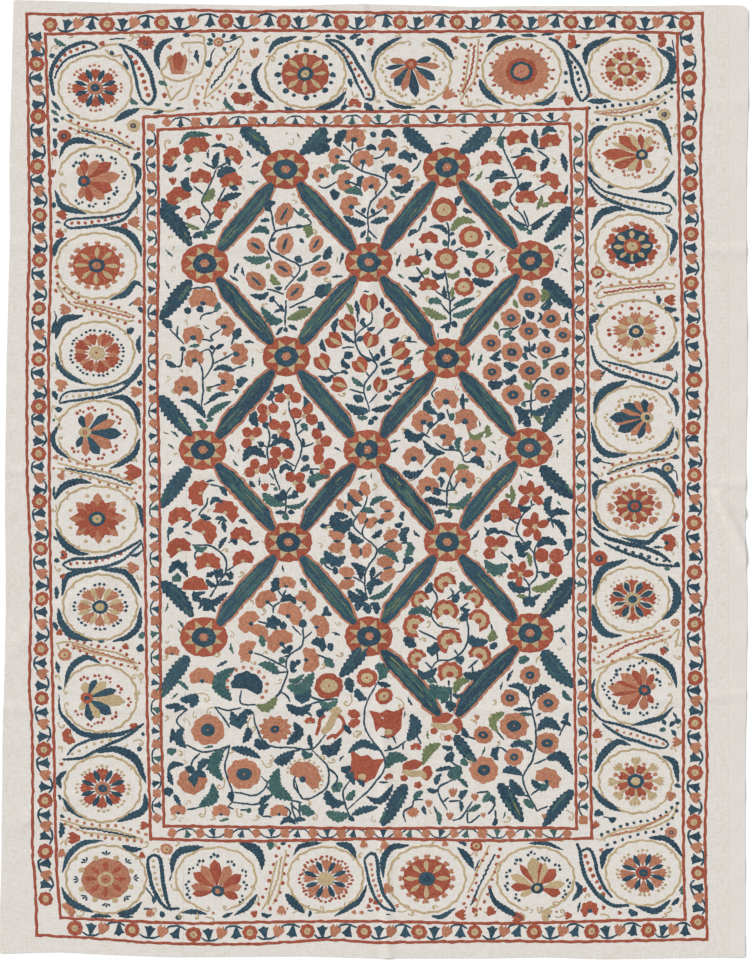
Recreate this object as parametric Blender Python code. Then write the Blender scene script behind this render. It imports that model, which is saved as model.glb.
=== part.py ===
"""A suzani, a hand-embroidered wall cloth, laid out flat and face up, as plain solids.

Two lengths of hand-loomed cotton meet at one long seam: the narrow left panel and the wide
main panel, whose right side is turned over into a hem. The cloth keeps the creases of its old
folds and the uneven edges of hand work. Metres, +X to the right, +Y to the head edge, +Z up:
it lies on z = 0 with the middle of its outline on the Z axis.
"""

import math
from typing import NamedTuple

import bmesh
import bpy

# Size of the cloth and of its make-up
WIDTH = 1.646
LENGTH = 2.110
CLOTH_THICKNESS = 0.0015
HEM_EXTRA = 0.0007
HEM_STEP_RUN = 0.003
SEAM_GAP = 0.0003

# Mesh steps: the widest plain step, and the finer ones beside folds, edges and puckers
WIDEST_STEP = 0.060
FOLD_STEPS = (0.010, 0.020)
EDGE_STEPS = (0.006, 0.016)
PUCKER_ROWS = 9

# Swells: where the cloth doesn't lie quite flat between its creases
SWELL_HEIGHT = 0.0040
SWELL_ACROSS = 0.52
SWELL_ALONG = 0.43
SWELL_SLANT = 0.21
SWELL_FLAT_SHARE = 0.55

# Ripples along the side margins: their height, pitch, reach from the edge and flat share
RIPPLE_HEIGHT = 0.0022
RIPPLE_PITCH = 0.17
RIPPLE_REACH = 0.075
RIPPLE_SIDE_SHIFT = 0.3
RIPPLE_FLAT_SHARE = 0.3

# Creases of the old folds: half their width, and the height of each
FOLD_REACH = 0.020
CENTRE_FOLD_HEIGHT = 0.0026
MIDDLE_FOLD_HEIGHT = 0.0018
OUTER_FOLD_HEIGHT = 0.0015

SMOOTH_UP_TO = math.radians(40)


class Stop(NamedTuple):
    """One point of an uneven line: its share of the way along, and its place or inset."""

    along: float
    value: float


class Crease(NamedTuple):
    """A soft ridge along a path of (x, y) points, with its height and half its width."""

    path: tuple
    height: float
    reach: float


class Corner(NamedTuple):
    """A rounded corner of the outline: which side and end, and its radius."""

    across: int
    along: int
    radius: float


# Side edges, from the head to the foot: inset from the outline's box
LEFT_EDGE = (
    Stop(0.00, 0.0300),
    Stop(0.06, 0.0270),
    Stop(0.165, 0.0210),
    Stop(0.25, 0.0220),
    Stop(0.375, 0.0150),
    Stop(0.52, 0.0110),
    Stop(0.625, 0.0130),
    Stop(0.69, 0.0110),
    Stop(0.75, 0.0065),
    Stop(0.875, 0.0040),
    Stop(0.97, 0.0000),
    Stop(1.00, 0.0000),
)
RIGHT_EDGE = (
    Stop(0.00, 0.0000),
    Stop(0.10, 0.0000),
    Stop(0.17, 0.0045),
    Stop(0.25, 0.0045),
    Stop(0.375, 0.0020),
    Stop(0.44, 0.0045),
    Stop(0.56, 0.0068),
    Stop(0.625, 0.0020),
    Stop(0.73, 0.0045),
    Stop(0.81, 0.0068),
    Stop(1.00, 0.0068),
)

# Head and foot edges, from left to right: inset from the outline's box
HEAD_EDGE = (
    Stop(0.00, 0.0000),
    Stop(0.06, 0.0020),
    Stop(0.16, 0.0066),
    Stop(0.24, 0.0090),
    Stop(0.40, 0.0130),
    Stop(0.48, 0.0090),
    Stop(0.56, 0.0110),
    Stop(0.64, 0.0155),
    Stop(0.72, 0.0130),
    Stop(0.88, 0.0130),
    Stop(0.96, 0.0110),
    Stop(1.00, 0.0125),
)
FOOT_EDGE = (
    Stop(0.00, 0.0120),
    Stop(0.08, 0.0155),
    Stop(0.16, 0.0090),
    Stop(0.24, 0.0045),
    Stop(0.40, 0.0066),
    Stop(0.48, 0.0020),
    Stop(0.64, 0.0020),
    Stop(0.72, 0.0045),
    Stop(0.80, 0.0000),
    Stop(0.88, 0.0020),
    Stop(1.00, 0.0045),
)

# Long lines from the head to the foot: place across
SEAM = (Stop(0.0, -0.405), Stop(1.0, -0.420))
CENTRE_FOLD = (
    Stop(0.00, -0.0260),
    Stop(0.165, -0.0090),
    Stop(0.365, -0.0045),
    Stop(0.605, -0.0045),
    Stop(0.80, 0.0240),
    Stop(1.00, 0.0310),
)
HEM_LINE = (Stop(0.0, 0.779), Stop(1.0, 0.779))

# Folds from left to right: place along
HEAD_FOLD = (Stop(0.0, 0.517), Stop(1.0, 0.505))
MIDDLE_FOLD = (Stop(0.0, 0.021), Stop(1.0, -0.010))
FOOT_FOLD = (Stop(0.0, -0.505), Stop(0.7, -0.505), Stop(1.0, -0.474))

# The short creases, wrinkles and puckers between the folds
PUCKER_ROOT = (0.757, -0.030)
PUCKER_FOOT = (0.823, -0.177)
SHORT_CREASES = (
    Crease(((-0.815, 0.677), (-0.660, 0.672)), 0.0016, 0.014),
    Crease(((-0.815, 0.201), (-0.650, 0.207)), 0.0014, 0.014),
    Crease(((0.690, 0.826), (0.822, 0.822)), 0.0014, 0.014),
    Crease(((-0.800, -0.375), (-0.660, -0.262), (-0.515, -0.160)), 0.0022, 0.030),
    Crease(((-0.790, -0.760), (-0.640, -0.690)), 0.0016, 0.026),
    Crease((PUCKER_ROOT, (0.823, -0.078)), 0.0050, 0.015),
    Crease((PUCKER_ROOT, PUCKER_FOOT), 0.0045, 0.018),
)

CORNERS = (
    Corner(1, 1, 0.016),
    Corner(-1, 1, 0.004),
    Corner(-1, -1, 0.004),
    Corner(1, -1, 0.004),
)

COTTON_COLOUR = (0.66, 0.60, 0.52, 1.0)
COTTON_ROUGHNESS = 0.9


def read_line(stops, along):
    """Return the value of an uneven line at a share of the way along it."""
    for first, second in zip(stops, stops[1:]):
        if along <= second.along:
            share = (along - first.along) / (second.along - first.along)
            return first.value + share * (second.value - first.value)
    return stops[-1].value


def long_rails(along):
    """Return the x of the left edge, seam, centre fold, hem line and right edge."""
    return (
        -WIDTH / 2 + read_line(LEFT_EDGE, along),
        read_line(SEAM, along),
        read_line(CENTRE_FOLD, along),
        read_line(HEM_LINE, along),
        WIDTH / 2 - read_line(RIGHT_EDGE, along),
    )


def cross_rails(across):
    """Return the y of the foot edge, the three cross folds and the head edge."""
    return (
        -LENGTH / 2 + read_line(FOOT_EDGE, across),
        read_line(FOOT_FOLD, across),
        read_line(MIDDLE_FOLD, across),
        read_line(HEAD_FOLD, across),
        LENGTH / 2 - read_line(HEAD_EDGE, across),
    )


# Where the rails would lie on a perfectly even cloth
EVEN_SEAM = -0.4125
EVEN_FOLD = 0.0
EVEN_HEM = 0.779
EVEN_LONG = (-WIDTH / 2, EVEN_SEAM, EVEN_FOLD, EVEN_HEM, WIDTH / 2)
EVEN_CROSS = (-LENGTH / 2, -0.500, 0.005, 0.511, LENGTH / 2)


def between_rails(even, rails, place):
    """Carry a place on the even cloth to the real one, between the two rails beside it."""
    gap = 0
    while gap < len(even) - 2 and place > even[gap + 1]:
        gap += 1
    share = (place - even[gap]) / (even[gap + 1] - even[gap])
    return rails[gap] + share * (rails[gap + 1] - rails[gap])


def cloth_point(across, along):
    """Return the real (x, y) of a point of the even cloth, its corners rounded."""
    x = between_rails(EVEN_LONG, long_rails(0.5 - along / LENGTH), across)
    y = between_rails(EVEN_CROSS, cross_rails(0.5 + across / WIDTH), along)
    for corner in CORNERS:
        x, y = round_corner(corner, x, y)
    return x, y


def round_corner(corner, x, y):
    """Draw a point near a corner in, so that the square corner becomes a quarter circle."""
    rail_x = long_rails(0.0 if corner.along > 0 else 1.0)[-1 if corner.across > 0 else 0]
    rail_y = cross_rails(1.0 if corner.across > 0 else 0.0)[-1 if corner.along > 0 else 0]
    middle_x = rail_x - corner.across * corner.radius
    middle_y = rail_y - corner.along * corner.radius
    out_x = (x - middle_x) * corner.across / corner.radius
    out_y = (y - middle_y) * corner.along / corner.radius
    if out_x <= 0 or out_y <= 0:
        return x, y
    round_x = out_x * math.sqrt(max(0.0, 1 - out_y**2 / 2))
    round_y = out_y * math.sqrt(max(0.0, 1 - out_x**2 / 2))
    return (
        middle_x + round_x * corner.across * corner.radius,
        middle_y + round_y * corner.along * corner.radius,
    )


def fold_paths():
    """Return the creases that the old folds left, each from edge to edge of the cloth."""
    centre = tuple((stop.value, LENGTH * (0.5 - stop.along)) for stop in CENTRE_FOLD)
    folds = [Crease(centre, CENTRE_FOLD_HEIGHT, FOLD_REACH)]
    cross_folds = (
        (HEAD_FOLD, OUTER_FOLD_HEIGHT),
        (MIDDLE_FOLD, MIDDLE_FOLD_HEIGHT),
        (FOOT_FOLD, OUTER_FOLD_HEIGHT),
    )
    for fold, height in cross_folds:
        path = tuple((WIDTH * (stop.along - 0.5), stop.value) for stop in fold)
        folds.append(Crease(path, height, FOLD_REACH))
    return tuple(folds)


CREASES = fold_paths() + SHORT_CREASES


def distance_to_path(x, y, path):
    """Return how far a point lies from a path of straight runs."""
    nearest = math.inf
    for (x0, y0), (x1, y1) in zip(path, path[1:]):
        run_x = x1 - x0
        run_y = y1 - y0
        share = ((x - x0) * run_x + (y - y0) * run_y) / (run_x**2 + run_y**2)
        share = min(1.0, max(0.0, share))
        nearest = min(nearest, math.hypot(x - x0 - share * run_x, y - y0 - share * run_y))
    return nearest


def crease_height(x, y):
    """Return the height of the tallest crease at a point."""
    tallest = 0.0
    for crease in CREASES:
        share = distance_to_path(x, y, crease.path) / crease.reach
        if share < 1:
            tallest = max(tallest, crease.height * (1 - share**2) ** 2)
    return tallest


def swell_height(x, y):
    """Return the height of the low swells, and of the ripples along the side margins."""
    across_wave = math.sin(math.tau * (x / SWELL_ACROSS + SWELL_SLANT * y))
    along_wave = math.sin(math.tau * y / SWELL_ALONG)
    swell = SWELL_HEIGHT * max(0.0, across_wave * along_wave - SWELL_FLAT_SHARE) ** 2
    to_side = max(0.0, 1 - (WIDTH / 2 - abs(x)) / RIPPLE_REACH)
    shift = RIPPLE_SIDE_SHIFT * math.copysign(1, x)
    side_wave = math.sin(math.tau * (y / RIPPLE_PITCH + shift))
    ripple = RIPPLE_HEIGHT * max(0.0, side_wave - RIPPLE_FLAT_SHARE)
    return swell + ripple * to_side**2


def relief(x, y):
    """Return how far the cloth's underside stands off the ground at a point."""
    return crease_height(x, y) + swell_height(x, y)


def thickness_at(across):
    """Return the cloth's thickness: single, or doubled over at the hem."""
    share = (across - EVEN_HEM) / HEM_STEP_RUN + 0.5
    return CLOTH_THICKNESS + HEM_EXTRA * min(1.0, max(0.0, share))


def spread(anchors):
    """Return the anchors in order, with even steps between those that lie far apart."""
    ordered = sorted(set(round(place, 5) for place in anchors))
    places = [ordered[0]]
    for place in ordered[1:]:
        gap = place - places[-1]
        steps = max(1, math.ceil(gap / WIDEST_STEP - 1e-6))
        start = places[-1]
        places.extend(start + gap * step / steps for step in range(1, steps + 1))
    return places


def beside(place, steps):
    """Return a place with finer steps on both sides of it."""
    return [place] + [place + side * step for step in steps for side in (-1, 1)]


def along_places():
    """Return the even cloth's rows, finer at the folds, at the ends and at the puckers."""
    half = LENGTH / 2
    places = [-half, half]
    places += [end * (half - step) for step in EDGE_STEPS for end in (-1, 1)]
    for fold in EVEN_CROSS[1:4]:
        places += beside(fold, FOLD_STEPS)
    top = PUCKER_ROOT[1]
    bottom = PUCKER_FOOT[1]
    places += [top + (bottom - top) * row / PUCKER_ROWS for row in range(1, PUCKER_ROWS + 1)]
    return spread(places)


def left_places():
    """Return the left panel's columns, from the left edge to the seam."""
    edge = -WIDTH / 2
    return spread([edge, EVEN_SEAM] + [edge + step for step in EDGE_STEPS])


def main_places():
    """Return the main panel's columns, from the seam across the fold and hem to the edge."""
    edge = WIDTH / 2
    hem_steps = [EVEN_HEM - HEM_STEP_RUN / 2, EVEN_HEM + HEM_STEP_RUN / 2]
    edge_steps = [edge - step for step in EDGE_STEPS]
    return spread([EVEN_SEAM, edge] + beside(EVEN_FOLD, FOLD_STEPS) + hem_steps + edge_steps)


def make_cotton():
    """Return the plain cotton that both panels are cut from."""
    cotton = bpy.data.materials.new("cotton")
    cotton.use_nodes = True
    shader = cotton.node_tree.nodes["Principled BSDF"]
    shader.inputs["Base Color"].default_value = COTTON_COLOUR
    shader.inputs["Roughness"].default_value = COTTON_ROUGHNESS
    shader.inputs["Metallic"].default_value = 0.0
    return cotton


def make_panel(name, columns, seam_side, cotton):
    """Make one panel: a grid laid over its creases, then thickened upwards."""
    rows = along_places()
    mesh = bmesh.new()
    thickness = mesh.verts.layers.float.new("thickness")
    grid = bmesh.ops.create_grid(
        mesh, x_segments=len(columns) - 1, y_segments=len(rows) - 1, size=1.0
    )
    for vert in grid["verts"]:
        column = round((vert.co.x + 1) / 2 * (len(columns) - 1))
        row = round((vert.co.y + 1) / 2 * (len(rows) - 1))
        x, y = cloth_point(columns[column], rows[row])
        if columns[column] == EVEN_SEAM:
            x += seam_side * SEAM_GAP / 2
        vert.co = (x, y, relief(x, y))
        vert[thickness] = thickness_at(columns[column])
    lifted = bmesh.ops.extrude_face_region(mesh, geom=mesh.faces[:])
    for part in lifted["geom"]:
        if isinstance(part, bmesh.types.BMVert):
            part.co.z += part[thickness]
    bmesh.ops.recalc_face_normals(mesh, faces=mesh.faces[:])
    data = bpy.data.meshes.new(name)
    mesh.to_mesh(data)
    mesh.free()
    data.shade_smooth()
    data.set_sharp_from_angle(angle=SMOOTH_UP_TO)
    data.materials.append(cotton)
    panel = bpy.data.objects.new(name, data)
    bpy.context.scene.collection.objects.link(panel)
    return panel


def build():
    """Clear the scene and make the two panels of the cloth."""
    for old in list(bpy.data.objects):
        bpy.data.objects.remove(old, do_unlink=True)
    cotton = make_cotton()
    make_panel("left_panel", left_places(), -1, cotton)
    make_panel("main_panel", main_places(), 1, cotton)


build()
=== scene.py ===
"""The suzani's looks: its cotton, its stitched flowers and the studio that it lies in.

The cloth lies face up, +X to its hemmed right side and +Y to its head edge. The embroidery is
laid out on a drawer's chart of squares, 2.2 mm each, and every motif is a raised, closed body
of thread. Places on the chart are complex numbers: real to the right, imaginary to the head.
"""

from __future__ import annotations

import cmath
import logging
import math
from collections.abc import Sequence
from dataclasses import dataclass, field
from enum import Enum

import bmesh
import bpy
import numpy as np
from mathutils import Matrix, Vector

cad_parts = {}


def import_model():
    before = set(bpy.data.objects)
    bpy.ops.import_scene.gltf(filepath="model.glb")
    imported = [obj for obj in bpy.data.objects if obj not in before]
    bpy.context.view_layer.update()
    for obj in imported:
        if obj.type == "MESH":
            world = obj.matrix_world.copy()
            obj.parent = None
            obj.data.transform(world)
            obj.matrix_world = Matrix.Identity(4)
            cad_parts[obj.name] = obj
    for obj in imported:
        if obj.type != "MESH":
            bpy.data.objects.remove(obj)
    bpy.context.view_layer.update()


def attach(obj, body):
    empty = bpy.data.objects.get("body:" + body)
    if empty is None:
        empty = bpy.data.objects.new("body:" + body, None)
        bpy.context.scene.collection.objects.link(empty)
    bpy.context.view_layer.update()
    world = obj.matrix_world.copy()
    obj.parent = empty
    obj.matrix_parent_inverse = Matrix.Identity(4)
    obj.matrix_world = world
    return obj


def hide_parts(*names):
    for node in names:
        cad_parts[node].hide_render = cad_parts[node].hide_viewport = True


LOG = logging.getLogger("suzani")

BODY = "root"

# The drawer's chart: the size of a square, and the square at the middle of the cloth
SQUARE = 0.0022
MIDDLE_ACROSS = 374.0
MIDDLE_DOWN = 479.5

# Thread: how high a pad of stitches stands, how far its edge slopes in, and each tier's lift
PAD_HEIGHT = 0.0008
EDGE_SLOPE = 0.0006
CROWN = 0.0003
TIER_STEP = 0.0004
TIER_UNEVEN = 0.3
SUNK = 0.0003

# How finely lines are drawn: points between two places, points of a petal's side, stem's step
CURVE_POINTS = 12
PETAL_POINTS = 7
STEM_STEP = 2.2

# A leaf that is wider than this has a raised middle line, in squares
WIDE_LEAF = 6

# Half the edge of a vine's leaf from its root: shares of its length and of half its width
CROWN_EDGE = ((0, 0.16), (0.28, 0.40), (0.55, 0.62), (0.82, 1.0), (0.84, 0.50), (1.0, 0.10))

# A tendril: its points, how far it winds in degrees, how late, its length and how its steps shrink
CURL_POINTS = 15
CURL_WIND = 400
CURL_TIGHTENING = 1.7
CURL_LENGTH = 2.3
CURL_SHRINK = 0.72

# A bud: its breadth, its neck and the notches between its lobes, as shares
BUD_BREADTH = 0.95
BUD_NECK = 0.34
BUD_NOTCH = 0.30

# One gold wedge of a rosette's star, from its root to its tip, in squares
STAR_WEDGE = (9 - 4.9j, 14 - 3.4j, 21.4, 14 + 3.4j, 9 + 4.9j)

# How far a frame line shakes, how far it sways slowly and how uneven its width is, in squares
FRAME_SHAKE = 0.22
FRAME_SWAY = 0.15
FRAME_UNEVEN = 0.14

Line = np.ndarray


class Thread(Enum):
    """The dyed threads of the embroidery."""

    MADDER = "madder"
    SALMON = "salmon"
    GOLD = "gold"
    INDIGO = "indigo"
    TEAL = "teal"
    OLIVE = "olive"
    COTTON = "cotton"


def spot(across: float, down: float) -> complex:
    """Return a square of the chart, counted from its top left, as an offset from its middle.

    Args:
        across: squares to the right of the chart's left side.
        down: squares below the chart's top.

    Returns:
        The place as a complex number, in squares from the cloth's middle.
    """
    return complex(across - MIDDLE_ACROSS, MIDDLE_DOWN - down)


def spots(pairs: Sequence[tuple[float, float]]) -> Line:
    """Return several squares of the chart as one line of places."""
    return np.array([spot(across, down) for across, down in pairs])


def turned(degrees: float) -> complex:
    """Return the unit step in a direction, in degrees from the right, anticlockwise."""
    return cmath.rect(1.0, math.radians(degrees))


def smooth_line(points: Line, step: float) -> Line:
    """Carry a smooth curve through a few places.

    Args:
        points: the places, in squares.
        step: how far apart the curve's points lie, in squares.

    Returns:
        The curve's points, evenly spaced.
    """
    points = np.asarray(points, complex)
    padded = np.concatenate([2 * points[:1] - points[1:2], points, 2 * points[-1:] - points[-2:-1]])
    shares = np.linspace(0, 1, CURVE_POINTS, endpoint=False)[:, None]
    before, start, end, after = padded[:-3], padded[1:-2], padded[2:-1], padded[3:]
    curve = (
        start
        + shares * (end - before) / 2
        + shares**2 * (before - 2.5 * start + 2 * end - after / 2)
        + shares**3 * (1.5 * (start - end) + (after - before) / 2)
    )
    curve = curve.T.reshape(-1)
    curve = np.append(curve, points[-1])
    reach = np.concatenate([[0.0], np.cumsum(np.abs(np.diff(curve)))])
    count = max(3, round(reach[-1] / step) + 1)
    even = np.linspace(0, reach[-1], count)
    return np.interp(even, reach, curve.real) + 1j * np.interp(even, reach, curve.imag)


def side_steps(line: Line, closed: bool = False) -> Line:
    """Return the unit steps to the left of a line, one for each of its points."""
    if closed:
        run = np.roll(line, -1) - np.roll(line, 1)
    else:
        run = np.gradient(line)
    return 1j * run / np.maximum(np.abs(run), 1e-9)


def disc_outline(across: float, along: float, count: int = 16, lobes: int = 0, depth: float = 0.0,
                 turn: float = 0.0) -> Line:
    """Return a round outline, plain or scalloped into lobes."""
    angles = np.linspace(0, math.tau, count, endpoint=False)
    radius = 1 + depth * np.cos(lobes * (angles - math.radians(turn)))
    return radius * (across * np.cos(angles) + 1j * along * np.sin(angles))


def petal_outline(length: float, width: float, fullness: float = 1.6) -> Line:
    """Return a petal's outline from its root at 0 along the real axis, fullest past its middle."""
    shares = np.linspace(0, 1, PETAL_POINTS)
    half = width / 2 * np.sin(math.pi * shares**fullness) ** 0.8
    half[0] = half[-1] = 0.0
    right = shares * length - 1j * half
    left = (shares * length + 1j * half)[::-1]
    return np.concatenate([right, left[1:-1]])


def fan_outline(length: float, width: float, lobes: int = 3, neck: float = 0.3,
                notch: float = 0.12) -> Line:
    """Return a fan: a narrow root that spreads to a scalloped end."""
    count = 2 * lobes + 1
    spread = np.linspace(-1, 1, count)
    reach = length * (1 - 0.18 * spread**2) * np.where(np.arange(count) % 2 == 1, 1.0, 1 - notch)
    end = reach + 1j * spread * width / 2
    root_right = -1j * neck * width / 2
    root_left = 1j * neck * width / 2
    return np.concatenate([[root_right], end, [root_left]])


class Stitching:
    """One thread's stitches in one region, kept as flat shapes until they are raised."""

    def __init__(self, name: str, thread: Thread, seed: int) -> None:
        """Start an empty layer of stitches.

        Args:
            name: the name of the piece that it becomes.
            thread: the thread that it is worked in.
            seed: what its uneven shades start from.
        """
        self.name = name
        self.thread = thread
        self.chance = np.random.default_rng(seed)
        self.mesh = bmesh.new()
        self.lift = self.mesh.verts.layers.float_vector.new("lift")
        self.lay = self.mesh.verts.layers.float_vector.new("lay")

    def _knot(self, place: complex, tier: float, lift: tuple, lay: tuple) -> bmesh.types.BMVert:
        """Add one point of a shape, with what raises it and how its stitches lie."""
        vert = self.mesh.verts.new(
            (place.real * SQUARE, place.imag * SQUARE, tier * TIER_STEP - SUNK)
        )
        vert[self.lift] = lift
        vert[self.lay] = lay
        return vert

    def _shade(self, shade: float | None) -> float:
        """Return the shade asked for, or an uneven one."""
        return float(self.chance.uniform(0.1, 0.9)) if shade is None else shade

    def pad(self, outline: Line, tier: float = 0.0, grain: float = 0.0, rings: int = 1,
            height: float = PAD_HEIGHT, shade: float | None = None) -> None:
        """Add a padded shape that is seen whole from its centre.

        Args:
            outline: its edge, anticlockwise, in squares.
            tier: how many layers of thread it lies on.
            grain: the direction of its stitches, in degrees.
            rings: how many rings of faces it has.
            height: how far it stands up, in metres.
            shade: its place in the thread's range of shades, or None for an uneven one.
        """
        outline = np.asarray(outline, complex)
        if np.sum(outline.real * np.roll(outline.imag, -1) - np.roll(outline.real, -1) * outline.imag) < 0:
            outline = outline[::-1]
        shade = self._shade(shade)
        tier += float(self.chance.uniform(0, TIER_UNEVEN))
        centre = outline.mean()
        spin = turned(-grain) * SQUARE
        inward = side_steps(outline, closed=True)
        depth = np.minimum(EDGE_SLOPE, 0.3 * SQUARE * np.abs(outline - centre))
        loops = []
        for ring in range(rings):
            share = 1 - ring / rings
            points = centre + (outline - centre) * share
            loop = []
            for place, step, slope in zip(points, inward * depth, depth):
                laid = place * spin
                rise = height * (1 if ring else 0.8)
                lift = (step.real, step.imag, rise) if ring == 0 else (0, 0, rise + CROWN * (1 - share))
                loop.append(self._knot(place, tier, lift, (laid.real, laid.imag, shade)))
            loops.append(loop)
        laid = centre * spin
        hub = self._knot(centre, tier, (0, 0, height + CROWN), (laid.real, laid.imag, shade))
        for outer, inner in zip(loops, loops[1:]):
            for i in range(len(outer)):
                j = (i + 1) % len(outer)
                self.mesh.faces.new((outer[i], outer[j], inner[j], inner[i]))
        last = loops[-1]
        for i in range(len(last)):
            self.mesh.faces.new((last[i], last[(i + 1) % len(last)], hub))

    def band(self, line: Line, left: Line | float, right: Line | float | None = None,
             tier: float = 0.0, closed: bool = False, height: float = PAD_HEIGHT,
             shade: float | None = None, crowned: bool = False) -> None:
        """Add a band of stitches along a line.

        Args:
            line: the line's points, in squares.
            left: how far the band reaches to the line's left, in squares.
            right: how far it reaches to the right, or None for as far as to the left.
            tier: how many layers of thread it lies on.
            closed: whether the band's ends meet.
            height: how far it stands up, in metres.
            shade: its place in the thread's range of shades, or None for an uneven one.
            crowned: whether it has a raised middle line, as a wide band does.
        """
        shade = self._shade(shade)
        tier += float(self.chance.uniform(0, TIER_UNEVEN))
        right = left if right is None else right
        count = len(line)
        left = np.maximum(np.broadcast_to(np.asarray(left, float), count), 0.12)
        right = np.maximum(np.broadcast_to(np.asarray(right, float), count), 0.12)
        side = side_steps(line, closed)
        reach = np.concatenate([[0.0], np.cumsum(np.abs(np.diff(line)))]) * SQUARE
        slope = np.minimum(EDGE_SLOPE, 0.7 * SQUARE * np.minimum(left, right))
        rows = []
        for i in range(count):
            step = side[i] * slope[i]
            rise = height * 0.85
            row = [
                self._knot(line[i] + side[i] * left[i], tier, (-step.real, -step.imag, rise),
                           (reach[i], left[i] * SQUARE, shade)),
                self._knot(line[i] - side[i] * right[i], tier, (step.real, step.imag, rise),
                           (reach[i], -right[i] * SQUARE, shade)),
            ]
            if crowned:
                middle = line[i] + side[i] * (left[i] - right[i]) / 2
                lay = (reach[i], (left[i] - right[i]) / 2 * SQUARE, shade)
                row.insert(1, self._knot(middle, tier, (0, 0, height + CROWN), lay))
            rows.append(row)
        pairs = list(zip(rows, rows[1:]))
        if closed:
            pairs.append((rows[-1], rows[0]))
        for first, second in pairs:
            for k in range(len(first) - 1):
                self.mesh.faces.new((first[k], first[k + 1], second[k + 1], second[k]))

    def raise_stitches(self, cloth: "GroundCloth", material: bpy.types.Material) -> bpy.types.Object | None:
        """Turn the flat shapes into raised bodies that lie on the cloth.

        Args:
            cloth: the ground cloth, which says how high it lies at each place.
            material: the thread's material.

        Returns:
            The piece, or None if nothing is worked in this layer.
        """
        if not self.mesh.faces:
            self.mesh.free()
            return None
        raised = bmesh.ops.extrude_face_region(self.mesh, geom=self.mesh.faces[:])
        for part in raised["geom"]:
            if isinstance(part, bmesh.types.BMVert):
                part.co += part[self.lift]
        bmesh.ops.recalc_face_normals(self.mesh, faces=self.mesh.faces[:])
        data = bpy.data.meshes.new(self.name)
        self.mesh.to_mesh(data)
        self.mesh.free()
        lay_on_cloth(data, cloth)
        data.shade_smooth()
        data.set_sharp_from_angle(angle=math.radians(28))
        data.materials.append(material)
        piece = bpy.data.objects.new(self.name, data)
        bpy.context.scene.collection.objects.link(piece)
        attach(piece, BODY)
        return piece


def lay_on_cloth(data: bpy.types.Mesh, cloth: "GroundCloth") -> None:
    """Make a flat mesh's edges as uneven as hand work, and lift it onto the cloth."""
    places = np.empty(len(data.vertices) * 3)
    data.vertices.foreach_get("co", places)
    places = places.reshape(-1, 3)
    x = places[:, 0].copy()
    y = places[:, 1].copy()
    for size, pitch, slant in HAND_WOBBLE:
        wave = math.tau / pitch
        places[:, 0] += size * np.sin(wave * (y + slant * x) + 17 * slant)
        places[:, 1] += size * np.sin(wave * (x - slant * y) + 29 * slant)
    places[:, 2] += cloth.top(places[:, 0], places[:, 1])
    data.vertices.foreach_set("co", places.reshape(-1))


# How the hand wobbles: size and pitch in metres, and the slant of each wave
HAND_WOBBLE = (
    (0.00030, 0.0061, 0.37),
    (0.00025, 0.0083, -0.61),
    (0.00035, 0.0170, 0.83),
    (0.00050, 0.0430, -0.29),
)


@dataclass(frozen=True)
class UnevenLine:
    """A line that wanders: its place at each share of its way along."""

    shares: tuple[float, ...]
    places: tuple[float, ...]

    def at(self, share: Line | float) -> Line:
        """Return the line's place at a share of its way along."""
        return np.interp(share, self.shares, self.places)


@dataclass(frozen=True)
class Crease:
    """A soft ridge along a path of (x, y) points in metres, with its height and half width."""

    path: tuple[tuple[float, float], ...]
    height: float
    reach: float

    def rise(self, x: Line, y: Line) -> Line:
        """Return the ridge's height at each place."""
        nearest = np.full(np.shape(x), np.inf)
        for (x0, y0), (x1, y1) in zip(self.path, self.path[1:]):
            run_x, run_y = x1 - x0, y1 - y0
            share = ((x - x0) * run_x + (y - y0) * run_y) / (run_x**2 + run_y**2)
            share = np.clip(share, 0, 1)
            nearest = np.minimum(nearest, np.hypot(x - x0 - share * run_x, y - y0 - share * run_y))
        return self.height * np.clip(1 - (nearest / self.reach) ** 2, 0, 1) ** 2


# Side edges, from the head to the foot: inset from the outline's box
LEFT_EDGE = UnevenLine(
    (0, 0.06, 0.165, 0.25, 0.375, 0.52, 0.625, 0.69, 0.75, 0.875, 0.97, 1),
    (0.030, 0.027, 0.021, 0.022, 0.015, 0.011, 0.013, 0.011, 0.0065, 0.004, 0, 0),
)
RIGHT_EDGE = UnevenLine(
    (0, 0.10, 0.17, 0.25, 0.375, 0.44, 0.56, 0.625, 0.73, 0.81, 1),
    (0, 0, 0.0045, 0.0045, 0.002, 0.0045, 0.0068, 0.002, 0.0045, 0.0068, 0.0068),
)

# Head and foot edges, from left to right: inset from the outline's box
HEAD_EDGE = UnevenLine(
    (0, 0.06, 0.16, 0.24, 0.40, 0.48, 0.56, 0.64, 0.72, 0.88, 0.96, 1),
    (0, 0.002, 0.0066, 0.009, 0.013, 0.009, 0.011, 0.0155, 0.013, 0.013, 0.011, 0.0125),
)
FOOT_EDGE = UnevenLine(
    (0, 0.08, 0.16, 0.24, 0.40, 0.48, 0.64, 0.72, 0.80, 0.88, 1),
    (0.012, 0.0155, 0.009, 0.0045, 0.0066, 0.002, 0.002, 0.0045, 0, 0.002, 0.0045),
)

# Long lines from the head to the foot, and folds from left to right
SEAM = UnevenLine((0, 1), (-0.405, -0.420))
CENTRE_FOLD = UnevenLine(
    (0, 0.165, 0.365, 0.605, 0.80, 1),
    (-0.026, -0.009, -0.0045, -0.0045, 0.024, 0.031),
)
HEM_LINE = UnevenLine((0, 1), (0.779, 0.779))
HEAD_FOLD = UnevenLine((0, 1), (0.517, 0.505))
MIDDLE_FOLD = UnevenLine((0, 1), (0.021, -0.010))
FOOT_FOLD = UnevenLine((0, 0.7, 1), (-0.505, -0.505, -0.474))

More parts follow.
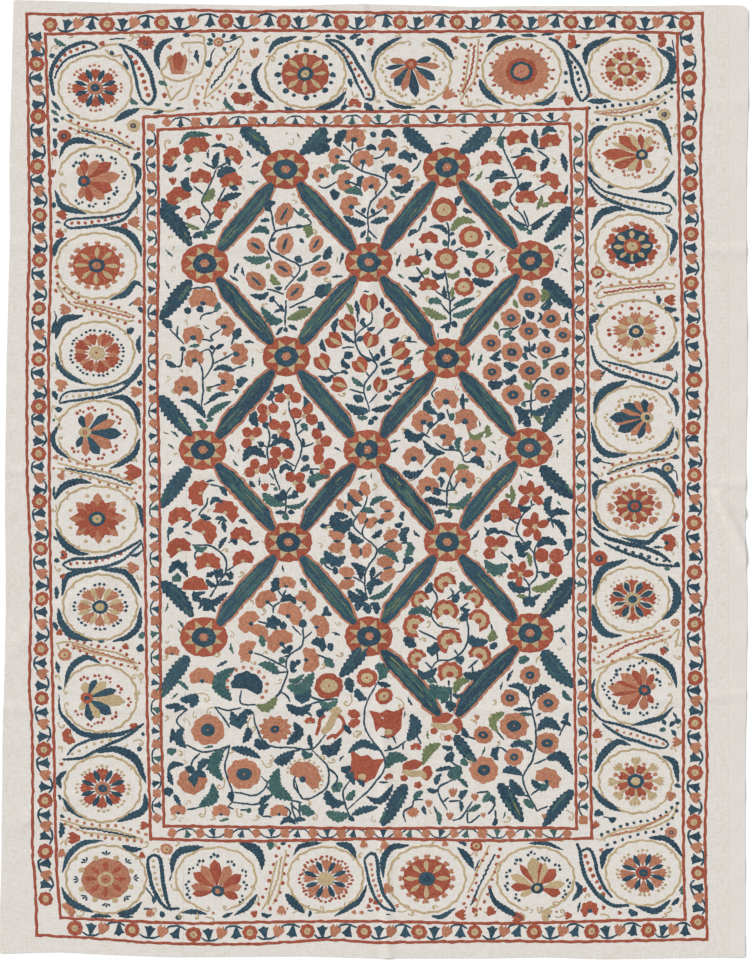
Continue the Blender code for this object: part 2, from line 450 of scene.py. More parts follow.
# The short creases, wrinkles and puckers between the folds
PUCKER_ROOT = (0.757, -0.030)
PUCKER_FOOT = (0.823, -0.177)
SHORT_CREASES = (
    Crease(((-0.815, 0.677), (-0.660, 0.672)), 0.0016, 0.014),
    Crease(((-0.815, 0.201), (-0.650, 0.207)), 0.0014, 0.014),
    Crease(((0.690, 0.826), (0.822, 0.822)), 0.0014, 0.014),
    Crease(((-0.800, -0.375), (-0.660, -0.262), (-0.515, -0.160)), 0.0022, 0.030),
    Crease(((-0.790, -0.760), (-0.640, -0.690)), 0.0016, 0.026),
    Crease((PUCKER_ROOT, (0.823, -0.078)), 0.0050, 0.015),
    Crease((PUCKER_ROOT, PUCKER_FOOT), 0.0045, 0.018),
)


@dataclass
class GroundCloth:
    """The cotton ground: two panels, their creases, and how high they lie at each place."""

    width: float = 1.646
    length: float = 2.110
    thickness: float = 0.0012
    hem_extra: float = 0.0007
    hem_step_run: float = 0.003
    seam_gap: float = 0.0003
    widest_step: float = 0.012
    fold_steps: tuple[float, ...] = (0.0035, 0.007, 0.0105, 0.0145, 0.019, 0.024)
    edge_steps: tuple[float, ...] = (0.003, 0.006, 0.010, 0.016)
    pucker_step: float = 0.005
    even_seam: float = -0.4125
    even_fold: float = 0.0
    even_hem: float = 0.779
    even_cross: tuple[float, ...] = (-0.500, 0.005, 0.511)
    fold_reach: float = 0.020
    centre_fold_height: float = 0.0026
    middle_fold_height: float = 0.0018
    outer_fold_height: float = 0.0015
    swell_height: float = 0.0040
    swell_across: float = 0.52
    swell_along: float = 0.43
    swell_slant: float = 0.21
    swell_flat_share: float = 0.55
    ripple_height: float = 0.0022
    ripple_pitch: float = 0.17
    ripple_reach: float = 0.075
    ripple_side_shift: float = 0.3
    ripple_flat_share: float = 0.3
    head_right_radius: float = 0.016
    corner_radius: float = 0.004
    creases: tuple[Crease, ...] = field(init=False)

    def __post_init__(self) -> None:
        """Add the creases of the old folds to the short ones."""
        centre = tuple(
            (place, self.length * (0.5 - share))
            for share, place in zip(CENTRE_FOLD.shares, CENTRE_FOLD.places)
        )
        folds = [Crease(centre, self.centre_fold_height, self.fold_reach)]
        heights = (self.outer_fold_height, self.middle_fold_height, self.outer_fold_height)
        for fold, height in zip((HEAD_FOLD, MIDDLE_FOLD, FOOT_FOLD), heights):
            path = tuple(
                (self.width * (share - 0.5), place)
                for share, place in zip(fold.shares, fold.places)
            )
            folds.append(Crease(path, height, self.fold_reach))
        self.creases = tuple(folds) + SHORT_CREASES

    def relief(self, x: Line, y: Line) -> Line:
        """Return how far the cloth's underside stands off the ground at each place.

        Args:
            x: places across, in metres.
            y: places along, in metres.

        Returns:
            The heights, in metres.
        """
        crease = np.zeros(np.shape(x))
        for ridge in self.creases:
            crease = np.maximum(crease, ridge.rise(x, y))
        across_wave = np.sin(math.tau * (x / self.swell_across + self.swell_slant * y))
        along_wave = np.sin(math.tau * y / self.swell_along)
        over = np.maximum(0, across_wave * along_wave - self.swell_flat_share)
        swell = self.swell_height * over**2
        to_side = np.maximum(0, 1 - (self.width / 2 - np.abs(x)) / self.ripple_reach)
        side_wave = np.sin(math.tau * (y / self.ripple_pitch + self.ripple_side_shift * np.sign(x)))
        ripple = self.ripple_height * np.maximum(0, side_wave - self.ripple_flat_share)
        return crease + swell + ripple * to_side**2

    def thickness_at(self, x: Line) -> Line:
        """Return the cloth's thickness at each place across: single, or doubled at the hem."""
        share = (x - self.even_hem) / self.hem_step_run + 0.5
        return self.thickness + self.hem_extra * np.clip(share, 0, 1)

    def top(self, x: Line, y: Line) -> Line:
        """Return the height of the cloth's face at each place."""
        return self.relief(x, y) + self.thickness_at(x)

    def place(self, across: Line, along: Line) -> tuple[Line, Line]:
        """Carry places on an even cloth to the real, uneven one.

        Args:
            across: places across the even cloth, in metres.
            along: places along it, in metres.

        Returns:
            The real x and y of each.
        """
        share = 0.5 - along / self.length
        long_even = (-self.width / 2, self.even_seam, self.even_fold, self.even_hem, self.width / 2)
        long_rails = (
            -self.width / 2 + LEFT_EDGE.at(share),
            SEAM.at(share),
            CENTRE_FOLD.at(share),
            HEM_LINE.at(share),
            self.width / 2 - RIGHT_EDGE.at(share),
        )
        x = between_rails(long_even, long_rails, across)
        share = 0.5 + across / self.width
        cross_even = (-self.length / 2, *self.even_cross, self.length / 2)
        cross_rails = (
            -self.length / 2 + FOOT_EDGE.at(share),
            FOOT_FOLD.at(share),
            MIDDLE_FOLD.at(share),
            HEAD_FOLD.at(share),
            self.length / 2 - HEAD_EDGE.at(share),
        )
        return self.round_corners(x, between_rails(cross_even, cross_rails, along))

    def round_corners(self, x: Line, y: Line) -> tuple[Line, Line]:
        """Draw the places near each corner in, so that the corner becomes a quarter circle."""
        for side in (-1, 1):
            for end in (-1, 1):
                radius = self.head_right_radius if side == end == 1 else self.corner_radius
                long_edge = RIGHT_EDGE if side > 0 else LEFT_EDGE
                cross_edge = HEAD_EDGE if end > 0 else FOOT_EDGE
                corner_x = side * (self.width / 2 - long_edge.at(0.0 if end > 0 else 1.0))
                corner_y = end * (self.length / 2 - cross_edge.at(1.0 if side > 0 else 0.0))
                middle_x = corner_x - side * radius
                middle_y = corner_y - end * radius
                out_x = (x - middle_x) * side / radius
                out_y = (y - middle_y) * end / radius
                inside = (out_x > 0) & (out_y > 0)
                round_x = middle_x + side * radius * out_x * np.sqrt(np.maximum(0, 1 - out_y**2 / 2))
                round_y = middle_y + end * radius * out_y * np.sqrt(np.maximum(0, 1 - out_x**2 / 2))
                x, y = np.where(inside, round_x, x), np.where(inside, round_y, y)
        return x, y

    def spread(self, anchors: Sequence[float], step: float) -> Line:
        """Return the anchors in order, with even steps between those that lie far apart."""
        ordered = sorted(set(round(place, 5) for place in anchors))
        places = [ordered[0]]
        for place in ordered[1:]:
            start = places[-1]
            steps = max(1, math.ceil((place - start) / step - 1e-6))
            places.extend(start + (place - start) * i / steps for i in range(1, steps + 1))
        return np.array(places)

    def rows(self) -> Line:
        """Return the even cloth's rows, finer at the folds, the ends and the puckers."""
        half = self.length / 2
        anchors = [-half, half]
        anchors += [end * (half - step) for step in self.edge_steps for end in (-1, 1)]
        for fold in self.even_cross:
            anchors += [fold + side * step for step in (0.0, *self.fold_steps) for side in (-1, 1)]
        anchors += list(np.arange(PUCKER_FOOT[1] - 0.02, PUCKER_ROOT[1] + 0.02, self.pucker_step))
        return self.spread(anchors, self.widest_step)

    def left_columns(self) -> Line:
        """Return the left panel's columns, from the left edge to the seam."""
        edge = -self.width / 2
        anchors = [edge, self.even_seam, self.even_seam - 0.002]
        return self.spread(anchors + [edge + step for step in self.edge_steps], self.widest_step)

    def main_columns(self) -> Line:
        """Return the main panel's columns, from the seam across the fold and hem to the edge."""
        edge = self.width / 2
        anchors = [self.even_seam, self.even_seam + 0.002, edge]
        anchors += [self.even_fold + side * step for step in (0.0, *self.fold_steps) for side in (-1, 1)]
        anchors += [self.even_hem + side * self.hem_step_run / 2 for side in (-1, 1)]
        anchors += [edge - step for step in self.edge_steps]
        anchors += list(np.arange(PUCKER_ROOT[0] - 0.02, edge - 0.02, self.pucker_step))
        return self.spread(anchors, self.widest_step)

    def build_panel(self, name: str, columns: Line, seam_side: int,
                    cotton: bpy.types.Material) -> bpy.types.Object:
        """Make one panel: a grid laid over its creases, then thickened upwards.

        Args:
            name: the panel's name.
            columns: its columns on the even cloth.
            seam_side: the way that its edge stands back from the seam, -1 or 1.
            cotton: its material.

        Returns:
            The panel.
        """
        rows = self.rows()
        mesh = bmesh.new()
        thickness = mesh.verts.layers.float.new("thickness")
        grid = bmesh.ops.create_grid(
            mesh, x_segments=len(columns) - 1, y_segments=len(rows) - 1, size=1.0
        )
        column = [round((vert.co.x + 1) / 2 * (len(columns) - 1)) for vert in grid["verts"]]
        row = [round((vert.co.y + 1) / 2 * (len(rows) - 1)) for vert in grid["verts"]]
        x, y = self.place(columns[column], rows[row])
        x = x + (columns[column] == self.even_seam) * seam_side * self.seam_gap / 2
        heights = self.relief(x, y)
        thick = self.thickness_at(columns[column])
        for i, vert in enumerate(grid["verts"]):
            vert.co = (x[i], y[i], heights[i])
            vert[thickness] = thick[i]
        lifted = bmesh.ops.extrude_face_region(mesh, geom=mesh.faces[:])
        for part in lifted["geom"]:
            if isinstance(part, bmesh.types.BMVert):
                part.co.z += part[thickness]
        bmesh.ops.recalc_face_normals(mesh, faces=mesh.faces[:])
        data = bpy.data.meshes.new(name)
        mesh.to_mesh(data)
        mesh.free()
        data.shade_smooth()
        data.set_sharp_from_angle(angle=math.radians(50))
        data.materials.append(cotton)
        panel = bpy.data.objects.new(name, data)
        bpy.context.scene.collection.objects.link(panel)
        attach(panel, BODY)
        return panel

    def build(self, cotton: bpy.types.Material) -> list[bpy.types.Object]:
        """Make both panels, in place of the plain ones."""
        left = self.build_panel("left_cloth", self.left_columns(), -1, cotton)
        main = self.build_panel("main_cloth", self.main_columns(), 1, cotton)
        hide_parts("left_panel")
        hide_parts("main_panel")
        return [left, main]


def between_rails(even: Sequence[float], rails: Sequence[Line], places: Line) -> Line:
    """Carry places on the even cloth to the real one, between the two rails beside each."""
    moved = np.empty(np.shape(places))
    for gap in range(len(even) - 1):
        share = (places - even[gap]) / (even[gap + 1] - even[gap])
        here = rails[gap] + share * (rails[gap + 1] - rails[gap])
        held = (places >= even[gap]) if gap else np.ones(np.shape(places), bool)
        moved = np.where(held, here, moved)
    return moved


def dye(red: float, green: float, blue: float) -> tuple[float, float, float, float]:
    """Return a colour from a dyer's card, 0 to 255, as the light that it gives back."""
    parts = []
    for part in (red, green, blue):
        share = part / 255
        parts.append(share / 12.92 if share <= 0.04045 else ((share + 0.055) / 1.055) ** 2.4)
    return (*parts, 1.0)


Colour = tuple[float, float, float, float]


class Wiring:
    """A material's nodes, wired by short calls."""

    def __init__(self, name: str) -> None:
        """Start a material with a Principled shader."""
        self.material = bpy.data.materials.new(name)
        self.material.use_nodes = True
        self.tree = self.material.node_tree
        self.shader = self.tree.nodes["Principled BSDF"]

    def node(self, kind: str, **settings: object) -> bpy.types.Node:
        """Add a node and give it its settings."""
        node = self.tree.nodes.new(kind)
        for name, value in settings.items():
            setattr(node, name, value)
        return node

    def feed(self, source: object, socket: bpy.types.NodeSocket) -> None:
        """Link a socket to another's output, or set it to a value."""
        if isinstance(source, bpy.types.NodeSocket):
            self.tree.links.new(source, socket)
        else:
            socket.default_value = source

    def place(self) -> bpy.types.NodeSocket:
        """Return the place on the object, in metres."""
        return self.node("ShaderNodeTexCoord").outputs["Object"]

    def attribute(self, name: str) -> bpy.types.NodeSocket:
        """Return a vector that the mesh carries by name."""
        return self.node("ShaderNodeAttribute", attribute_name=name).outputs["Vector"]

    def stretch(self, vector: object, scale: tuple[float, float, float]) -> bpy.types.NodeSocket:
        """Return a vector scaled along each axis."""
        node = self.node("ShaderNodeMapping")
        self.feed(vector, node.inputs["Vector"])
        node.inputs["Scale"].default_value = scale
        return node.outputs["Vector"]

    def noise(self, vector: object, scale: float, detail: float = 2.0,
              roughness: float = 0.5) -> bpy.types.NodeSocket:
        """Return a noise of a scale, read at a vector."""
        node = self.node("ShaderNodeTexNoise")
        self.feed(vector, node.inputs["Vector"])
        node.inputs["Scale"].default_value = scale
        node.inputs["Detail"].default_value = detail
        node.inputs["Roughness"].default_value = roughness
        return node.outputs["Fac"]

    def wave(self, vector: object, scale: float, direction: str,
             distortion: float = 0.0) -> bpy.types.NodeSocket:
        """Return bands of a scale along an axis."""
        node = self.node("ShaderNodeTexWave", bands_direction=direction)
        self.feed(vector, node.inputs["Vector"])
        node.inputs["Scale"].default_value = scale
        node.inputs["Distortion"].default_value = distortion
        return node.outputs["Fac"]

    def maths(self, operation: str, first: object, second: object = 0.0) -> bpy.types.NodeSocket:
        """Return a sum of two numbers or sockets."""
        node = self.node("ShaderNodeMath", operation=operation)
        self.feed(first, node.inputs[0])
        self.feed(second, node.inputs[1])
        return node.outputs[0]

    def ramp(self, value: object, low: float, high: float) -> bpy.types.NodeSocket:
        """Return a value spread from 0 at low to 1 at high."""
        node = self.node("ShaderNodeMapRange", interpolation_type="SMOOTHSTEP")
        self.feed(value, node.inputs["Value"])
        node.inputs["From Min"].default_value = low
        node.inputs["From Max"].default_value = high
        return node.outputs["Result"]

    def blend(self, share: object, first: object, second: object) -> bpy.types.NodeSocket:
        """Return a mix of two colours."""
        node = self.node("ShaderNodeMix", data_type="RGBA")
        self.feed(share, node.inputs["Factor"])
        self.feed(first, node.inputs["A"])
        self.feed(second, node.inputs["B"])
        return node.outputs["Result"]

    def split(self, vector: object) -> tuple[bpy.types.NodeSocket, ...]:
        """Return a vector's three parts."""
        node = self.node("ShaderNodeSeparateXYZ")
        self.feed(vector, node.inputs[0])
        return tuple(node.outputs)

    def bump(self, height: object, strength: float, distance: float,
             after: object = None) -> bpy.types.NodeSocket:
        """Return normals roughened by a height."""
        node = self.node("ShaderNodeBump")
        node.inputs["Strength"].default_value = strength
        node.inputs["Distance"].default_value = distance
        self.feed(height, node.inputs["Height"])
        if after is not None:
            self.feed(after, node.inputs["Normal"])
        return node.outputs["Normal"]


@dataclass(frozen=True)
class ThreadFinish:
    """A dyed thread: its worn, usual and fresh colours, the painted shade of its stitch grooves, and how it
    shines.
    """

    worn: Colour
    usual: Colour
    fresh: Colour
    # Painted shade: the colour laid into the low grooves between stitches
    painted_groove_shade: Colour
    roughness: float = 0.66
    sheen: float = 0.12

    def make(self, name: str) -> bpy.types.Material:
        """Return the thread's material: strands along the stitches, worn in spots, with painted shade in the
        grooves between stitches.
        """
        wiring = Wiring(name)
        lay = wiring.attribute("lay")
        _, _, shade = wiring.split(lay)
        stitches = wiring.noise(wiring.stretch(lay, (170.0, 420.0, 31.0)), 1.0, 3.0, 0.65)
        strands = wiring.noise(wiring.stretch(lay, (60.0, 900.0, 17.0)), 1.0, 1.0, 0.5)
        broad = wiring.noise(wiring.place(), 38.0, 2.0, 0.5)
        specks = wiring.noise(wiring.place(), 330.0, 2.0, 0.6)
        tone = wiring.maths("ADD", wiring.maths("MULTIPLY", shade, 0.35), wiring.maths("MULTIPLY", broad,
        0.35))
        tone = wiring.maths("ADD", tone, wiring.maths("MULTIPLY", strands, 0.55))
        colour = wiring.blend(wiring.ramp(tone, 0.38, 0.92), self.usual, self.fresh)
        # Painted shade: where the stitch bumps are low, the colour darkens towards the painted groove shade
        shadowed = wiring.maths("MULTIPLY", wiring.ramp(stitches, 0.50, 0.34), 0.80)
        colour = wiring.blend(shadowed, colour, self.painted_groove_shade)
        rubbed = wiring.maths("MULTIPLY", wiring.ramp(stitches, 0.53, 0.68), 0.62)
        colour = wiring.blend(rubbed, colour, self.worn)
        colour = wiring.blend(wiring.maths("MULTIPLY", wiring.ramp(specks, 0.60, 0.72), 0.55), colour,
        self.worn)
        wiring.feed(colour, wiring.shader.inputs["Base Color"])
        twist = wiring.wave(wiring.stretch(lay, (1.0, 1.0, 0.0)), 300.0, "Y", 1.5)
        normal = wiring.bump(twist, 0.6, 0.0003)
        normal = wiring.bump(stitches, 0.7, 0.0009, normal)
        wiring.feed(normal, wiring.shader.inputs["Normal"])
        wiring.shader.inputs["Roughness"].default_value = self.roughness
        wiring.shader.inputs["Sheen Weight"].default_value = self.sheen
        wiring.shader.inputs["Specular IOR Level"].default_value = 0.25
        return wiring.material


# Each thread: worn, usual and fresh colours, then the painted shade of its stitch grooves
THREAD_FINISHES = {
    Thread.MADDER: ThreadFinish(
        dye(188, 126, 102), dye(149, 68, 48), dye(166, 82, 56), dye(122, 54, 42)),
    Thread.SALMON: ThreadFinish(
        dye(200, 158, 134), dye(166, 106, 79), dye(186, 124, 94), dye(140, 88, 67)),
    Thread.GOLD: ThreadFinish(
        dye(208, 194, 166), dye(177, 154, 116), dye(193, 170, 130), dye(150, 131, 98)),
    Thread.INDIGO: ThreadFinish(
        dye(86, 110, 118), dye(30, 58, 76), dye(46, 80, 95), dye(22, 42, 57)),
    Thread.TEAL: ThreadFinish(
        dye(100, 126, 116), dye(46, 84, 88), dye(72, 108, 100), dye(30, 60, 66)),
    Thread.OLIVE: ThreadFinish(
        dye(146, 150, 112), dye(98, 112, 76), dye(120, 130, 86), dye(74, 90, 66)),
    Thread.COTTON: ThreadFinish(
        dye(214, 206, 192), dye(196, 184, 160), dye(208, 198, 178), dye(176, 164, 140)),
}


@dataclass(frozen=True)
class CottonFinish:
    """The hand-loomed ground: cream cotton with slubs, stains and a pinker hem."""

    cream: Colour = dye(222, 218, 212)
    shadow: Colour = dye(198, 190, 180)
    stain: Colour = dye(204, 192, 176)
    hem: Colour = dye(218, 211, 206)
    hem_line: Colour = dye(204, 190, 166)
    yarn_scale: float = 380.0
    roughness: float = 0.9
    hem_place: float = 0.779
    hem_line_width: float = 0.0016

    def make(self) -> bpy.types.Material:
        """Return the cotton's material."""
        wiring = Wiring("hand_loomed_cotton")
        place = wiring.place()
        across, along, _ = wiring.split(place)
        warp = wiring.wave(place, self.yarn_scale, "X", 1.0)
        weft = wiring.wave(place, self.yarn_scale, "Y", 1.0)
        weave = wiring.maths("MULTIPLY", warp, weft)
        slubs = wiring.noise(wiring.stretch(place, (40.0, 620.0, 1.0)), 1.0, 2.0, 0.6)
        long_slubs = wiring.noise(wiring.stretch(place, (620.0, 30.0, 1.0)), 1.0, 2.0, 0.6)
        cloudy = wiring.noise(place, 6.0, 4.0, 0.6)
        speckle = wiring.noise(place, 150.0, 3.0, 0.6)
        grey = wiring.maths("ADD", wiring.maths("MULTIPLY", slubs, 0.4),
                            wiring.maths("MULTIPLY", long_slubs, 0.3))
        grey = wiring.maths("ADD", grey, wiring.maths("MULTIPLY", speckle, 0.3))
        colour = wiring.blend(wiring.ramp(grey, 0.35, 0.75), self.cream, self.shadow)
        stains = wiring.ramp(cloudy, 0.58, 0.80)
        colour = wiring.blend(wiring.maths("MULTIPLY", stains, 0.30), colour, self.stain)
        on_hem = wiring.ramp(across, self.hem_place - 0.001, self.hem_place + 0.001)
        colour = wiring.blend(wiring.maths("MULTIPLY", on_hem, 0.6), colour, self.hem)
        from_line = wiring.maths("ABSOLUTE", wiring.maths("SUBTRACT", across, self.hem_place))
        on_line = wiring.ramp(from_line, self.hem_line_width, 0.0)
        colour = wiring.blend(wiring.maths("MULTIPLY", on_line, 0.6), colour, self.hem_line)
        wiring.feed(colour, wiring.shader.inputs["Base Color"])
        normal = wiring.bump(weave, 0.35, 0.0003)
        normal = wiring.bump(slubs, 0.25, 0.0006, normal)
        normal = wiring.bump(wiring.noise(place, 22.0, 3.0, 0.55), 0.30, 0.0030, normal)
        wiring.feed(normal, wiring.shader.inputs["Normal"])
        wiring.shader.inputs["Roughness"].default_value = self.roughness
        wiring.shader.inputs["Sheen Weight"].default_value = 0.1
        wiring.shader.inputs["Specular IOR Level"].default_value = 0.2
        return wiring.material


class Claims:
    """The places on the chart that are already stitched, as discs."""

    def __init__(self) -> None:
        """Start with an empty chart."""
        self.places = np.zeros(4096, complex)
        self.sizes = np.zeros(4096)
        self.count = 0

    def claim(self, places: Line, size: Line | float) -> None:
        """Mark discs round some places as stitched."""
        places = np.atleast_1d(places)
        while self.count + len(places) > len(self.places):
            self.places = np.concatenate([self.places, np.zeros_like(self.places)])
            self.sizes = np.concatenate([self.sizes, np.zeros_like(self.sizes)])
        self.places[self.count:self.count + len(places)] = places
        self.sizes[self.count:self.count + len(places)] = size
        self.count += len(places)

    def is_free(self, places: Line, size: float) -> bool:
        """Tell whether discs of a size round some places touch nothing."""
        for place in np.atleast_1d(places):
            away = np.abs(self.places[:self.count] - place)
            if np.any(away < self.sizes[:self.count] + size):
                return False
        return True


class Basket:
    """Every layer of stitches, one for each thread in each region, and what they cover."""

    def __init__(self) -> None:
        """Start with no layers."""
        self.layers: dict[str, Stitching] = {}
        self.claims = Claims()

    def layer(self, region: str, thread: Thread) -> Stitching:
        """Return a region's layer of a thread, made when it is first asked for."""
        name = f"{region}_{thread.value}"
        if name not in self.layers:
            self.layers[name] = Stitching(name, thread, len(self.layers))
        return self.layers[name]


def paced(line: Line, shares: Line) -> Line:
    """Return a line's points at shares of its length."""
    reach = np.concatenate([[0.0], np.cumsum(np.abs(np.diff(line)))])
    places = np.asarray(shares) * reach[-1]
    return np.interp(places, reach, line.real) + 1j * np.interp(places, reach, line.imag)


def toothed_shares(teeth: int) -> tuple[Line, Line]:
    """Return the shares of a toothed edge's points along it, and which of them are its points."""
    shares, peaks = [0.0], [False]
    for tooth in range(teeth):
        shares += [(tooth + 0.62) / teeth, (tooth + 0.98) / teeth]
        peaks += [True, False]
    return np.array(shares), np.array(peaks)


class Needle:
    """Works common shapes into one region, one thread at a time."""

    def __init__(self, basket: Basket, region: str, seed: int) -> None:
        """Thread the needle.

        Args:
            basket: where the layers of stitches are kept.
            region: the region that this needle works.
            seed: what its uneven hand starts from.
        """
        self.basket = basket
        self.region = region
        self.chance = np.random.default_rng(seed)

    def between(self, low: float, high: float) -> float:
        """Return an uneven number between two."""
        return float(self.chance.uniform(low, high))

    def pad(self, thread: Thread, outline: Line, at: complex = 0j, angle: float = 0.0,
            tier: float = 0.0, grain: float | None = None, rings: int = 1,
            shade: float | None = None) -> None:
        """Work a padded shape.

        Args:
            thread: its thread.
            outline: its edge round its own root, in squares.
            at: where its root goes.
            angle: the direction that it points, in degrees.
            tier: how many layers of thread it lies on.
            grain: the direction of its stitches, or None for along it.
            rings: how many rings of faces it has.
            shade: its shade, or None for an uneven one.
        """
        placed = at + np.asarray(outline, complex) * turned(angle)
        self.basket.layer(self.region, thread).pad(
            placed, tier=tier, grain=angle if grain is None else grain, rings=rings, shade=shade
        )
        middle = placed.mean()
        self.basket.claims.claim(middle, 0.85 * float(np.abs(placed - middle).mean()))

    def petal(self, thread: Thread, at: complex, angle: float, length: float, width: float,
              tier: float = 0.0, fullness: float = 1.6) -> None:
        """Work one petal from its root."""
        self.pad(thread, petal_outline(length, width, fullness), at, angle, tier)

    def disc(self, thread: Thread, at: complex, across: float, along: float | None = None,
             lobes: int = 0, depth: float = 0.0, tier: float = 0.0, rings: int = 1,
             turn: float = 0.0) -> None:
        """Work a round pad, plain or scalloped."""
        along = across if along is None else along
        count = max(8, round(across * 2.2)) if not lobes else lobes * 4
        outline = disc_outline(across, along, min(count, 64), lobes, depth, turn)
        self.pad(thread, outline, at, 0.0, tier, grain=self.between(0, 180), rings=rings)

    def dot(self, thread: Thread, at: complex, size: float = 1.35, tier: float = 0.0) -> None:
        """Work a small knot."""
        outline = disc_outline(size, size * self.between(0.85, 1.15), 6)
        self.pad(thread, outline, at, self.between(0, 60), tier)

    def line(self, thread: Thread, points: Line, half: float, tier: float = 0.0,
             taper: float = 0.3) -> None:
        """Work a stem, thinner towards its ends."""
        curve = smooth_line(points, STEM_STEP)
        share = np.linspace(0, 1, len(curve))
        widths = half * (1 - taper * np.abs(2 * share - 1) ** 3)
        self.basket.layer(self.region, thread).band(curve, widths, tier=tier)
        self.basket.claims.claim(curve, half)

    def leaf(self, thread: Thread, points: Line, width: float, teeth: int = 0, bite: float = 0.3,
             fullness: float = 0.9, lean: float = 0.0, blunt: float = 0.75) -> Line:
        """Work a leaf along a curve.

        Args:
            thread: its thread.
            points: the curve from its root to its tip.
            width: its greatest width, in squares.
            teeth: how many teeth its edges have.
            bite: how deep the teeth are cut, as a share of the width.
            fullness: below 1 it is fullest towards the root, above 1 towards the tip.
            lean: how much more of it lies to the left, or to the right below 0; 1 or -1 for all.
            blunt: below 1 its ends are blunt.

        Returns:
            The leaf's middle line.
        """
        curve = smooth_line(points, 1.5)
        if teeth:
            shares, peaks = toothed_shares(teeth)
        else:
            shares = np.linspace(0, 1, max(5, round(len(curve) / 1.6)))
            peaks = np.ones(len(shares), bool)
        middle = paced(curve, shares)
        half = width / 2 * np.maximum(np.sin(math.pi * np.clip(shares, 0, 1) ** fullness), 0.02) ** blunt
        cut = np.where(peaks, 1.0, 1 - bite)
        left = np.maximum(half * cut * (1 + lean), 0.3)
        right = np.maximum(half * cut * (1 - lean), 0.3)
        self.basket.layer(self.region, thread).band(middle, left, right, crowned=width > WIDE_LEAF)
        offset = side_steps(middle) * (left - right) / 2
        self.basket.claims.claim(middle + offset, np.maximum((left + right) / 2, 0.4))
        return middle

    def crown(self, thread: Thread, at: complex, angle: float, length: float, width: float) -> None:
        """Work a small leaf that spreads to three points, as on the vines."""
        half = width / 2
        right = [complex(length * along, -half * across) for along, across in CROWN_EDGE]
        left = [place.conjugate() for place in right[-2::-1]]
        self.pad(thread, np.array(right + left), at, angle + self.between(-8, 8))

    def curl(self, at: complex, angle: float, size: float, side: int, half: float = 0.5) -> None:
        """Work a gold tendril that winds up at its end."""
        share = np.linspace(0, 1, CURL_POINTS)
        heading = np.radians(angle + side * CURL_WIND * share**CURL_TIGHTENING)
        steps = size * CURL_LENGTH / CURL_POINTS * (1 - CURL_SHRINK * share) * np.exp(1j * heading)
        tendril = at + np.concatenate([[0], np.cumsum(steps)])
        self.basket.layer(self.region, Thread.GOLD).band(tendril, half)
        self.basket.claims.claim(tendril, half)

    def bud(self, thread: Thread, at: complex, angle: float, size: float) -> None:
        """Work a small bud of three lobes, from its neck."""
        outline = fan_outline(size, size * BUD_BREADTH, 3, BUD_NECK, BUD_NOTCH)
        self.pad(thread, outline, at, angle)


def squeezed(places: Line, share: float) -> Line:
    """Return places drawn in towards the chart's middle line, along the cloth."""
    return places.real + 1j * places.imag * share


@dataclass
class RedFrames:
    """The four red lines that frame the borders, one side at a time."""

    needle: Needle
    half_width: float = 1.6
    step: float = 4.0

    def stitch(self) -> None:
        """Work every side of every frame."""
        for side in FRAME_SIDES:
            line = smooth_line(spots(side), self.step)
            steps = np.arange(len(line))
            sway = FRAME_SHAKE * np.sin(steps * 1.7) + FRAME_SWAY * np.sin(steps * 0.63)
            half = self.half_width + FRAME_UNEVEN * np.sin(steps * 2.3)
            line = line + side_steps(line) * sway
            line[0] -= (line[1] - line[0]) / abs(line[1] - line[0]) * self.half_width
            line[-1] += (line[-1] - line[-2]) / abs(line[-1] - line[-2]) * self.half_width
            layer = self.needle.basket.layer(self.needle.region, Thread.MADDER)
            layer.band(line, half, crowned=True, shade=0.35)
            self.needle.basket.claims.claim(line, self.half_width + 0.6)


# The frames' sides on the chart: outer pair, then inner pair; top, right, bottom, left
FRAME_SIDES = (
    ((27, 14), (102, 14.7), (185, 10.4), (250, 12), (298, 10.8), (371, 12.8), (500, 12), (580, 12.4),
     (702, 13.5)),
    ((702, 13.5), (704, 80), (701, 127), (700.6, 175), (703, 239), (703, 280), (704, 320), (707, 367),
     (706, 415), (705, 479), (706, 592), (703, 615), (706, 687), (706, 720), (707, 768), (705, 832),
     (707, 939)),
    ((707, 939), (580, 941.6), (500, 941), (378, 942.4), (330, 939.7), (250, 944), (159, 943),
     (96, 938.4), (37, 935)),
    ((37, 935), (35, 879), (32.7, 855), (32.7, 784), (31.9, 720), (29.5, 687), (31, 607), (30.3, 544),
     (27.4, 480), (27, 400), (27.9, 300), (29.5, 240), (28.3, 113), (27.5, 70), (26.8, 14)),
    ((45.4, 34.3), (250, 30.5), (374, 31.9), (500, 31.3), (667, 32.7), (677, 34.3)),
    ((677, 34.3), (678.6, 112), (680.2, 240), (683.4, 352), (683.4, 480), (683.4, 719), (683.4, 848),
     (685, 919.3)),
    ((685, 919.3), (628, 920.1), (500, 923.3), (361.6, 921.2), (250, 922.3), (199, 923.3),
     (143.5, 921.7), (60.9, 917.7)),
    ((60.9, 917.7), (56.6, 863.5), (53.4, 719), (50.7, 592), (49.2, 447), (48.6, 352), (51, 239),
     (47.8, 112), (45.4, 34.3)),
    ((143.5, 117.2), (250, 112), (361.6, 111.6), (500, 111), (587, 108.4)),
    ((587, 108.4), (586, 159.5), (587, 239), (587.7, 352), (589.3, 479), (590, 608), (590, 720),
     (591.7, 838)),
    ((591.7, 838), (500, 840.5), (377.6, 838.8), (250, 841), (150.7, 838.8)),
    ((150.7, 838.8), (147.5, 719), (145.9, 608), (144.3, 479), (144.3, 239), (143.5, 117.2)),
    ((157.8, 130), (250, 125.5), (361.6, 126), (500, 125), (569.4, 123.6)),
    ((569.4, 123.6), (571, 160), (572.5, 239), (573.3, 368), (574, 479), (573.3, 608), (575, 720),
     (576.5, 828.4)),
    ((576.5, 828.4), (500, 827.6), (374.4, 828.4), (250, 827), (164.2, 826)),
    ((164.2, 826), (161, 719), (160.2, 608), (159.4, 479), (157, 352), (158.6, 239), (157.8, 130)),
)


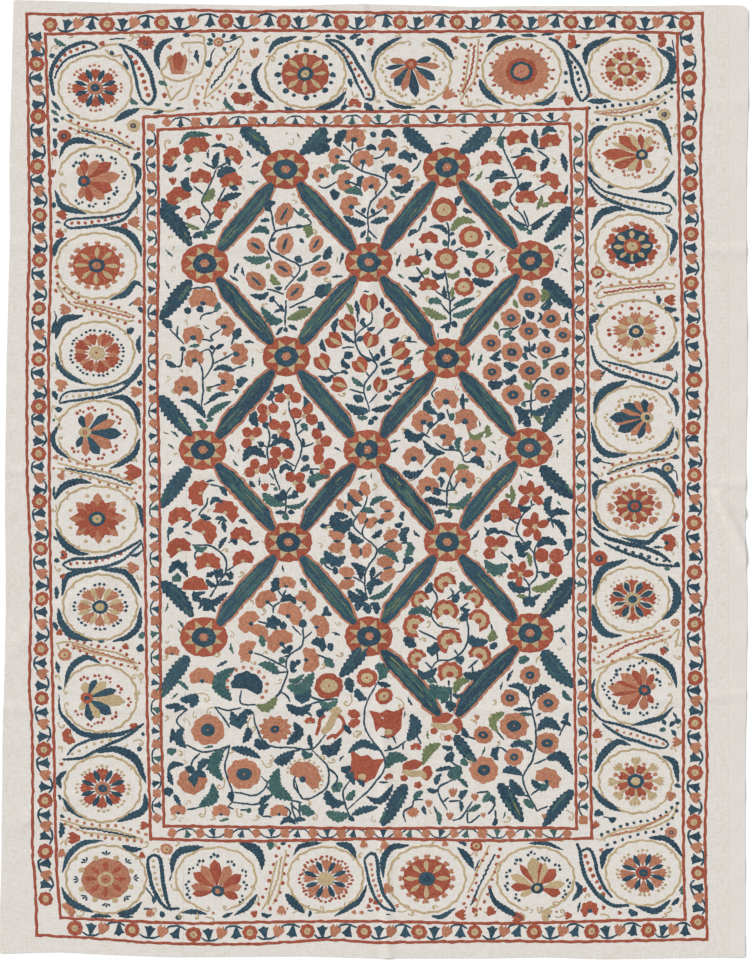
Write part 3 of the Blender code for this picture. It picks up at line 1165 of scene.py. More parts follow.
@dataclass
class OuterVine:
    """The narrow outer border: red flowers, salmon buds and a stem that swings between them."""

    needle: Needle
    flower_size: float = 7.8
    heart_size: float = 3.9
    bud_size: float = 13.0
    leaf_length: float = 13.0
    leaf_width: float = 12.0
    stem_half: float = 1.2
    reach: float = 6.6

    def flower(self, at: complex) -> None:
        """Work one red flower with its gold heart."""
        size = self.flower_size * self.needle.between(0.93, 1.05)
        self.needle.disc(Thread.MADDER, at, size, size * 0.98, lobes=8, depth=0.05, rings=2)
        self.needle.disc(Thread.GOLD, at, self.heart_size, tier=1)
        self.needle.dot(Thread.MADDER, at, 1.0, tier=2)

    def link(self, start: complex, end: complex) -> None:
        """Work the stems, bud and leaves from one flower to the next."""
        along = (end - start) / abs(end - start)
        across = 1j * along * self.reach
        gap = abs(end - start)
        heading = math.degrees(cmath.phase(along))

        def place(share: float, side: float) -> complex:
            return start + along * gap * share + across * side

        clear = (self.flower_size - 0.5) / gap
        low = [place(clear, -0.5)] + [place(*at) for at in LOW_STEM]
        self.needle.line(Thread.INDIGO, np.array(low), self.stem_half)
        self.needle.crown(Thread.INDIGO, place(0.27, -1.0), heading + 90 + self.needle.between(-12, 12),
                          self.leaf_length, self.leaf_width)
        self.needle.bud(Thread.SALMON, place(0.45, -0.75), heading + 68, self.bud_size)
        high = [place(*at) for at in HIGH_STEM] + [place(1 - clear, 0.55)]
        self.needle.line(Thread.INDIGO, np.array(high), self.stem_half)
        self.needle.crown(Thread.INDIGO, place(0.755, 0.95), heading - 98 + self.needle.between(-12, 12),
                          self.leaf_length, self.leaf_width)

    def stitch(self) -> None:
        """Work all four sides."""
        for side in OUTER_FLOWERS:
            places = [spot(across, down) for across, down in side]
            for place in places:
                self.flower(place)
            for start, end in zip(places, places[1:]):
                self.link(start, end)
        for start, end in OUTER_CORNERS:
            self.link(spot(*start), spot(*end))


# The outer vine's two stems between flowers: shares of the gap, shares of the vine's reach
LOW_STEM = ((0.20, -1.0), (0.34, -1.0), (0.46, -0.55))
HIGH_STEM = ((0.54, 0.35), (0.60, 0.95), (0.74, 1.08))

# The outer border's red flowers on the chart: top, right, bottom, left
OUTER_FLOWERS = (
    ((50, 24.7), (107, 24), (162, 22.5), (226, 21), (284, 21.5), (341, 22), (400, 22), (457, 22),
     (515, 22), (571, 22), (629, 22.5), (686.5, 23)),
    ((689, 78), (689, 133), (690, 184), (691, 234), (691, 283), (693, 331), (694, 380), (693, 428),
     (694.5, 475), (694, 523), (694.5, 572), (694.5, 624), (695, 678), (695, 723), (695, 772.6),
     (694, 822), (698, 873), (698, 922)),
    ((75, 928), (132.3, 929.7), (193.7, 934.4), (250, 932.5), (307.4, 931), (364, 931.5), (419, 932),
     (474.8, 932), (534.3, 931.5), (591.7, 931.3), (648.3, 930)),
    ((36.7, 64), (38.3, 116.4), (37.5, 166.6), (39.9, 215), (39.4, 260), (39, 308.6), (38.7, 359.6),
     (39, 406.6), (38.7, 453.7), (39.5, 501.5), (40.7, 548.6), (41.8, 598.8), (41.1, 649),
     (41.8, 698.4), (43.8, 749.5), (45.4, 800.5), (45.4, 851.5), (45.8, 898.6)),
)
OUTER_CORNERS = (
    ((36.5, 26), (36.7, 64)),
    ((687, 23), (689, 78)),
    ((648.3, 930), (698, 930)),
)


@dataclass
class InnerVine:
    """The narrow inner border: small salmon flowers, one leaf and one bend of stem between two."""

    needle: Needle
    flower_size: float = 5.0
    leaf_length: float = 9.0
    leaf_width: float = 8.6
    stem_half: float = 0.95
    reach: float = 4.0

    def flower(self, at: complex, angle: float) -> None:
        """Work one small lobed flower."""
        size = self.flower_size * self.needle.between(0.9, 1.1)
        self.needle.disc(Thread.SALMON, at, size, size, lobes=4, depth=0.13, turn=angle)

    def link(self, start: complex, end: complex, side: int) -> None:
        """Work one bend of the stem with its leaf, on one side."""
        along = (end - start) / abs(end - start)
        across = 1j * along * self.reach * side
        gap = abs(end - start)
        heading = math.degrees(cmath.phase(along))
        points = [start + along * gap * 0.14, start + along * gap * 0.32 + across,
                  start + along * gap * 0.66 + across, end - along * gap * 0.14]
        self.needle.line(Thread.INDIGO, np.array(points), self.stem_half)
        thread = (Thread.INDIGO, Thread.INDIGO, Thread.TEAL)[int(self.needle.between(0, 3))]
        root = start + along * gap * self.needle.between(0.44, 0.54) + across * 0.9
        self.needle.crown(thread, root, heading - side * (90 + self.needle.between(-20, 20)),
                          self.leaf_length, self.leaf_width)

    def stitch(self) -> None:
        """Work all four sides, the flowers evenly between their ends."""
        side = 1
        for start, end, count in INNER_RUNS:
            line = paced(smooth_line(spots((start, end)), 4.0), np.linspace(0, 1, count))
            for i, place in enumerate(line):
                self.flower(place, 40 * i)
                if i:
                    self.link(line[i - 1], place, side)
                    side = -side


# The inner border's runs on the chart, and how many flowers each has
INNER_RUNS = (
    ((167, 122.5), (566, 117), 15),
    ((578, 127.5), (583.5, 820), 29),
    ((567, 833.5), (172, 833), 15),
    ((157, 818), (151, 127.5), 29),
)


# Short names for the threads, as the tables below use them
M, S, G = Thread.MADDER, Thread.SALMON, Thread.GOLD
B, T, O = Thread.INDIGO, Thread.TEAL, Thread.OLIVE


@dataclass
class Lattice:
    """The field's lattice: red rosettes with gold stars, joined by long dark leaves."""

    needle: Needle
    half_across: float = 24.0
    half_along: float = 20.0
    ring_across: float = 12.4
    ring_along: float = 10.4
    heart_across: float = 4.8
    heart_along: float = 4.2
    leaf_width: float = 16.0
    root_gap: float = 19.0
    tip_gap: float = 19.0
    streaks: int = 20

    def rosette(self, centre: complex) -> None:
        """Work one rosette."""
        needle = self.needle
        squeeze = self.half_along / self.half_across
        needle.disc(M, centre, self.half_across, self.half_along, lobes=16, depth=0.014, rings=3)
        turn = needle.between(-3, 3) + 22.5
        for i in range(8):
            angle = turn + 45 * i
            wedge = np.array(STAR_WEDGE) * turned(angle)
            needle.pad(G, squeezed(wedge, squeeze), centre, 0.0, 1, grain=angle)
        needle.disc(B, centre, self.ring_across, self.ring_along, tier=2, rings=2)
        needle.disc(S, centre, self.heart_across, self.heart_along, lobes=6, depth=0.06, tier=3)
        needle.dot(Thread.COTTON, centre, 1.0, tier=4)

    def long_leaf(self, start: complex, end: complex) -> None:
        """Work one long leaf, its streaks and its outline, from a rosette to a lower one."""
        needle = self.needle
        run = end - start
        along = run / abs(run)
        bow = 1j * along * needle.between(-1.5, 1.5)
        root, tip = start + along * self.root_gap, end - along * self.tip_gap
        curve = smooth_line(np.array([root, (root + tip) / 2 + bow, tip]), 1.5)
        shares = np.linspace(0, 1, 26)
        middle = paced(curve, shares)
        uneven = 1 + needle.chance.uniform(-0.05, 0.05, len(shares))
        full = self.leaf_width / 2 * uneven
        upper = full * np.minimum(1, 0.45 + 2.6 * shares) * np.minimum(1, 0.12 + 4.2 * (1 - shares))
        lower = full * np.minimum(1, 0.35 + 3.5 * shares) * np.minimum(1, 0.74 + 2.0 * (1 - shares))
        left, right = (upper, lower) if run.real > 0 else (lower, upper)
        needle.basket.layer(needle.region, B).band(middle, left, right, crowned=True)
        slim = side_steps(middle)
        needle.basket.claims.claim(middle + slim * (left - right) / 2, (left + right) / 2)
        for i in range(self.streaks):
            self.streak(middle, slim, (left + right) / 2, O if i % 3 == 0 else T)
        rim = np.concatenate([middle + slim * (left + 0.7), (middle - slim * (right + 0.7))[::-1]])
        rim = rim + slim.mean() * needle.chance.uniform(-0.6, 0.6, len(rim))
        outline = needle.basket.layer(needle.region, S)
        outline.band(rim, needle.chance.uniform(0.9, 1.7, len(rim)), closed=True)
        needle.basket.claims.claim(rim, 1.0)

    def streak(self, middle: Line, slim: Line, half: Line, thread: Thread) -> None:
        """Work one lighter streak along a leaf."""
        needle = self.needle
        begin = needle.between(0.04, 0.70)
        length = needle.between(0.18, 0.42)
        off = needle.between(-0.68, 0.68) if thread is T else needle.between(-0.25, 0.35)
        line = paced(middle + slim * half * off, np.linspace(begin, min(0.97, begin + length), 7))
        broad = needle.between(0.8, 1.6) if thread is T else needle.between(0.5, 1.0)
        width = broad * np.array([0.2, 0.8, 1.1, 0.8, 1, 0.7, 0.2])
        needle.basket.layer(needle.region, thread).band(line, width, height=0.0003, tier=1.9)

    def edge_leaf(self, start: tuple[float, float], end: tuple[float, float], width: float) -> None:
        """Work one plain toothed leaf that leans from the frame."""
        needle = self.needle
        root, tip = spot(*start), spot(*end)
        bow = 1j * (tip - root) / abs(tip - root) * needle.between(-3, 3)
        teeth = max(5, round(abs(tip - root) / 5.0))
        line = np.array([root, (root + tip) / 2 + bow, tip])
        middle = needle.leaf(B, line, width, teeth, bite=0.26, blunt=0.45, fullness=0.8)
        slim = side_steps(middle)
        half = np.full(len(middle), 0.36 * width)
        for i in range(6):
            self.streak(middle, slim, half, O if i % 4 == 0 else T)

    def stitch(self) -> None:
        """Work the whole lattice."""
        rows = [[spot(*place) for place in row] for row in ROSETTES]
        for row, below in zip(rows, rows[1:]):
            for start in row:
                for end in below:
                    if abs((end - start).real) < 110:
                        self.long_leaf(start, end)
        for start, end in LOW_LEAVES:
            self.long_leaf(spot(*start), spot(*end))
        for start, end, width in EDGE_LEAVES:
            self.edge_leaf(start, end, width)
        for row in rows:
            for centre in row:
                self.rosette(centre)


# The lattice's rosettes on the chart, row by row
ROSETTES = (
    ((285.4, 169.3), (446.9, 167.4)),
    ((204.9, 263.6), (368.8, 262.3), (530.3, 260.7)),
    ((286.4, 356.4), (446.9, 358.3)),
    ((202.8, 450), (367.2, 449.7), (529, 448)),
    ((288.3, 542.2), (447.4, 541.9)),
    ((203.8, 637), (368.8, 636.3), (530, 633)),
)

# The lattice's last two leaves, which end in the open field
LOW_LEAVES = (
    ((368.8, 636), (454, 728)),
    ((530, 633), (442, 728)),
)

# Plain toothed leaves by the field's frame: root, tip and width
EDGE_LEAVES = (
    ((241, 127), (270, 155), 18), ((326, 128), (300, 154), 17), ((404, 128), (432, 153), 17),
    ((490, 127), (460, 153), 18), ((160, 208), (191, 246), 18), ((191, 280), (160, 320), 18),
    ((159, 396), (192, 436), 18), ((190, 467), (161, 508), 18), ((161, 582), (193, 617), 18),
    ((189, 656), (161, 697), 17), ((571, 207), (545, 242), 18), ((543, 279), (573, 308), 18),
    ((573, 388), (543, 432), 19), ((541, 466), (573, 498), 18), ((574, 578), (541, 618), 20),
    ((543, 650), (574, 687), 20), ((406, 784), (382, 826), 17), ((455, 735), (476, 762), 14),
    ((499, 783), (523, 822), 16), ((573, 790), (543, 827), 15), ((368, 640), (340, 677), 17),
)


class Head(Enum):
    """The kinds of flower in the field's sprays."""

    CARNATION = "carnation"
    POPPY = "poppy"
    COIN = "coin"
    DAISY = "daisy"
    STAR = "star"
    DOME = "dome"
    CAP = "cap"
    FAN = "fan"
    HORSESHOE = "horseshoe"
    DROP = "drop"
    TULIP = "tulip"
    TRIPLE = "triple"
    FIVE = "five"
    LOBED = "lobed"
    FRINGED = "fringed"
    BELL = "bell"
    BUD = "bud"


@dataclass(frozen=True)
class Bloom:
    """A kind of round flower: its half sizes in squares, how far round it goes, and its heart.

    Its edge runs from -reach to +reach degrees round the direction that it faces, and its two
    ends meet at the neck. What is drawn in to the inner share of its size is gold.
    """

    across: float
    along: float
    reach: float = 180.0
    lobes: float = 9.0
    depth: float = 0.05
    neck: float = 0.0
    heart: Thread | None = None
    heart_at: float = 0.0
    heart_size: float = 3.0
    inner: float = 0.0
    knot: Thread | None = None

    def rim(self, needle: Needle, size: float) -> Line:
        """Return its edge, a little different each time."""
        count = max(24, round(4 * self.lobes * self.reach / 180))
        angles = np.radians(np.linspace(-self.reach, self.reach, count, endpoint=self.reach < 180))
        wavy = 1 + self.depth * np.cos(self.lobes * angles + needle.between(0, 6))
        wavy += needle.chance.uniform(-0.05, 0.05, count)
        edge = size * wavy * (self.along * np.cos(angles) + 1j * self.across * np.sin(angles))
        return np.append(edge, size * self.neck) if self.reach < 180 else edge

    def stitch(self, needle: Needle, thread: Thread, at: complex, heading: float, size: float) -> None:
        """Work one such flower."""
        rim = self.rim(needle, size)
        needle.pad(thread, rim, at, heading, rings=2)
        if self.inner:
            needle.pad(G, rim * self.inner, at, heading, 1)
        middle = at + self.heart_at * size * turned(heading)
        if self.heart is not None:
            extent = self.heart_size * size
            needle.disc(self.heart, middle, extent * needle.between(1.0, 1.2), extent * 0.9, tier=2)
        if self.knot is not None:
            needle.dot(self.knot, middle, 1.5, tier=3)


BLOOMS = {
    Head.CARNATION: Bloom(11.2, 8.6, 132, 7, 0.09, -4, Thread.GOLD, -2.4, 2.5),
    Head.POPPY: Bloom(10.6, 9.8, 146, 8, 0.07, -1.5, Thread.INDIGO, -1.6, 2.9),
    Head.DAISY: Bloom(9.9, 10.7, 180, 9, 0.035, heart=Thread.INDIGO, heart_size=4.7, knot=Thread.SALMON),
    Head.COIN: Bloom(8.9, 9.8, 180, 9, 0.035, heart=Thread.GOLD, heart_size=5.3, knot=Thread.MADDER),
    Head.STAR: Bloom(10.0, 12.0, 180, 12, 0.13, heart=Thread.INDIGO, heart_size=3.4, knot=Thread.SALMON),
    Head.DOME: Bloom(11.2, 10.2, 124, 9, 0.07, -2, Thread.GOLD, -0.6, 1.9),
    Head.CAP: Bloom(11.5, 12.0, 90, 3, 0.02),
    Head.FAN: Bloom(11.4, 9.6, 128, 8, 0.06, -3.5, Thread.INDIGO, -2.6, 2.1),
    Head.HORSESHOE: Bloom(11.0, 10.2, 136, 9, 0.05, -1, Thread.MADDER, -0.8, 3.1, inner=0.66),
}


def path(row: Sequence[float]) -> Line:
    """Return a row of chart numbers, across and down by turns, as places."""
    return spots(list(zip(row[::2], row[1::2])))


@dataclass(frozen=True)
class Spray:
    """A sprig of the field or a border side, placed on the chart.

    Attributes:
        heads: its flowers by kind and thread, each with its place, the direction that it faces
            and its size as a share of the usual.
        stems: the places that each stem passes.
        leaves: each dark leaf's root, middle and tip, and its width.
        olive: the same for the light green leaves.
        curls: each gold tendril's root, first direction, length and the side that it winds to.
        stem_half: half the width of its stems.
        leaf_swell: how much wider its leaves are than their rows say.
    """

    heads: tuple[tuple[Head, Thread, tuple[tuple[float, ...], ...]], ...]
    stems: tuple[tuple[float, ...], ...]
    leaves: tuple[tuple[float, ...], ...]
    olive: tuple[tuple[float, ...], ...] = ()
    curls: tuple[tuple[float, ...], ...] = ()
    stem_half: float = 1.1
    leaf_swell: float = 1.25

    def stitch(self, needle: Needle) -> None:
        """Work the flowers, the stems, the leaves and the tendrils."""
        for kind, thread, rows in self.heads:
            for across, down, heading, size in rows:
                self.stitch_head(needle, kind, thread, spot(across, down), heading, size)
        for row in self.stems:
            needle.line(B, path(row), self.stem_half)
        for row in self.leaves:
            self.stitch_leaf(needle, B if needle.between(0, 1) < 0.78 else T, row)
        for row in self.olive:
            self.stitch_leaf(needle, O, row)
        for across, down, heading, size, side in self.curls:
            needle.curl(spot(across, down), heading, size, int(side), half=0.78)

    def stitch_leaf(self, needle: Needle, thread: Thread, row: Sequence[float]) -> None:
        """Work one leaf, toothed if it is long."""
        line, width = path(row[:6]), row[6]
        length = float(np.abs(np.diff(line)).sum())
        teeth = round(length / 3.8) if length > 9 else 0
        needle.leaf(thread, line, width * self.leaf_swell, teeth, bite=0.28, fullness=needle.between(0.75,
        1.15),
                    lean=needle.between(-0.35, 0.35), blunt=0.62)

    def stitch_head(self, needle: Needle, kind: Head, thread: Thread, at: complex, heading: float,
                    size: float) -> None:
        """Work one flower."""
        if kind in BLOOMS:
            BLOOMS[kind].stitch(needle, thread, at, heading, size)
            return
        {
            Head.DROP: drop, Head.TULIP: tulip, Head.TRIPLE: triple, Head.FIVE: five,
            Head.LOBED: lobed, Head.FRINGED: fringed, Head.BELL: bell, Head.BUD: small_bud,
        }[kind](needle, thread, at, heading, size)


def drop(needle: Needle, thread: Thread, at: complex, heading: float, size: float) -> None:
    """Work an oval flower with a dark slash along it."""
    needle.pad(thread, disc_outline(10.4 * size, 7.6 * size, 36, 9, 0.04), at, heading, rings=2)
    needle.pad(B, disc_outline(6.2 * size, 1.9, 18), at, heading, tier=1)


def tulip(needle: Needle, thread: Thread, at: complex, heading: float, size: float) -> None:
    """Work a tulip: two red petals with a gold one between them."""
    root = at - 8.5 * size * turned(heading)
    for side in (-1, 1):
        needle.petal(thread, root, heading + side * 15, 19.0 * size, 12.0 * size, fullness=1.15)
    needle.petal(G, root, heading, 15.5 * size, 5.0 * size, tier=1, fullness=1.1)


def loose_petals(needle: Needle, thread: Thread, at: complex, heading: float, size: float,
                 offs: Sequence[float]) -> None:
    """Work a flower of separate petals, each at its own angle, round a gold heart."""
    for off in offs:
        angle = heading + off + needle.between(-9, 9)
        root = at + 1.8 * size * turned(angle)
        width = needle.between(4.8, 5.6) * size * min(1, 3.6 / len(offs))
        outline = 5.6 * size + disc_outline(5.6 * size, width, 20, 5, 0.05, needle.between(0, 70))
        needle.pad(thread, outline, root, angle)
    needle.disc(G, at, 2.5, 2.9, tier=1)


def triple(needle: Needle, thread: Thread, at: complex, heading: float, size: float) -> None:
    """Work a flower of three petals."""
    loose_petals(needle, thread, at, heading, size, (-88, 0, 88))


def five(needle: Needle, thread: Thread, at: complex, heading: float, size: float) -> None:
    """Work a flower of five petals."""
    loose_petals(needle, thread, at, heading, size, (-128, -64, 0, 64, 128))


def lobed(needle: Needle, thread: Thread, at: complex, heading: float, size: float) -> None:
    """Work a flower of two wide lobes with a short dark bar between them."""
    for side in (-1, 1):
        outline = disc_outline(7.6 * size, 4.9 * size, 28, 7, 0.08, needle.between(0, 50))
        needle.pad(thread, outline, at + 5.6 * size * turned(heading + side * 78), heading + side * 16)
    needle.petal(B, at - 4.0 * size * turned(heading), heading, 8.5 * size, 2.9, tier=1, fullness=1.2)


def fringed(needle: Needle, thread: Thread, at: complex, heading: float, size: float) -> None:
    """Work a wide half flower with a fringe of small petals, gold on a light one."""
    dark = thread is B
    outline = Bloom(16.0, 13.5, 122, 9, 0.03, -4.0).rim(needle, size)
    needle.pad(thread, outline, at, heading, rings=2)
    for off in np.linspace(-116, 116, 11 if dark else 15):
        edge = 13.5 * math.cos(math.radians(off)) + 16j * math.sin(math.radians(off))
        root = at + size * (1.10 if dark else 1.0) * edge * turned(heading)
        length = 4.6 if dark else 3.2
        needle.petal(S if dark else G, root, heading + off, length, length * 0.95, fullness=1.3)
    if not dark:
        needle.disc(B, at - 4.0 * turned(heading), 3.6, tier=1)


def bell(needle: Needle, thread: Thread, at: complex, heading: float, size: float) -> None:
    """Work a large bell that flares to four points, with a gold root."""
    half = np.array([-11.5 - 3.5j, -5 - 11j, 5 - 12.2j, 13 - 15j, 10 - 5.5j])
    outline = np.concatenate([half, [12.2], half[::-1].conjugate()])
    needle.pad(thread, outline * size, at, heading, rings=2)
    needle.disc(G, at - 6.5 * size * turned(heading), 4.4, 3.4, tier=1)


def small_bud(needle: Needle, thread: Thread, at: complex, heading: float, size: float) -> None:
    """Work a small lobed bud from its neck."""
    needle.bud(thread, at, heading, 10 * size)


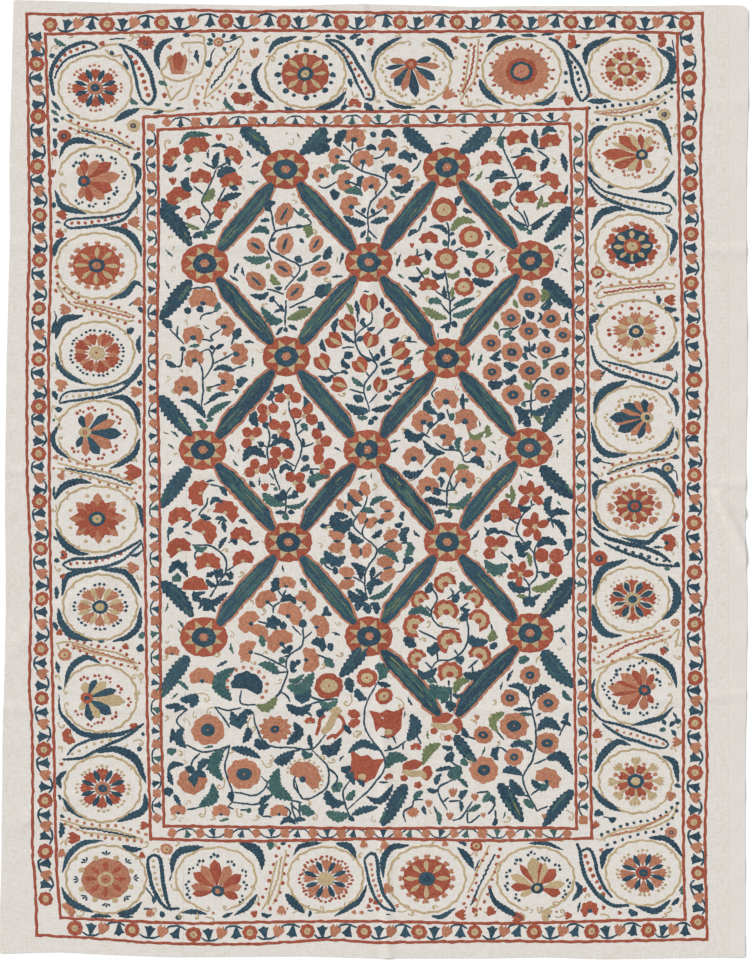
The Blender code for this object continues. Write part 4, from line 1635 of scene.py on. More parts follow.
# The sprays in the lattice's openings
SPRAYS = (
    # Upper row, left opening
    Spray(
        heads=(
            (Head.CARNATION, M, (
                (172, 157, 140, 0.95), (196, 147, 100, 1.2), (233, 156, 55, 0.95), (201, 178, 90, 1),
                (231, 181, 95, 1), (178, 197, 120, 1.15), (222, 209, 150, 0.95), (193, 213, 110, 0.75),
            )),
            (Head.BUD, M, ((173, 185, 90, 0.9), (219, 141, 90, 0.8))),
        ),
        stems=(
            (204, 230, 210, 216, 202, 202, 209, 187, 216, 170), (210, 216, 216, 210),
            (203, 194, 194, 186), (215, 169, 208, 165, 203, 162), (216, 169, 228, 162),
            (218, 201, 225, 188), (205, 223, 200, 217),
        ),
        leaves=(
            (179, 144, 190, 134, 212, 135, 6), (211, 147, 220, 145, 229, 149, 4),
            (215, 168, 215, 159, 219, 152, 7), (217, 177, 226, 170, 236, 171, 9),
            (221, 202, 230, 198, 242, 194, 7), (193, 189, 186, 186, 188, 177, 9),
            (177, 164, 171, 170, 162, 165, 6), (162, 198, 168, 206, 181, 207, 8),
            (206, 229, 214, 225, 223, 220, 6.5), (203, 231, 198, 234, 192, 237, 6),
            (203, 231, 204, 235, 207, 239, 7), (203, 231, 209, 231, 215, 232, 4.5),
            (186, 154, 188, 158, 192, 161, 7), (226, 156, 228, 160, 230, 166, 5),
            (229, 186, 233, 188, 238, 190, 6),
        ),
        olive=(
            (202, 202, 207, 196, 214, 188, 9), (200, 229, 192, 227, 185, 222, 4.5),
        ),
        curls=(
            (166, 150, 110, 13, -1), (226, 134, -5, 11, -1), (240, 141, -60, 8, -1),
            (235, 202, -60, 8, -1),
        ),
    ),
    # Upper row, middle opening
    Spray(
        heads=(
            (Head.POPPY, S, (
                (355, 138, 70, 1.05), (388, 148, 55, 0.95), (336, 156, 150, 0.8), (363, 160, 90, 1),
                (321, 175, 120, 0.8), (346, 182, 180, 0.95), (371, 185, 90, 0.9), (400, 175, 60, 1),
                (350, 206, 150, 1), (386, 206, 60, 0.9),
            )),
        ),
        stems=(
            (368, 236, 369, 206, 380, 193, 386, 180, 362, 171, 350, 162, 356, 151, 366, 148),
            (368, 219, 355, 210), (368, 219, 383, 209), (351, 162, 340, 160), (351, 153, 343, 145),
            (352, 151, 353, 141), (374, 159, 382, 156, 386, 151), (361, 172, 363, 165, 365, 160),
            (385, 182, 387, 170), (360, 188, 362, 175), (350, 182, 361, 187),
            (336, 182, 325, 188, 318, 186), (412, 172, 418, 166, 421, 160), (376, 196, 376, 190),
            (368, 230, 377, 239),
        ),
        leaves=(
            (341, 147, 338, 140, 346, 130, 10), (316, 155, 322, 148, 330, 150, 12),
            (322, 141, 328, 141, 332, 138, 4), (370, 133, 374, 135, 376, 137, 5),
            (382, 138, 387, 131, 397, 137, 7), (366, 150, 372, 147, 376, 150, 6),
            (333, 175, 337, 168, 350, 168, 6.5), (381, 168, 388, 168, 396, 164, 8),
            (360, 186, 359, 180, 364, 176, 6), (344, 192, 354, 191, 363, 196, 8),
            (330, 192, 334, 194, 334, 200, 9), (392, 187, 404, 190, 414, 180, 8),
            (398, 158, 405, 156, 411, 163, 8), (411, 153, 415, 156, 417, 160, 6),
            (391, 190, 393, 194, 396, 198, 4), (394, 200, 400, 197, 405, 197, 3),
            (366, 224, 354, 222, 343, 216, 8), (370, 223, 378, 220, 389, 218, 6.5),
            (364, 214, 363, 211, 366, 208, 4.5), (375, 214, 373, 211, 372, 208, 4),
            (366, 230, 363, 233, 361, 238, 5), (368, 236, 368, 239, 369, 243, 5),
        ),
        curls=(
            (402, 147, 10, 9, -1), (323, 169, 60, 9, -1), (412, 178, 20, 9, -1), (366, 133, 100, 5, 1),
            (381, 160, -90, 4, 1),
        ),
    ),
    # Upper row, right opening
    Spray(
        heads=(
            (Head.CARNATION, M, (
                (517, 139, 100, 1), (550, 142, 100, 1), (525, 165, 80, 1.05), (550, 181, 60, 1),
                (502, 189, 120, 0.9), (526, 198, 90, 1), (558, 199, 90, 0.9), (491, 159, 90, 1),
            )),
            (Head.BUD, M, ((516, 211, 90, 0.6),)),
        ),
        stems=(
            (529, 232, 522, 216, 510, 200, 518, 185, 511, 166, 500, 140, 505, 127), (518, 178, 485, 178),
            (518, 178, 522, 173), (529, 226, 524, 211), (529, 227, 512, 220), (530, 226, 550, 213),
            (537, 148, 545, 149), (537, 150, 548, 158), (511, 158, 526, 154), (534, 191, 547, 184),
        ),
        leaves=(
            (503, 149, 500, 141, 506, 137, 7), (521, 154, 527, 150, 534, 153, 5),
            (537, 148, 533, 140, 535, 129, 7), (541, 136, 548, 128, 557, 132, 6),
            (549, 158, 545, 163, 541, 171, 7), (562, 153, 565, 162, 566, 172, 6),
            (490, 183, 496, 173, 508, 175, 8), (517, 188, 525, 185, 532, 183, 9),
            (493, 199, 500, 206, 509, 202, 8), (526, 226, 515, 222, 508, 214, 5),
            (530, 226, 543, 219, 554, 210, 4.5), (528, 230, 521, 227, 516, 225, 5),
            (531, 230, 538, 226, 544, 224, 6), (529, 230, 530, 232, 531, 235, 5),
            (564, 198, 566, 190, 567, 184, 4),
        ),
        olive=(
            (537, 210, 541, 200, 541, 195, 5), (541, 206, 548, 203, 550, 202, 5),
        ),
        curls=(
            (489, 142, 60, 10, -1), (533, 176, 30, 7, -1), (552, 158, -20, 8, -1), (503, 160, 150, 6, 1),
            (562, 137, 60, 8, 1),
        ),
    ),
    # Second row, left opening
    Spray(
        heads=(
            (Head.DROP, S, (
                (284, 214, 60, 1.15), (256, 246, 145, 1), (285, 244, 70, 1.1), (316, 244, 60, 0.9),
                (283, 269, 145, 1), (321, 269, 15, 1), (256, 281, 140, 1.1), (295, 292, 45, 1),
            )),
        ),
        stems=(
            (285, 326, 286, 300),
            (284, 290, 300, 268, 281, 256, 270, 248, 275, 232, 296, 227, 311, 224, 305, 216),
            (300, 266, 316, 260), (284, 294, 267, 289), (295, 278, 291, 275), (272, 261, 267, 250),
            (275, 232, 270, 207), (287, 227, 287, 222), (289, 308, 315, 296), (284, 312, 273, 299),
            (301, 216, 293, 208),
        ),
        leaves=(
            (269, 212, 268, 205, 276, 202, 8), (270, 221, 266, 220, 260, 221, 4),
            (269, 234, 262, 229, 251, 233, 7), (270, 241, 273, 240, 276, 238, 3.5),
            (295, 227, 300, 226, 303, 227, 4), (304, 243, 302, 240, 300, 238, 4),
            (302, 216, 306, 217, 310, 216, 4), (300, 216, 301, 211, 300, 208, 5),
            (270, 258, 258, 262, 243, 258, 8), (301, 263, 299, 259, 294, 258, 7),
            (312, 261, 318, 258, 321, 255, 4.5), (323, 260, 328, 255, 331, 246, 8),
            (297, 280, 304, 278, 307, 270, 5.5), (282, 287, 278, 288, 274, 288, 4),
            (315, 296, 320, 290, 318, 285, 12), (325, 295, 327, 289, 331, 283, 8),
            (268, 292, 262, 297, 250, 295, 6), (275, 300, 272, 299, 270, 297, 6),
            (284, 312, 282, 308, 281, 304, 4), (280, 311, 277, 311, 274, 313, 3),
            (283, 321, 272, 320, 261, 307, 9), (297, 308, 303, 307, 307, 307, 3.5),
            (283, 327, 279, 330, 276, 335, 4), (288, 326, 292, 327, 297, 330, 4.5),
            (285, 327, 286, 330, 287, 332, 4),
        ),
        olive=(
            (303, 227, 309, 231, 307, 238, 8), (269, 263, 268, 266, 266, 269, 4),
            (281, 284, 274, 282, 271, 274, 7), (287, 319, 300, 316, 313, 308, 9),
        ),
        curls=(
            (310, 231, 20, 9, -1), (268, 304, 170, 8, 1), (331, 281, 200, 9, -1),
        ),
    ),
    # Second row, right opening
    Spray(
        heads=(
            (Head.COIN, M, (
                (444, 210, 0, 1.35), (471, 237, 0, 1.25), (446, 259, 0, 1.2), (483, 268, 0, 1.15),
                (464, 287, 0, 1.05),
            )),
            (Head.CARNATION, M, ((429, 239, 90, 0.85), (413, 262, 100, 0.8), (429, 286, 90, 0.9))),
            (Head.BUD, M, ((412, 248, 90, 0.55),)),
        ),
        stems=(
            (450, 328, 450, 305, 445, 270), (448, 249, 449, 230, 446, 222), (450, 314, 441, 304),
            (450, 312, 462, 304), (425, 279, 416, 267), (417, 260, 417, 249), (418, 256, 424, 254),
            (418, 231, 424, 218), (449, 300, 436, 291), (450, 302, 455, 297), (454, 252, 463, 247),
            (460, 250, 466, 251), (486, 258, 494, 251), (484, 231, 487, 233), (404, 285, 414, 293),
        ),
        leaves=(
            (449, 234, 441, 226, 429, 227, 5), (448, 246, 445, 243, 444, 239, 5),
            (451, 246, 454, 243, 454, 239, 4.5), (450, 236, 453, 234, 455, 234, 3),
            (418, 231, 412, 232, 408, 237, 5), (423, 222, 425, 219, 426, 216, 5),
            (424, 254, 427, 253, 428, 261, 7), (422, 275, 416, 280, 408, 277, 6),
            (447, 273, 438, 277, 431, 270, 5.5), (466, 251, 472, 255, 478, 253, 7),
            (470, 277, 467, 272, 464, 267, 5), (472, 279, 484, 284, 494, 281, 8),
            (485, 231, 488, 234, 489, 241, 4.5), (486, 255, 487, 252, 486, 249, 4),
            (445, 299, 444, 293, 444, 286, 5), (441, 304, 437, 300, 432, 303, 7),
            (435, 300, 432, 300, 430, 305, 5), (453, 306, 462, 302, 475, 298, 6.5),
            (452, 316, 462, 315, 475, 308, 7), (408, 292, 412, 293, 417, 297, 4.5),
            (458, 206, 458, 202, 462, 197, 7), (464, 208, 466, 211, 472, 212, 5),
            (450, 322, 446, 325, 440, 328, 4.5), (451, 322, 455, 324, 457, 328, 5),
            (449, 324, 448, 329, 448, 333, 5),
        ),
        olive=(
            (451, 231, 460, 220, 476, 222, 8), (421, 273, 426, 272, 428, 267, 5),
            (447, 274, 455, 275, 459, 270, 6), (452, 299, 452, 292, 453, 287, 4.5),
            (447, 318, 435, 316, 422, 307, 8),
        ),
        curls=(
            (476, 297, 30, 9, 1), (430, 303, 150, 9, -1),
        ),
    ),
    # Third row, left opening
    Spray(
        heads=(
            (Head.FAN, S, ((203, 300, 90, 1.25),)),
            (Head.POPPY, S, (
                (193, 336, 90, 1), (225, 326, 30, 1), (194, 359, 110, 0.95), (238, 354, 0, 1.05),
                (225, 382, 0, 1), (186, 387, 90, 1.15),
            )),
            (Head.BUD, S, ((225, 356, 90, 0.5),)),
        ),
        stems=(
            (201, 410, 203, 390, 202, 370, 197, 359), (204, 379, 213, 363, 209, 350, 200, 352),
            (213, 364, 233, 354), (213, 354, 215, 348), (206, 388, 222, 384),
            (200, 320, 203, 315, 217, 311), (201, 339, 213, 341, 211, 336, 221, 329),
            (191, 289, 209, 287, 212, 293), (184, 344, 170, 329), (177, 336, 178, 326),
            (183, 350, 181, 365, 177, 367), (204, 405, 218, 397), (231, 345, 234, 337),
            (230, 371, 246, 365), (231, 389, 236, 390),
        ),
        leaves=(
            (184, 309, 187, 310, 191, 308, 6), (196, 309, 200, 310, 203, 312, 6),
            (214, 311, 217, 307, 219, 302, 6), (166, 328, 168, 324, 171, 321, 10),
            (189, 347, 195, 346, 200, 345, 4), (214, 349, 212, 347, 211, 345, 4),
            (215, 349, 219, 347, 224, 344, 4.5), (234, 339, 238, 334, 240, 328, 9),
            (180, 350, 183, 349, 186, 351, 4), (177, 367, 171, 365, 165, 360, 5.5),
            (213, 371, 222, 367, 235, 371, 6), (239, 388, 242, 382, 248, 379, 8),
            (236, 394, 237, 391, 235, 389, 4), (209, 400, 218, 395, 229, 395, 5),
            (206, 418, 192, 404, 180, 401, 7), (207, 418, 215, 408, 231, 401, 7),
            (196, 419, 200, 421, 204, 422, 4.5), (206, 421, 211, 420, 214, 418, 4),
            (204, 422, 204, 426, 204, 430, 7),
        ),
        olive=(
            (207, 388, 208, 390, 211, 389, 5),
        ),
        curls=(
            (161, 360, 60, 13, -1), (200, 326, 160, 6, 1), (180, 369, -80, 5, 1), (178, 392, 200, 8, -1),
            (224, 314, 60, 5, -1),
        ),
    ),
    # Third row, middle opening
    Spray(
        heads=(
            (Head.TULIP, M, (
                (369, 304, 90, 1.1), (349, 324, 135, 1), (390, 322, 45, 1), (335, 341, 150, 1),
                (370, 341, 70, 0.95), (399, 352, 35, 1.1), (323, 363, 125, 1), (361, 366, 130, 0.95),
                (404, 372, 20, 1), (340, 385, 165, 0.95), (380, 386, 75, 0.9),
            )),
        ),
        stems=(
            (370, 412, 364, 386, 377, 366, 360, 353, 356, 336, 371, 322, 372, 312), (377, 366, 369, 350),
            (354, 347, 342, 348), (356, 338, 354, 328), (365, 394, 349, 389), (369, 403, 377, 394),
            (369, 376, 366, 372), (380, 364, 392, 358), (380, 365, 392, 363), (377, 335, 385, 327),
            (389, 380, 400, 376), (389, 390, 391, 393), (336, 376, 327, 367), (333, 374, 344, 372),
            (334, 333, 336, 328), (326, 352, 322, 340), (404, 341, 417, 342), (403, 384, 414, 381),
            (358, 322, 357, 301),
        ),
        leaves=(
            (359, 315, 357, 306, 356, 301, 5), (366, 327, 363, 322, 365, 318, 5),
            (367, 327, 370, 329, 375, 327, 4), (384, 309, 381, 304, 382, 297, 5),
            (385, 309, 388, 310, 392, 309, 4), (355, 343, 347, 338, 341, 332, 5),
            (357, 341, 359, 339, 363, 336, 5), (334, 332, 333, 326, 338, 318, 6),
            (326, 352, 322, 345, 322, 339, 5), (345, 352, 349, 355, 352, 352, 8),
            (350, 368, 344, 363, 343, 358, 6), (371, 361, 367, 360, 364, 358, 4),
            (374, 361, 376, 357, 379, 353, 6), (384, 357, 382, 351, 384, 345, 5),
            (389, 340, 394, 342, 399, 337, 5), (410, 341, 409, 338, 408, 336, 4.5),
            (381, 364, 386, 362, 391, 363, 3), (382, 368, 384, 373, 396, 370, 6),
            (403, 367, 407, 361, 413, 357, 5.5), (403, 384, 399, 388, 394, 386, 6),
            (406, 382, 411, 380, 418, 380, 4.5), (364, 386, 358, 383, 352, 377, 5.5),
            (367, 391, 369, 387, 370, 384, 4), (334, 375, 327, 381, 318, 376, 6),
            (340, 372, 344, 371, 348, 374, 4), (364, 398, 358, 399, 354, 395, 8),
            (384, 396, 388, 399, 392, 396, 7), (391, 396, 396, 394, 401, 394, 5),
            (369, 411, 357, 411, 345, 404, 9), (371, 410, 382, 410, 392, 405, 6.5),
            (368, 418, 361, 418, 357, 417, 5), (371, 418, 375, 418, 378, 417, 4),
            (369, 419, 370, 422, 368, 425, 5),
        ),
        olive=(
            (352, 315, 350, 308, 346, 303, 5),
        ),
        curls=(
            (338, 394, -40, 9, 1), (401, 341, 80, 9, -1),
        ),
    ),
    # Third row, right opening
    Spray(
        heads=(
            (Head.DAISY, S, (
                (529, 297, 0, 1.08), (511, 318, 0, 0.93), (551, 319, 0, 0.97), (529, 331, 0, 0.95),
                (563, 335, 0, 0.82), (491, 343, 0, 0.92), (512, 352, 0, 1.02), (546, 350, 0, 0.9),
                (530, 371, 0, 1.04), (492, 372, 0, 0.92), (560, 371, 0, 0.95), (513, 395, 0, 1.08),
                (545, 393, 0, 1.02),
            )),
        ),
        stems=(
            (531, 418, 531, 390), (531, 390, 540, 378, 549, 381), (530, 354, 529, 341),
            (530, 354, 537, 358), (563, 355, 545, 361), (540, 328, 546, 336, 550, 338),
            (562, 321, 568, 319), (519, 326, 512, 330), (514, 328, 500, 330, 500, 336),
            (508, 385, 502, 379), (501, 350, 494, 357), (536, 400, 523, 402), (540, 308, 549, 300),
        ),
        leaves=(
            (524, 346, 527, 349, 530, 352, 5), (530, 351, 533, 348, 535, 343, 5),
            (567, 347, 565, 352, 564, 358, 7), (543, 360, 546, 364, 543, 369, 6),
            (543, 329, 547, 332, 546, 337, 6), (568, 312, 567, 317, 569, 324, 4),
            (541, 309, 548, 306, 549, 297, 6), (525, 310, 528, 314, 530, 319, 7),
            (534, 312, 532, 316, 531, 320, 4), (538, 312, 541, 317, 537, 322, 4),
            (523, 316, 524, 321, 521, 326, 4), (503, 338, 509, 334, 512, 330, 6),
            (508, 337, 512, 338, 516, 338, 5), (489, 358, 496, 359, 501, 360, 5),
            (490, 359, 496, 354, 501, 350, 5), (503, 363, 510, 366, 519, 367, 7),
            (510, 366, 511, 369, 512, 372, 4), (504, 381, 511, 380, 515, 374, 7),
            (488, 382, 495, 386, 503, 382, 9), (525, 352, 525, 357, 528, 360, 5),
            (523, 401, 524, 404, 526, 407, 4), (514, 406, 522, 414, 531, 410, 8),
            (531, 411, 538, 413, 548, 405, 8), (519, 424, 523, 418, 530, 420, 7),
            (526, 419, 528, 424, 528, 428, 9),
        ),
        olive=(
            (541, 290, 547, 294, 541, 302, 9), (514, 299, 514, 304, 518, 308, 5),
            (496, 321, 495, 326, 498, 330, 6), (524, 382, 527, 386, 530, 390, 5),
            (530, 380, 531, 384, 531, 390, 3.5), (532, 415, 537, 418, 541, 425, 5),
        ),
        curls=(
            (532, 286, 60, 6, 1),
        ),
    ),
    # Fourth row, left opening
    Spray(
        heads=(
            (Head.TRIPLE, M, (
                (288, 397, 90, 1.05), (268, 413, 140, 0.95), (304, 416, 65, 1.15), (279, 431, 40, 1.05),
                (252, 438, 130, 1), (318, 442, 10, 1.1), (281, 459, 120, 1.15), (322, 466, 25, 1.1),
                (257, 471, 100, 1), (295, 483, 45, 1),
            )),
            (Head.BUD, M, ((265, 491, 90, 0.9),)),
        ),
        stems=(
            (286, 518, 286, 497, 291, 487), (280, 490, 274, 473, 267, 453, 270, 438, 266, 424),
            (267, 447, 257, 442), (294, 471, 302, 449, 297, 434, 295, 424, 289, 409, 289, 401),
            (303, 447, 314, 443), (296, 424, 301, 419), (298, 434, 304, 429), (295, 466, 284, 460),
            (272, 400, 275, 406), (278, 390, 279, 394), (270, 416, 272, 425), (308, 469, 320, 469),
            (275, 485, 270, 484), (274, 479, 269, 473),
        ),
        leaves=(
            (269, 447, 283, 440, 295, 451, 7), (280, 474, 285, 467, 294, 472, 6),
            (274, 495, 281, 497, 283, 489, 9), (262, 493, 272, 503, 286, 505, 9),
            (286, 506, 298, 506, 308, 498, 5), (275, 513, 280, 512, 286, 512, 4.5),
            (288, 512, 291, 512, 295, 513, 4), (286, 512, 286, 516, 288, 520, 6),
            (287, 498, 293, 497, 299, 496, 5), (294, 490, 295, 494, 297, 497, 5),
            (271, 390, 271, 396, 271, 400, 6), (266, 398, 270, 399, 272, 400, 4),
            (273, 387, 278, 389, 284, 384, 7), (256, 411, 252, 419, 258, 427, 9),
            (263, 423, 266, 427, 268, 422, 7), (243, 462, 252, 451, 266, 458, 9),
            (271, 438, 275, 437, 277, 434, 5), (258, 444, 261, 445, 264, 442, 6),
            (304, 396, 305, 402, 304, 408, 5), (304, 402, 307, 402, 310, 402, 4),
            (300, 424, 304, 427, 308, 431, 6), (302, 438, 303, 443, 302, 448, 4),
            (322, 421, 321, 425, 325, 430, 7), (301, 459, 305, 459, 308, 455, 6),
            (300, 471, 306, 469, 309, 464, 6), (310, 470, 312, 472, 312, 475, 4),
            (307, 483, 316, 477, 330, 476, 8), (312, 480, 313, 484, 314, 488, 6),
            (250, 481, 252, 485, 256, 487, 4.5), (273, 488, 275, 489, 278, 489, 4),
        ),
        curls=(
            (285, 410, -70, 6, -1), (243, 474, 0, 6, 1),
        ),
    ),
    # Fourth row, right opening
    Spray(
        heads=(
            (Head.POPPY, S, (
                (446, 400, 90, 1.15), (422, 421, 135, 1.05), (466, 420, 60, 1.15), (444, 435, 45, 1.1),
                (414, 457, 90, 1.05), (475, 448, 60, 1.05), (443, 468, 90, 1.1), (428, 487, 90, 1.05),
                (465, 479, 60, 1),
            )),
        ),
        stems=(
            (447, 508, 447, 492, 451, 476, 455, 470), (447, 492, 438, 489),
            (447, 491, 453, 489, 459, 481), (424, 468, 430, 461, 441, 452),
            (435, 443, 444, 449, 459, 451, 463, 456, 470, 452), (463, 456, 464, 461, 471, 462),
            (430, 438, 420, 431), (427, 434, 430, 428, 439, 418, 431, 408), (447, 409, 450, 420),
            (438, 388, 432, 393, 435, 400), (450, 482, 453, 488), (440, 479, 443, 484),
        ),
        leaves=(
            (423, 440, 432, 450, 445, 453, 7), (470, 461, 478, 459, 484, 468, 8),
            (462, 437, 457, 442, 459, 452, 6), (405, 429, 414, 437, 425, 433, 9),
            (430, 400, 426, 408, 438, 414, 8), (437, 414, 442, 416, 445, 418, 8),
            (426, 424, 430, 426, 431, 429, 6), (454, 413, 451, 416, 450, 421, 6),
            (463, 393, 463, 402, 464, 410, 5), (464, 399, 467, 400, 469, 399, 4),
            (449, 447, 452, 449, 454, 446, 6), (402, 472, 413, 477, 424, 470, 8),
            (437, 479, 442, 480, 441, 488, 5), (435, 486, 437, 491, 441, 494, 8),
            (451, 486, 453, 489, 456, 489, 4), (448, 504, 460, 505, 472, 492, 8),
            (434, 514, 439, 511, 446, 510, 5), (445, 511, 449, 515, 452, 517, 8),
            (424, 499, 434, 500, 447, 504, 8),
        ),
        olive=(
            (455, 470, 462, 466, 469, 467, 6), (468, 432, 475, 438, 485, 431, 6),
            (487, 425, 488, 432, 491, 436, 6), (485, 438, 489, 435, 493, 433, 4),
            (448, 509, 456, 506, 463, 509, 5),
        ),
        curls=(
            (489, 460, -60, 12, -1), (408, 481, 10, 10, 1), (452, 490, 0, 7, -1), (474, 478, 10, 10, -1),
            (402, 433, 40, 6, 1),
        ),
    ),
    # Fifth row, left opening
    Spray(
        heads=(
            (Head.DOME, M, (
                (200, 493, 165, 1.15), (226, 512, 60, 1.15), (180, 518, 100, 1.08), (204, 532, 45, 1.2),
                (241, 537, 80, 1), (179, 549, 110, 1.1), (243, 560, 100, 0.98), (208, 564, 90, 1.15),
            )),
            (Head.CAP, M, ((195, 590, 90, 1.15),)),
        ),
        stems=(
            (210, 597, 217, 584, 214, 569), (217, 584, 226, 571, 224, 556, 210, 546, 192, 545),
            (226, 571, 235, 566), (208, 498, 206, 505, 200, 512, 199, 516), (210, 485, 219, 486),
            (221, 520, 218, 524), (168, 534, 168, 541), (204, 547, 195, 553, 196, 560),
            (219, 549, 222, 543), (228, 543, 235, 539), (214, 590, 211, 597),
        ),
        leaves=(
            (200, 515, 206, 519, 212, 518, 6), (219, 486, 224, 489, 227, 496, 6),
            (210, 505, 215, 499, 223, 503, 5), (215, 519, 221, 519, 227, 522, 4.5),
            (223, 521, 225, 528, 226, 533, 5), (238, 521, 243, 522, 248, 524, 4.5),
            (174, 528, 171, 531, 168, 535, 6), (193, 545, 200, 550, 207, 547, 6),
            (219, 548, 223, 542, 227, 537, 5), (230, 541, 235, 540, 236, 545, 6),
            (186, 561, 186, 565, 185, 569, 4), (169, 573, 178, 564, 188, 577, 8),
            (172, 581, 176, 579, 181, 581, 8), (207, 572, 210, 575, 213, 571, 6),
            (214, 570, 219, 575, 222, 568, 8), (231, 571, 230, 575, 230, 580, 6),
            (226, 572, 228, 575, 230, 578, 3), (206, 579, 211, 584, 217, 586, 5.5),
            (217, 586, 225, 583, 234, 583, 5.5), (193, 592, 199, 593, 206, 592, 4),
            (193, 591, 196, 597, 201, 601, 7), (192, 600, 196, 599, 200, 599, 4),
            (203, 598, 213, 602, 228, 592, 7), (198, 609, 205, 600, 216, 612, 7),
            (204, 604, 208, 608, 209, 611, 7),
        ),
        curls=(
            (238, 577, 10, 9, 1), (221, 552, 50, 9, -1), (210, 588, 30, 6, 1),
        ),
    ),
    # Fifth row, middle opening
    Spray(
        heads=(
            (Head.LOBED, S, (
                (361, 493, 125, 1.05), (345, 506, 90, 0.85), (388, 511, 180, 1), (366, 521, 60, 0.95),
                (338, 541, 180, 1.15), (391, 541, 15, 1.1), (361, 552, 90, 1.05), (388, 568, 190, 1.2),
                (348, 578, 180, 1.1),
            )),
        ),
        stems=(
            (367, 600, 365, 574, 377, 550, 363, 536, 365, 523),
            (363, 536, 353, 524, 363, 509, 367, 498, 365, 494), (355, 517, 351, 510),
            (353, 526, 345, 525, 326, 525), (374, 523, 384, 518), (377, 550, 388, 543),
            (401, 543, 407, 543), (405, 563, 403, 570, 397, 572), (325, 560, 326, 566, 332, 570),
            (364, 583, 353, 577), (366, 586, 382, 571), (378, 550, 392, 553),
        ),
        leaves=(
            (360, 512, 368, 509, 375, 513, 6), (348, 493, 353, 502, 362, 506, 6),
            (331, 515, 341, 527, 352, 518, 12), (320, 526, 323, 527, 327, 525, 5),
            (334, 513, 341, 515, 349, 516, 7), (370, 506, 376, 499, 387, 497, 6),
            (349, 531, 355, 539, 364, 541, 8), (371, 537, 376, 535, 382, 530, 6),
            (377, 521, 381, 521, 384, 518, 5), (404, 511, 402, 516, 404, 521, 5),
            (395, 524, 398, 527, 403, 523, 6), (409, 527, 404, 535, 407, 544, 8),
            (407, 542, 410, 548, 405, 557, 8), (377, 551, 389, 551, 399, 562, 8),
            (324, 551, 335, 561, 346, 556, 10), (403, 563, 408, 560, 414, 559, 8),
            (320, 562, 322, 561, 325, 563, 8), (332, 570, 335, 570, 338, 569, 7),
            (351, 563, 361, 568, 361, 580, 8), (358, 567, 362, 569, 366, 567, 6),
            (374, 567, 372, 573, 371, 580, 5.5), (370, 595, 372, 583, 384, 583, 8),
            (355, 589, 361, 592, 368, 598, 5), (348, 590, 356, 599, 368, 598, 9),
            (368, 598, 381, 595, 393, 583, 6), (357, 611, 358, 603, 367, 604, 8),
            (367, 603, 367, 609, 369, 614, 9), (370, 603, 376, 606, 376, 614, 7),
        ),
        curls=(
            (372, 490, 20, 9, 1), (394, 500, -10, 6, 1), (344, 557, 160, 8, -1), (388, 582, 30, 7, 1),
            (386, 530, 0, 6, 1), (330, 528, 150, 6, 1),
        ),
    ),
    # Fifth row, right opening
    Spray(
        heads=(
            (Head.FIVE, M, ((531, 495, 90, 1.15), (535, 527, 150, 1.15), (520, 574, 135, 1.05))),
            (Head.TRIPLE, M, ((505, 516, 100, 1.3), (496, 548, 130, 1.15), (549, 562, 45, 1.35))),
        ),
        stems=(
            (529, 605, 529, 586, 523, 577), (529, 586, 537, 575, 534, 553, 538, 542),
            (534, 553, 518, 535, 518, 525, 525, 511, 535, 504), (531, 500, 532, 505),
            (518, 524, 508, 518), (518, 537, 498, 532, 488, 533), (501, 552, 513, 562),
            (537, 572, 543, 572), (551, 517, 553, 528), (569, 550, 568, 554, 563, 556),
            (484, 527, 488, 531), (511, 497, 511, 505),
        ),
        leaves=(
            (537, 548, 545, 541, 557, 544, 8), (542, 571, 546, 575, 550, 573, 6),
            (518, 504, 524, 509, 531, 507, 6), (486, 535, 493, 530, 500, 534, 6),
            (499, 531, 505, 533, 512, 535, 4), (510, 554, 511, 557, 509, 560, 5),
            (484, 560, 495, 569, 508, 564, 11), (516, 541, 520, 548, 524, 553, 8),
            (517, 549, 522, 556, 528, 553, 6), (532, 541, 527, 545, 525, 551, 7),
            (508, 582, 517, 590, 529, 589, 9), (530, 600, 536, 598, 541, 594, 4),
            (525, 607, 529, 601, 533, 607, 10), (552, 496, 548, 505, 551, 517, 7),
            (551, 518, 557, 512, 570, 514, 7), (552, 520, 561, 526, 565, 537, 7),
            (547, 519, 549, 519, 551, 519, 4), (563, 542, 569, 543, 568, 551, 10),
            (484, 522, 487, 518, 491, 514, 6),
        ),
        olive=(
            (527, 552, 530, 560, 530, 567, 5), (531, 589, 544, 587, 557, 578, 8),
            (516, 596, 522, 597, 529, 598, 4.5), (511, 485, 512, 495, 512, 504, 5),
            (505, 494, 508, 496, 511, 497, 4),
        ),
        curls=(
            (498, 577, 30, 9, 1), (503, 577, 110, 6, 1), (510, 530, 0, 5, 1),
        ),
    ),
    # Sixth row, left opening
    Spray(
        heads=(
            (Head.FAN, S, (
                (286, 584, 90, 0.85), (266, 600, 120, 1), (306, 601, 50, 1), (290, 614, 50, 1.15),
                (249, 622, 140, 1.05), (319, 626, 25, 1.05), (280, 641, 120, 1.2), (248, 651, 160, 1),
                (309, 660, 0, 1.1),
            )),
            (Head.CAP, S, ((257, 636, 60, 1),)),
        ),
        stems=(
            (288, 672, 286, 664, 289, 655, 302, 646, 303, 630, 304, 620), (304, 638, 312, 632),
            (301, 635, 292, 626), (289, 655, 290, 650), (288, 650, 283, 646),
            (286, 668, 268, 658, 254, 653), (288, 672, 272, 673), (288, 672, 281, 690, 275, 698),
            (282, 692, 287, 696, 290, 702), (280, 602, 274, 606, 273, 613),
            (280, 602, 283, 597, 286, 590), (278, 590, 282, 596), (268, 602, 273, 607),
            (297, 610, 302, 606), (258, 621, 268, 624), (317, 655, 333, 660), (311, 697, 322, 700),
            (294, 668, 298, 662), (284, 657, 289, 655),
        ),
        leaves=(
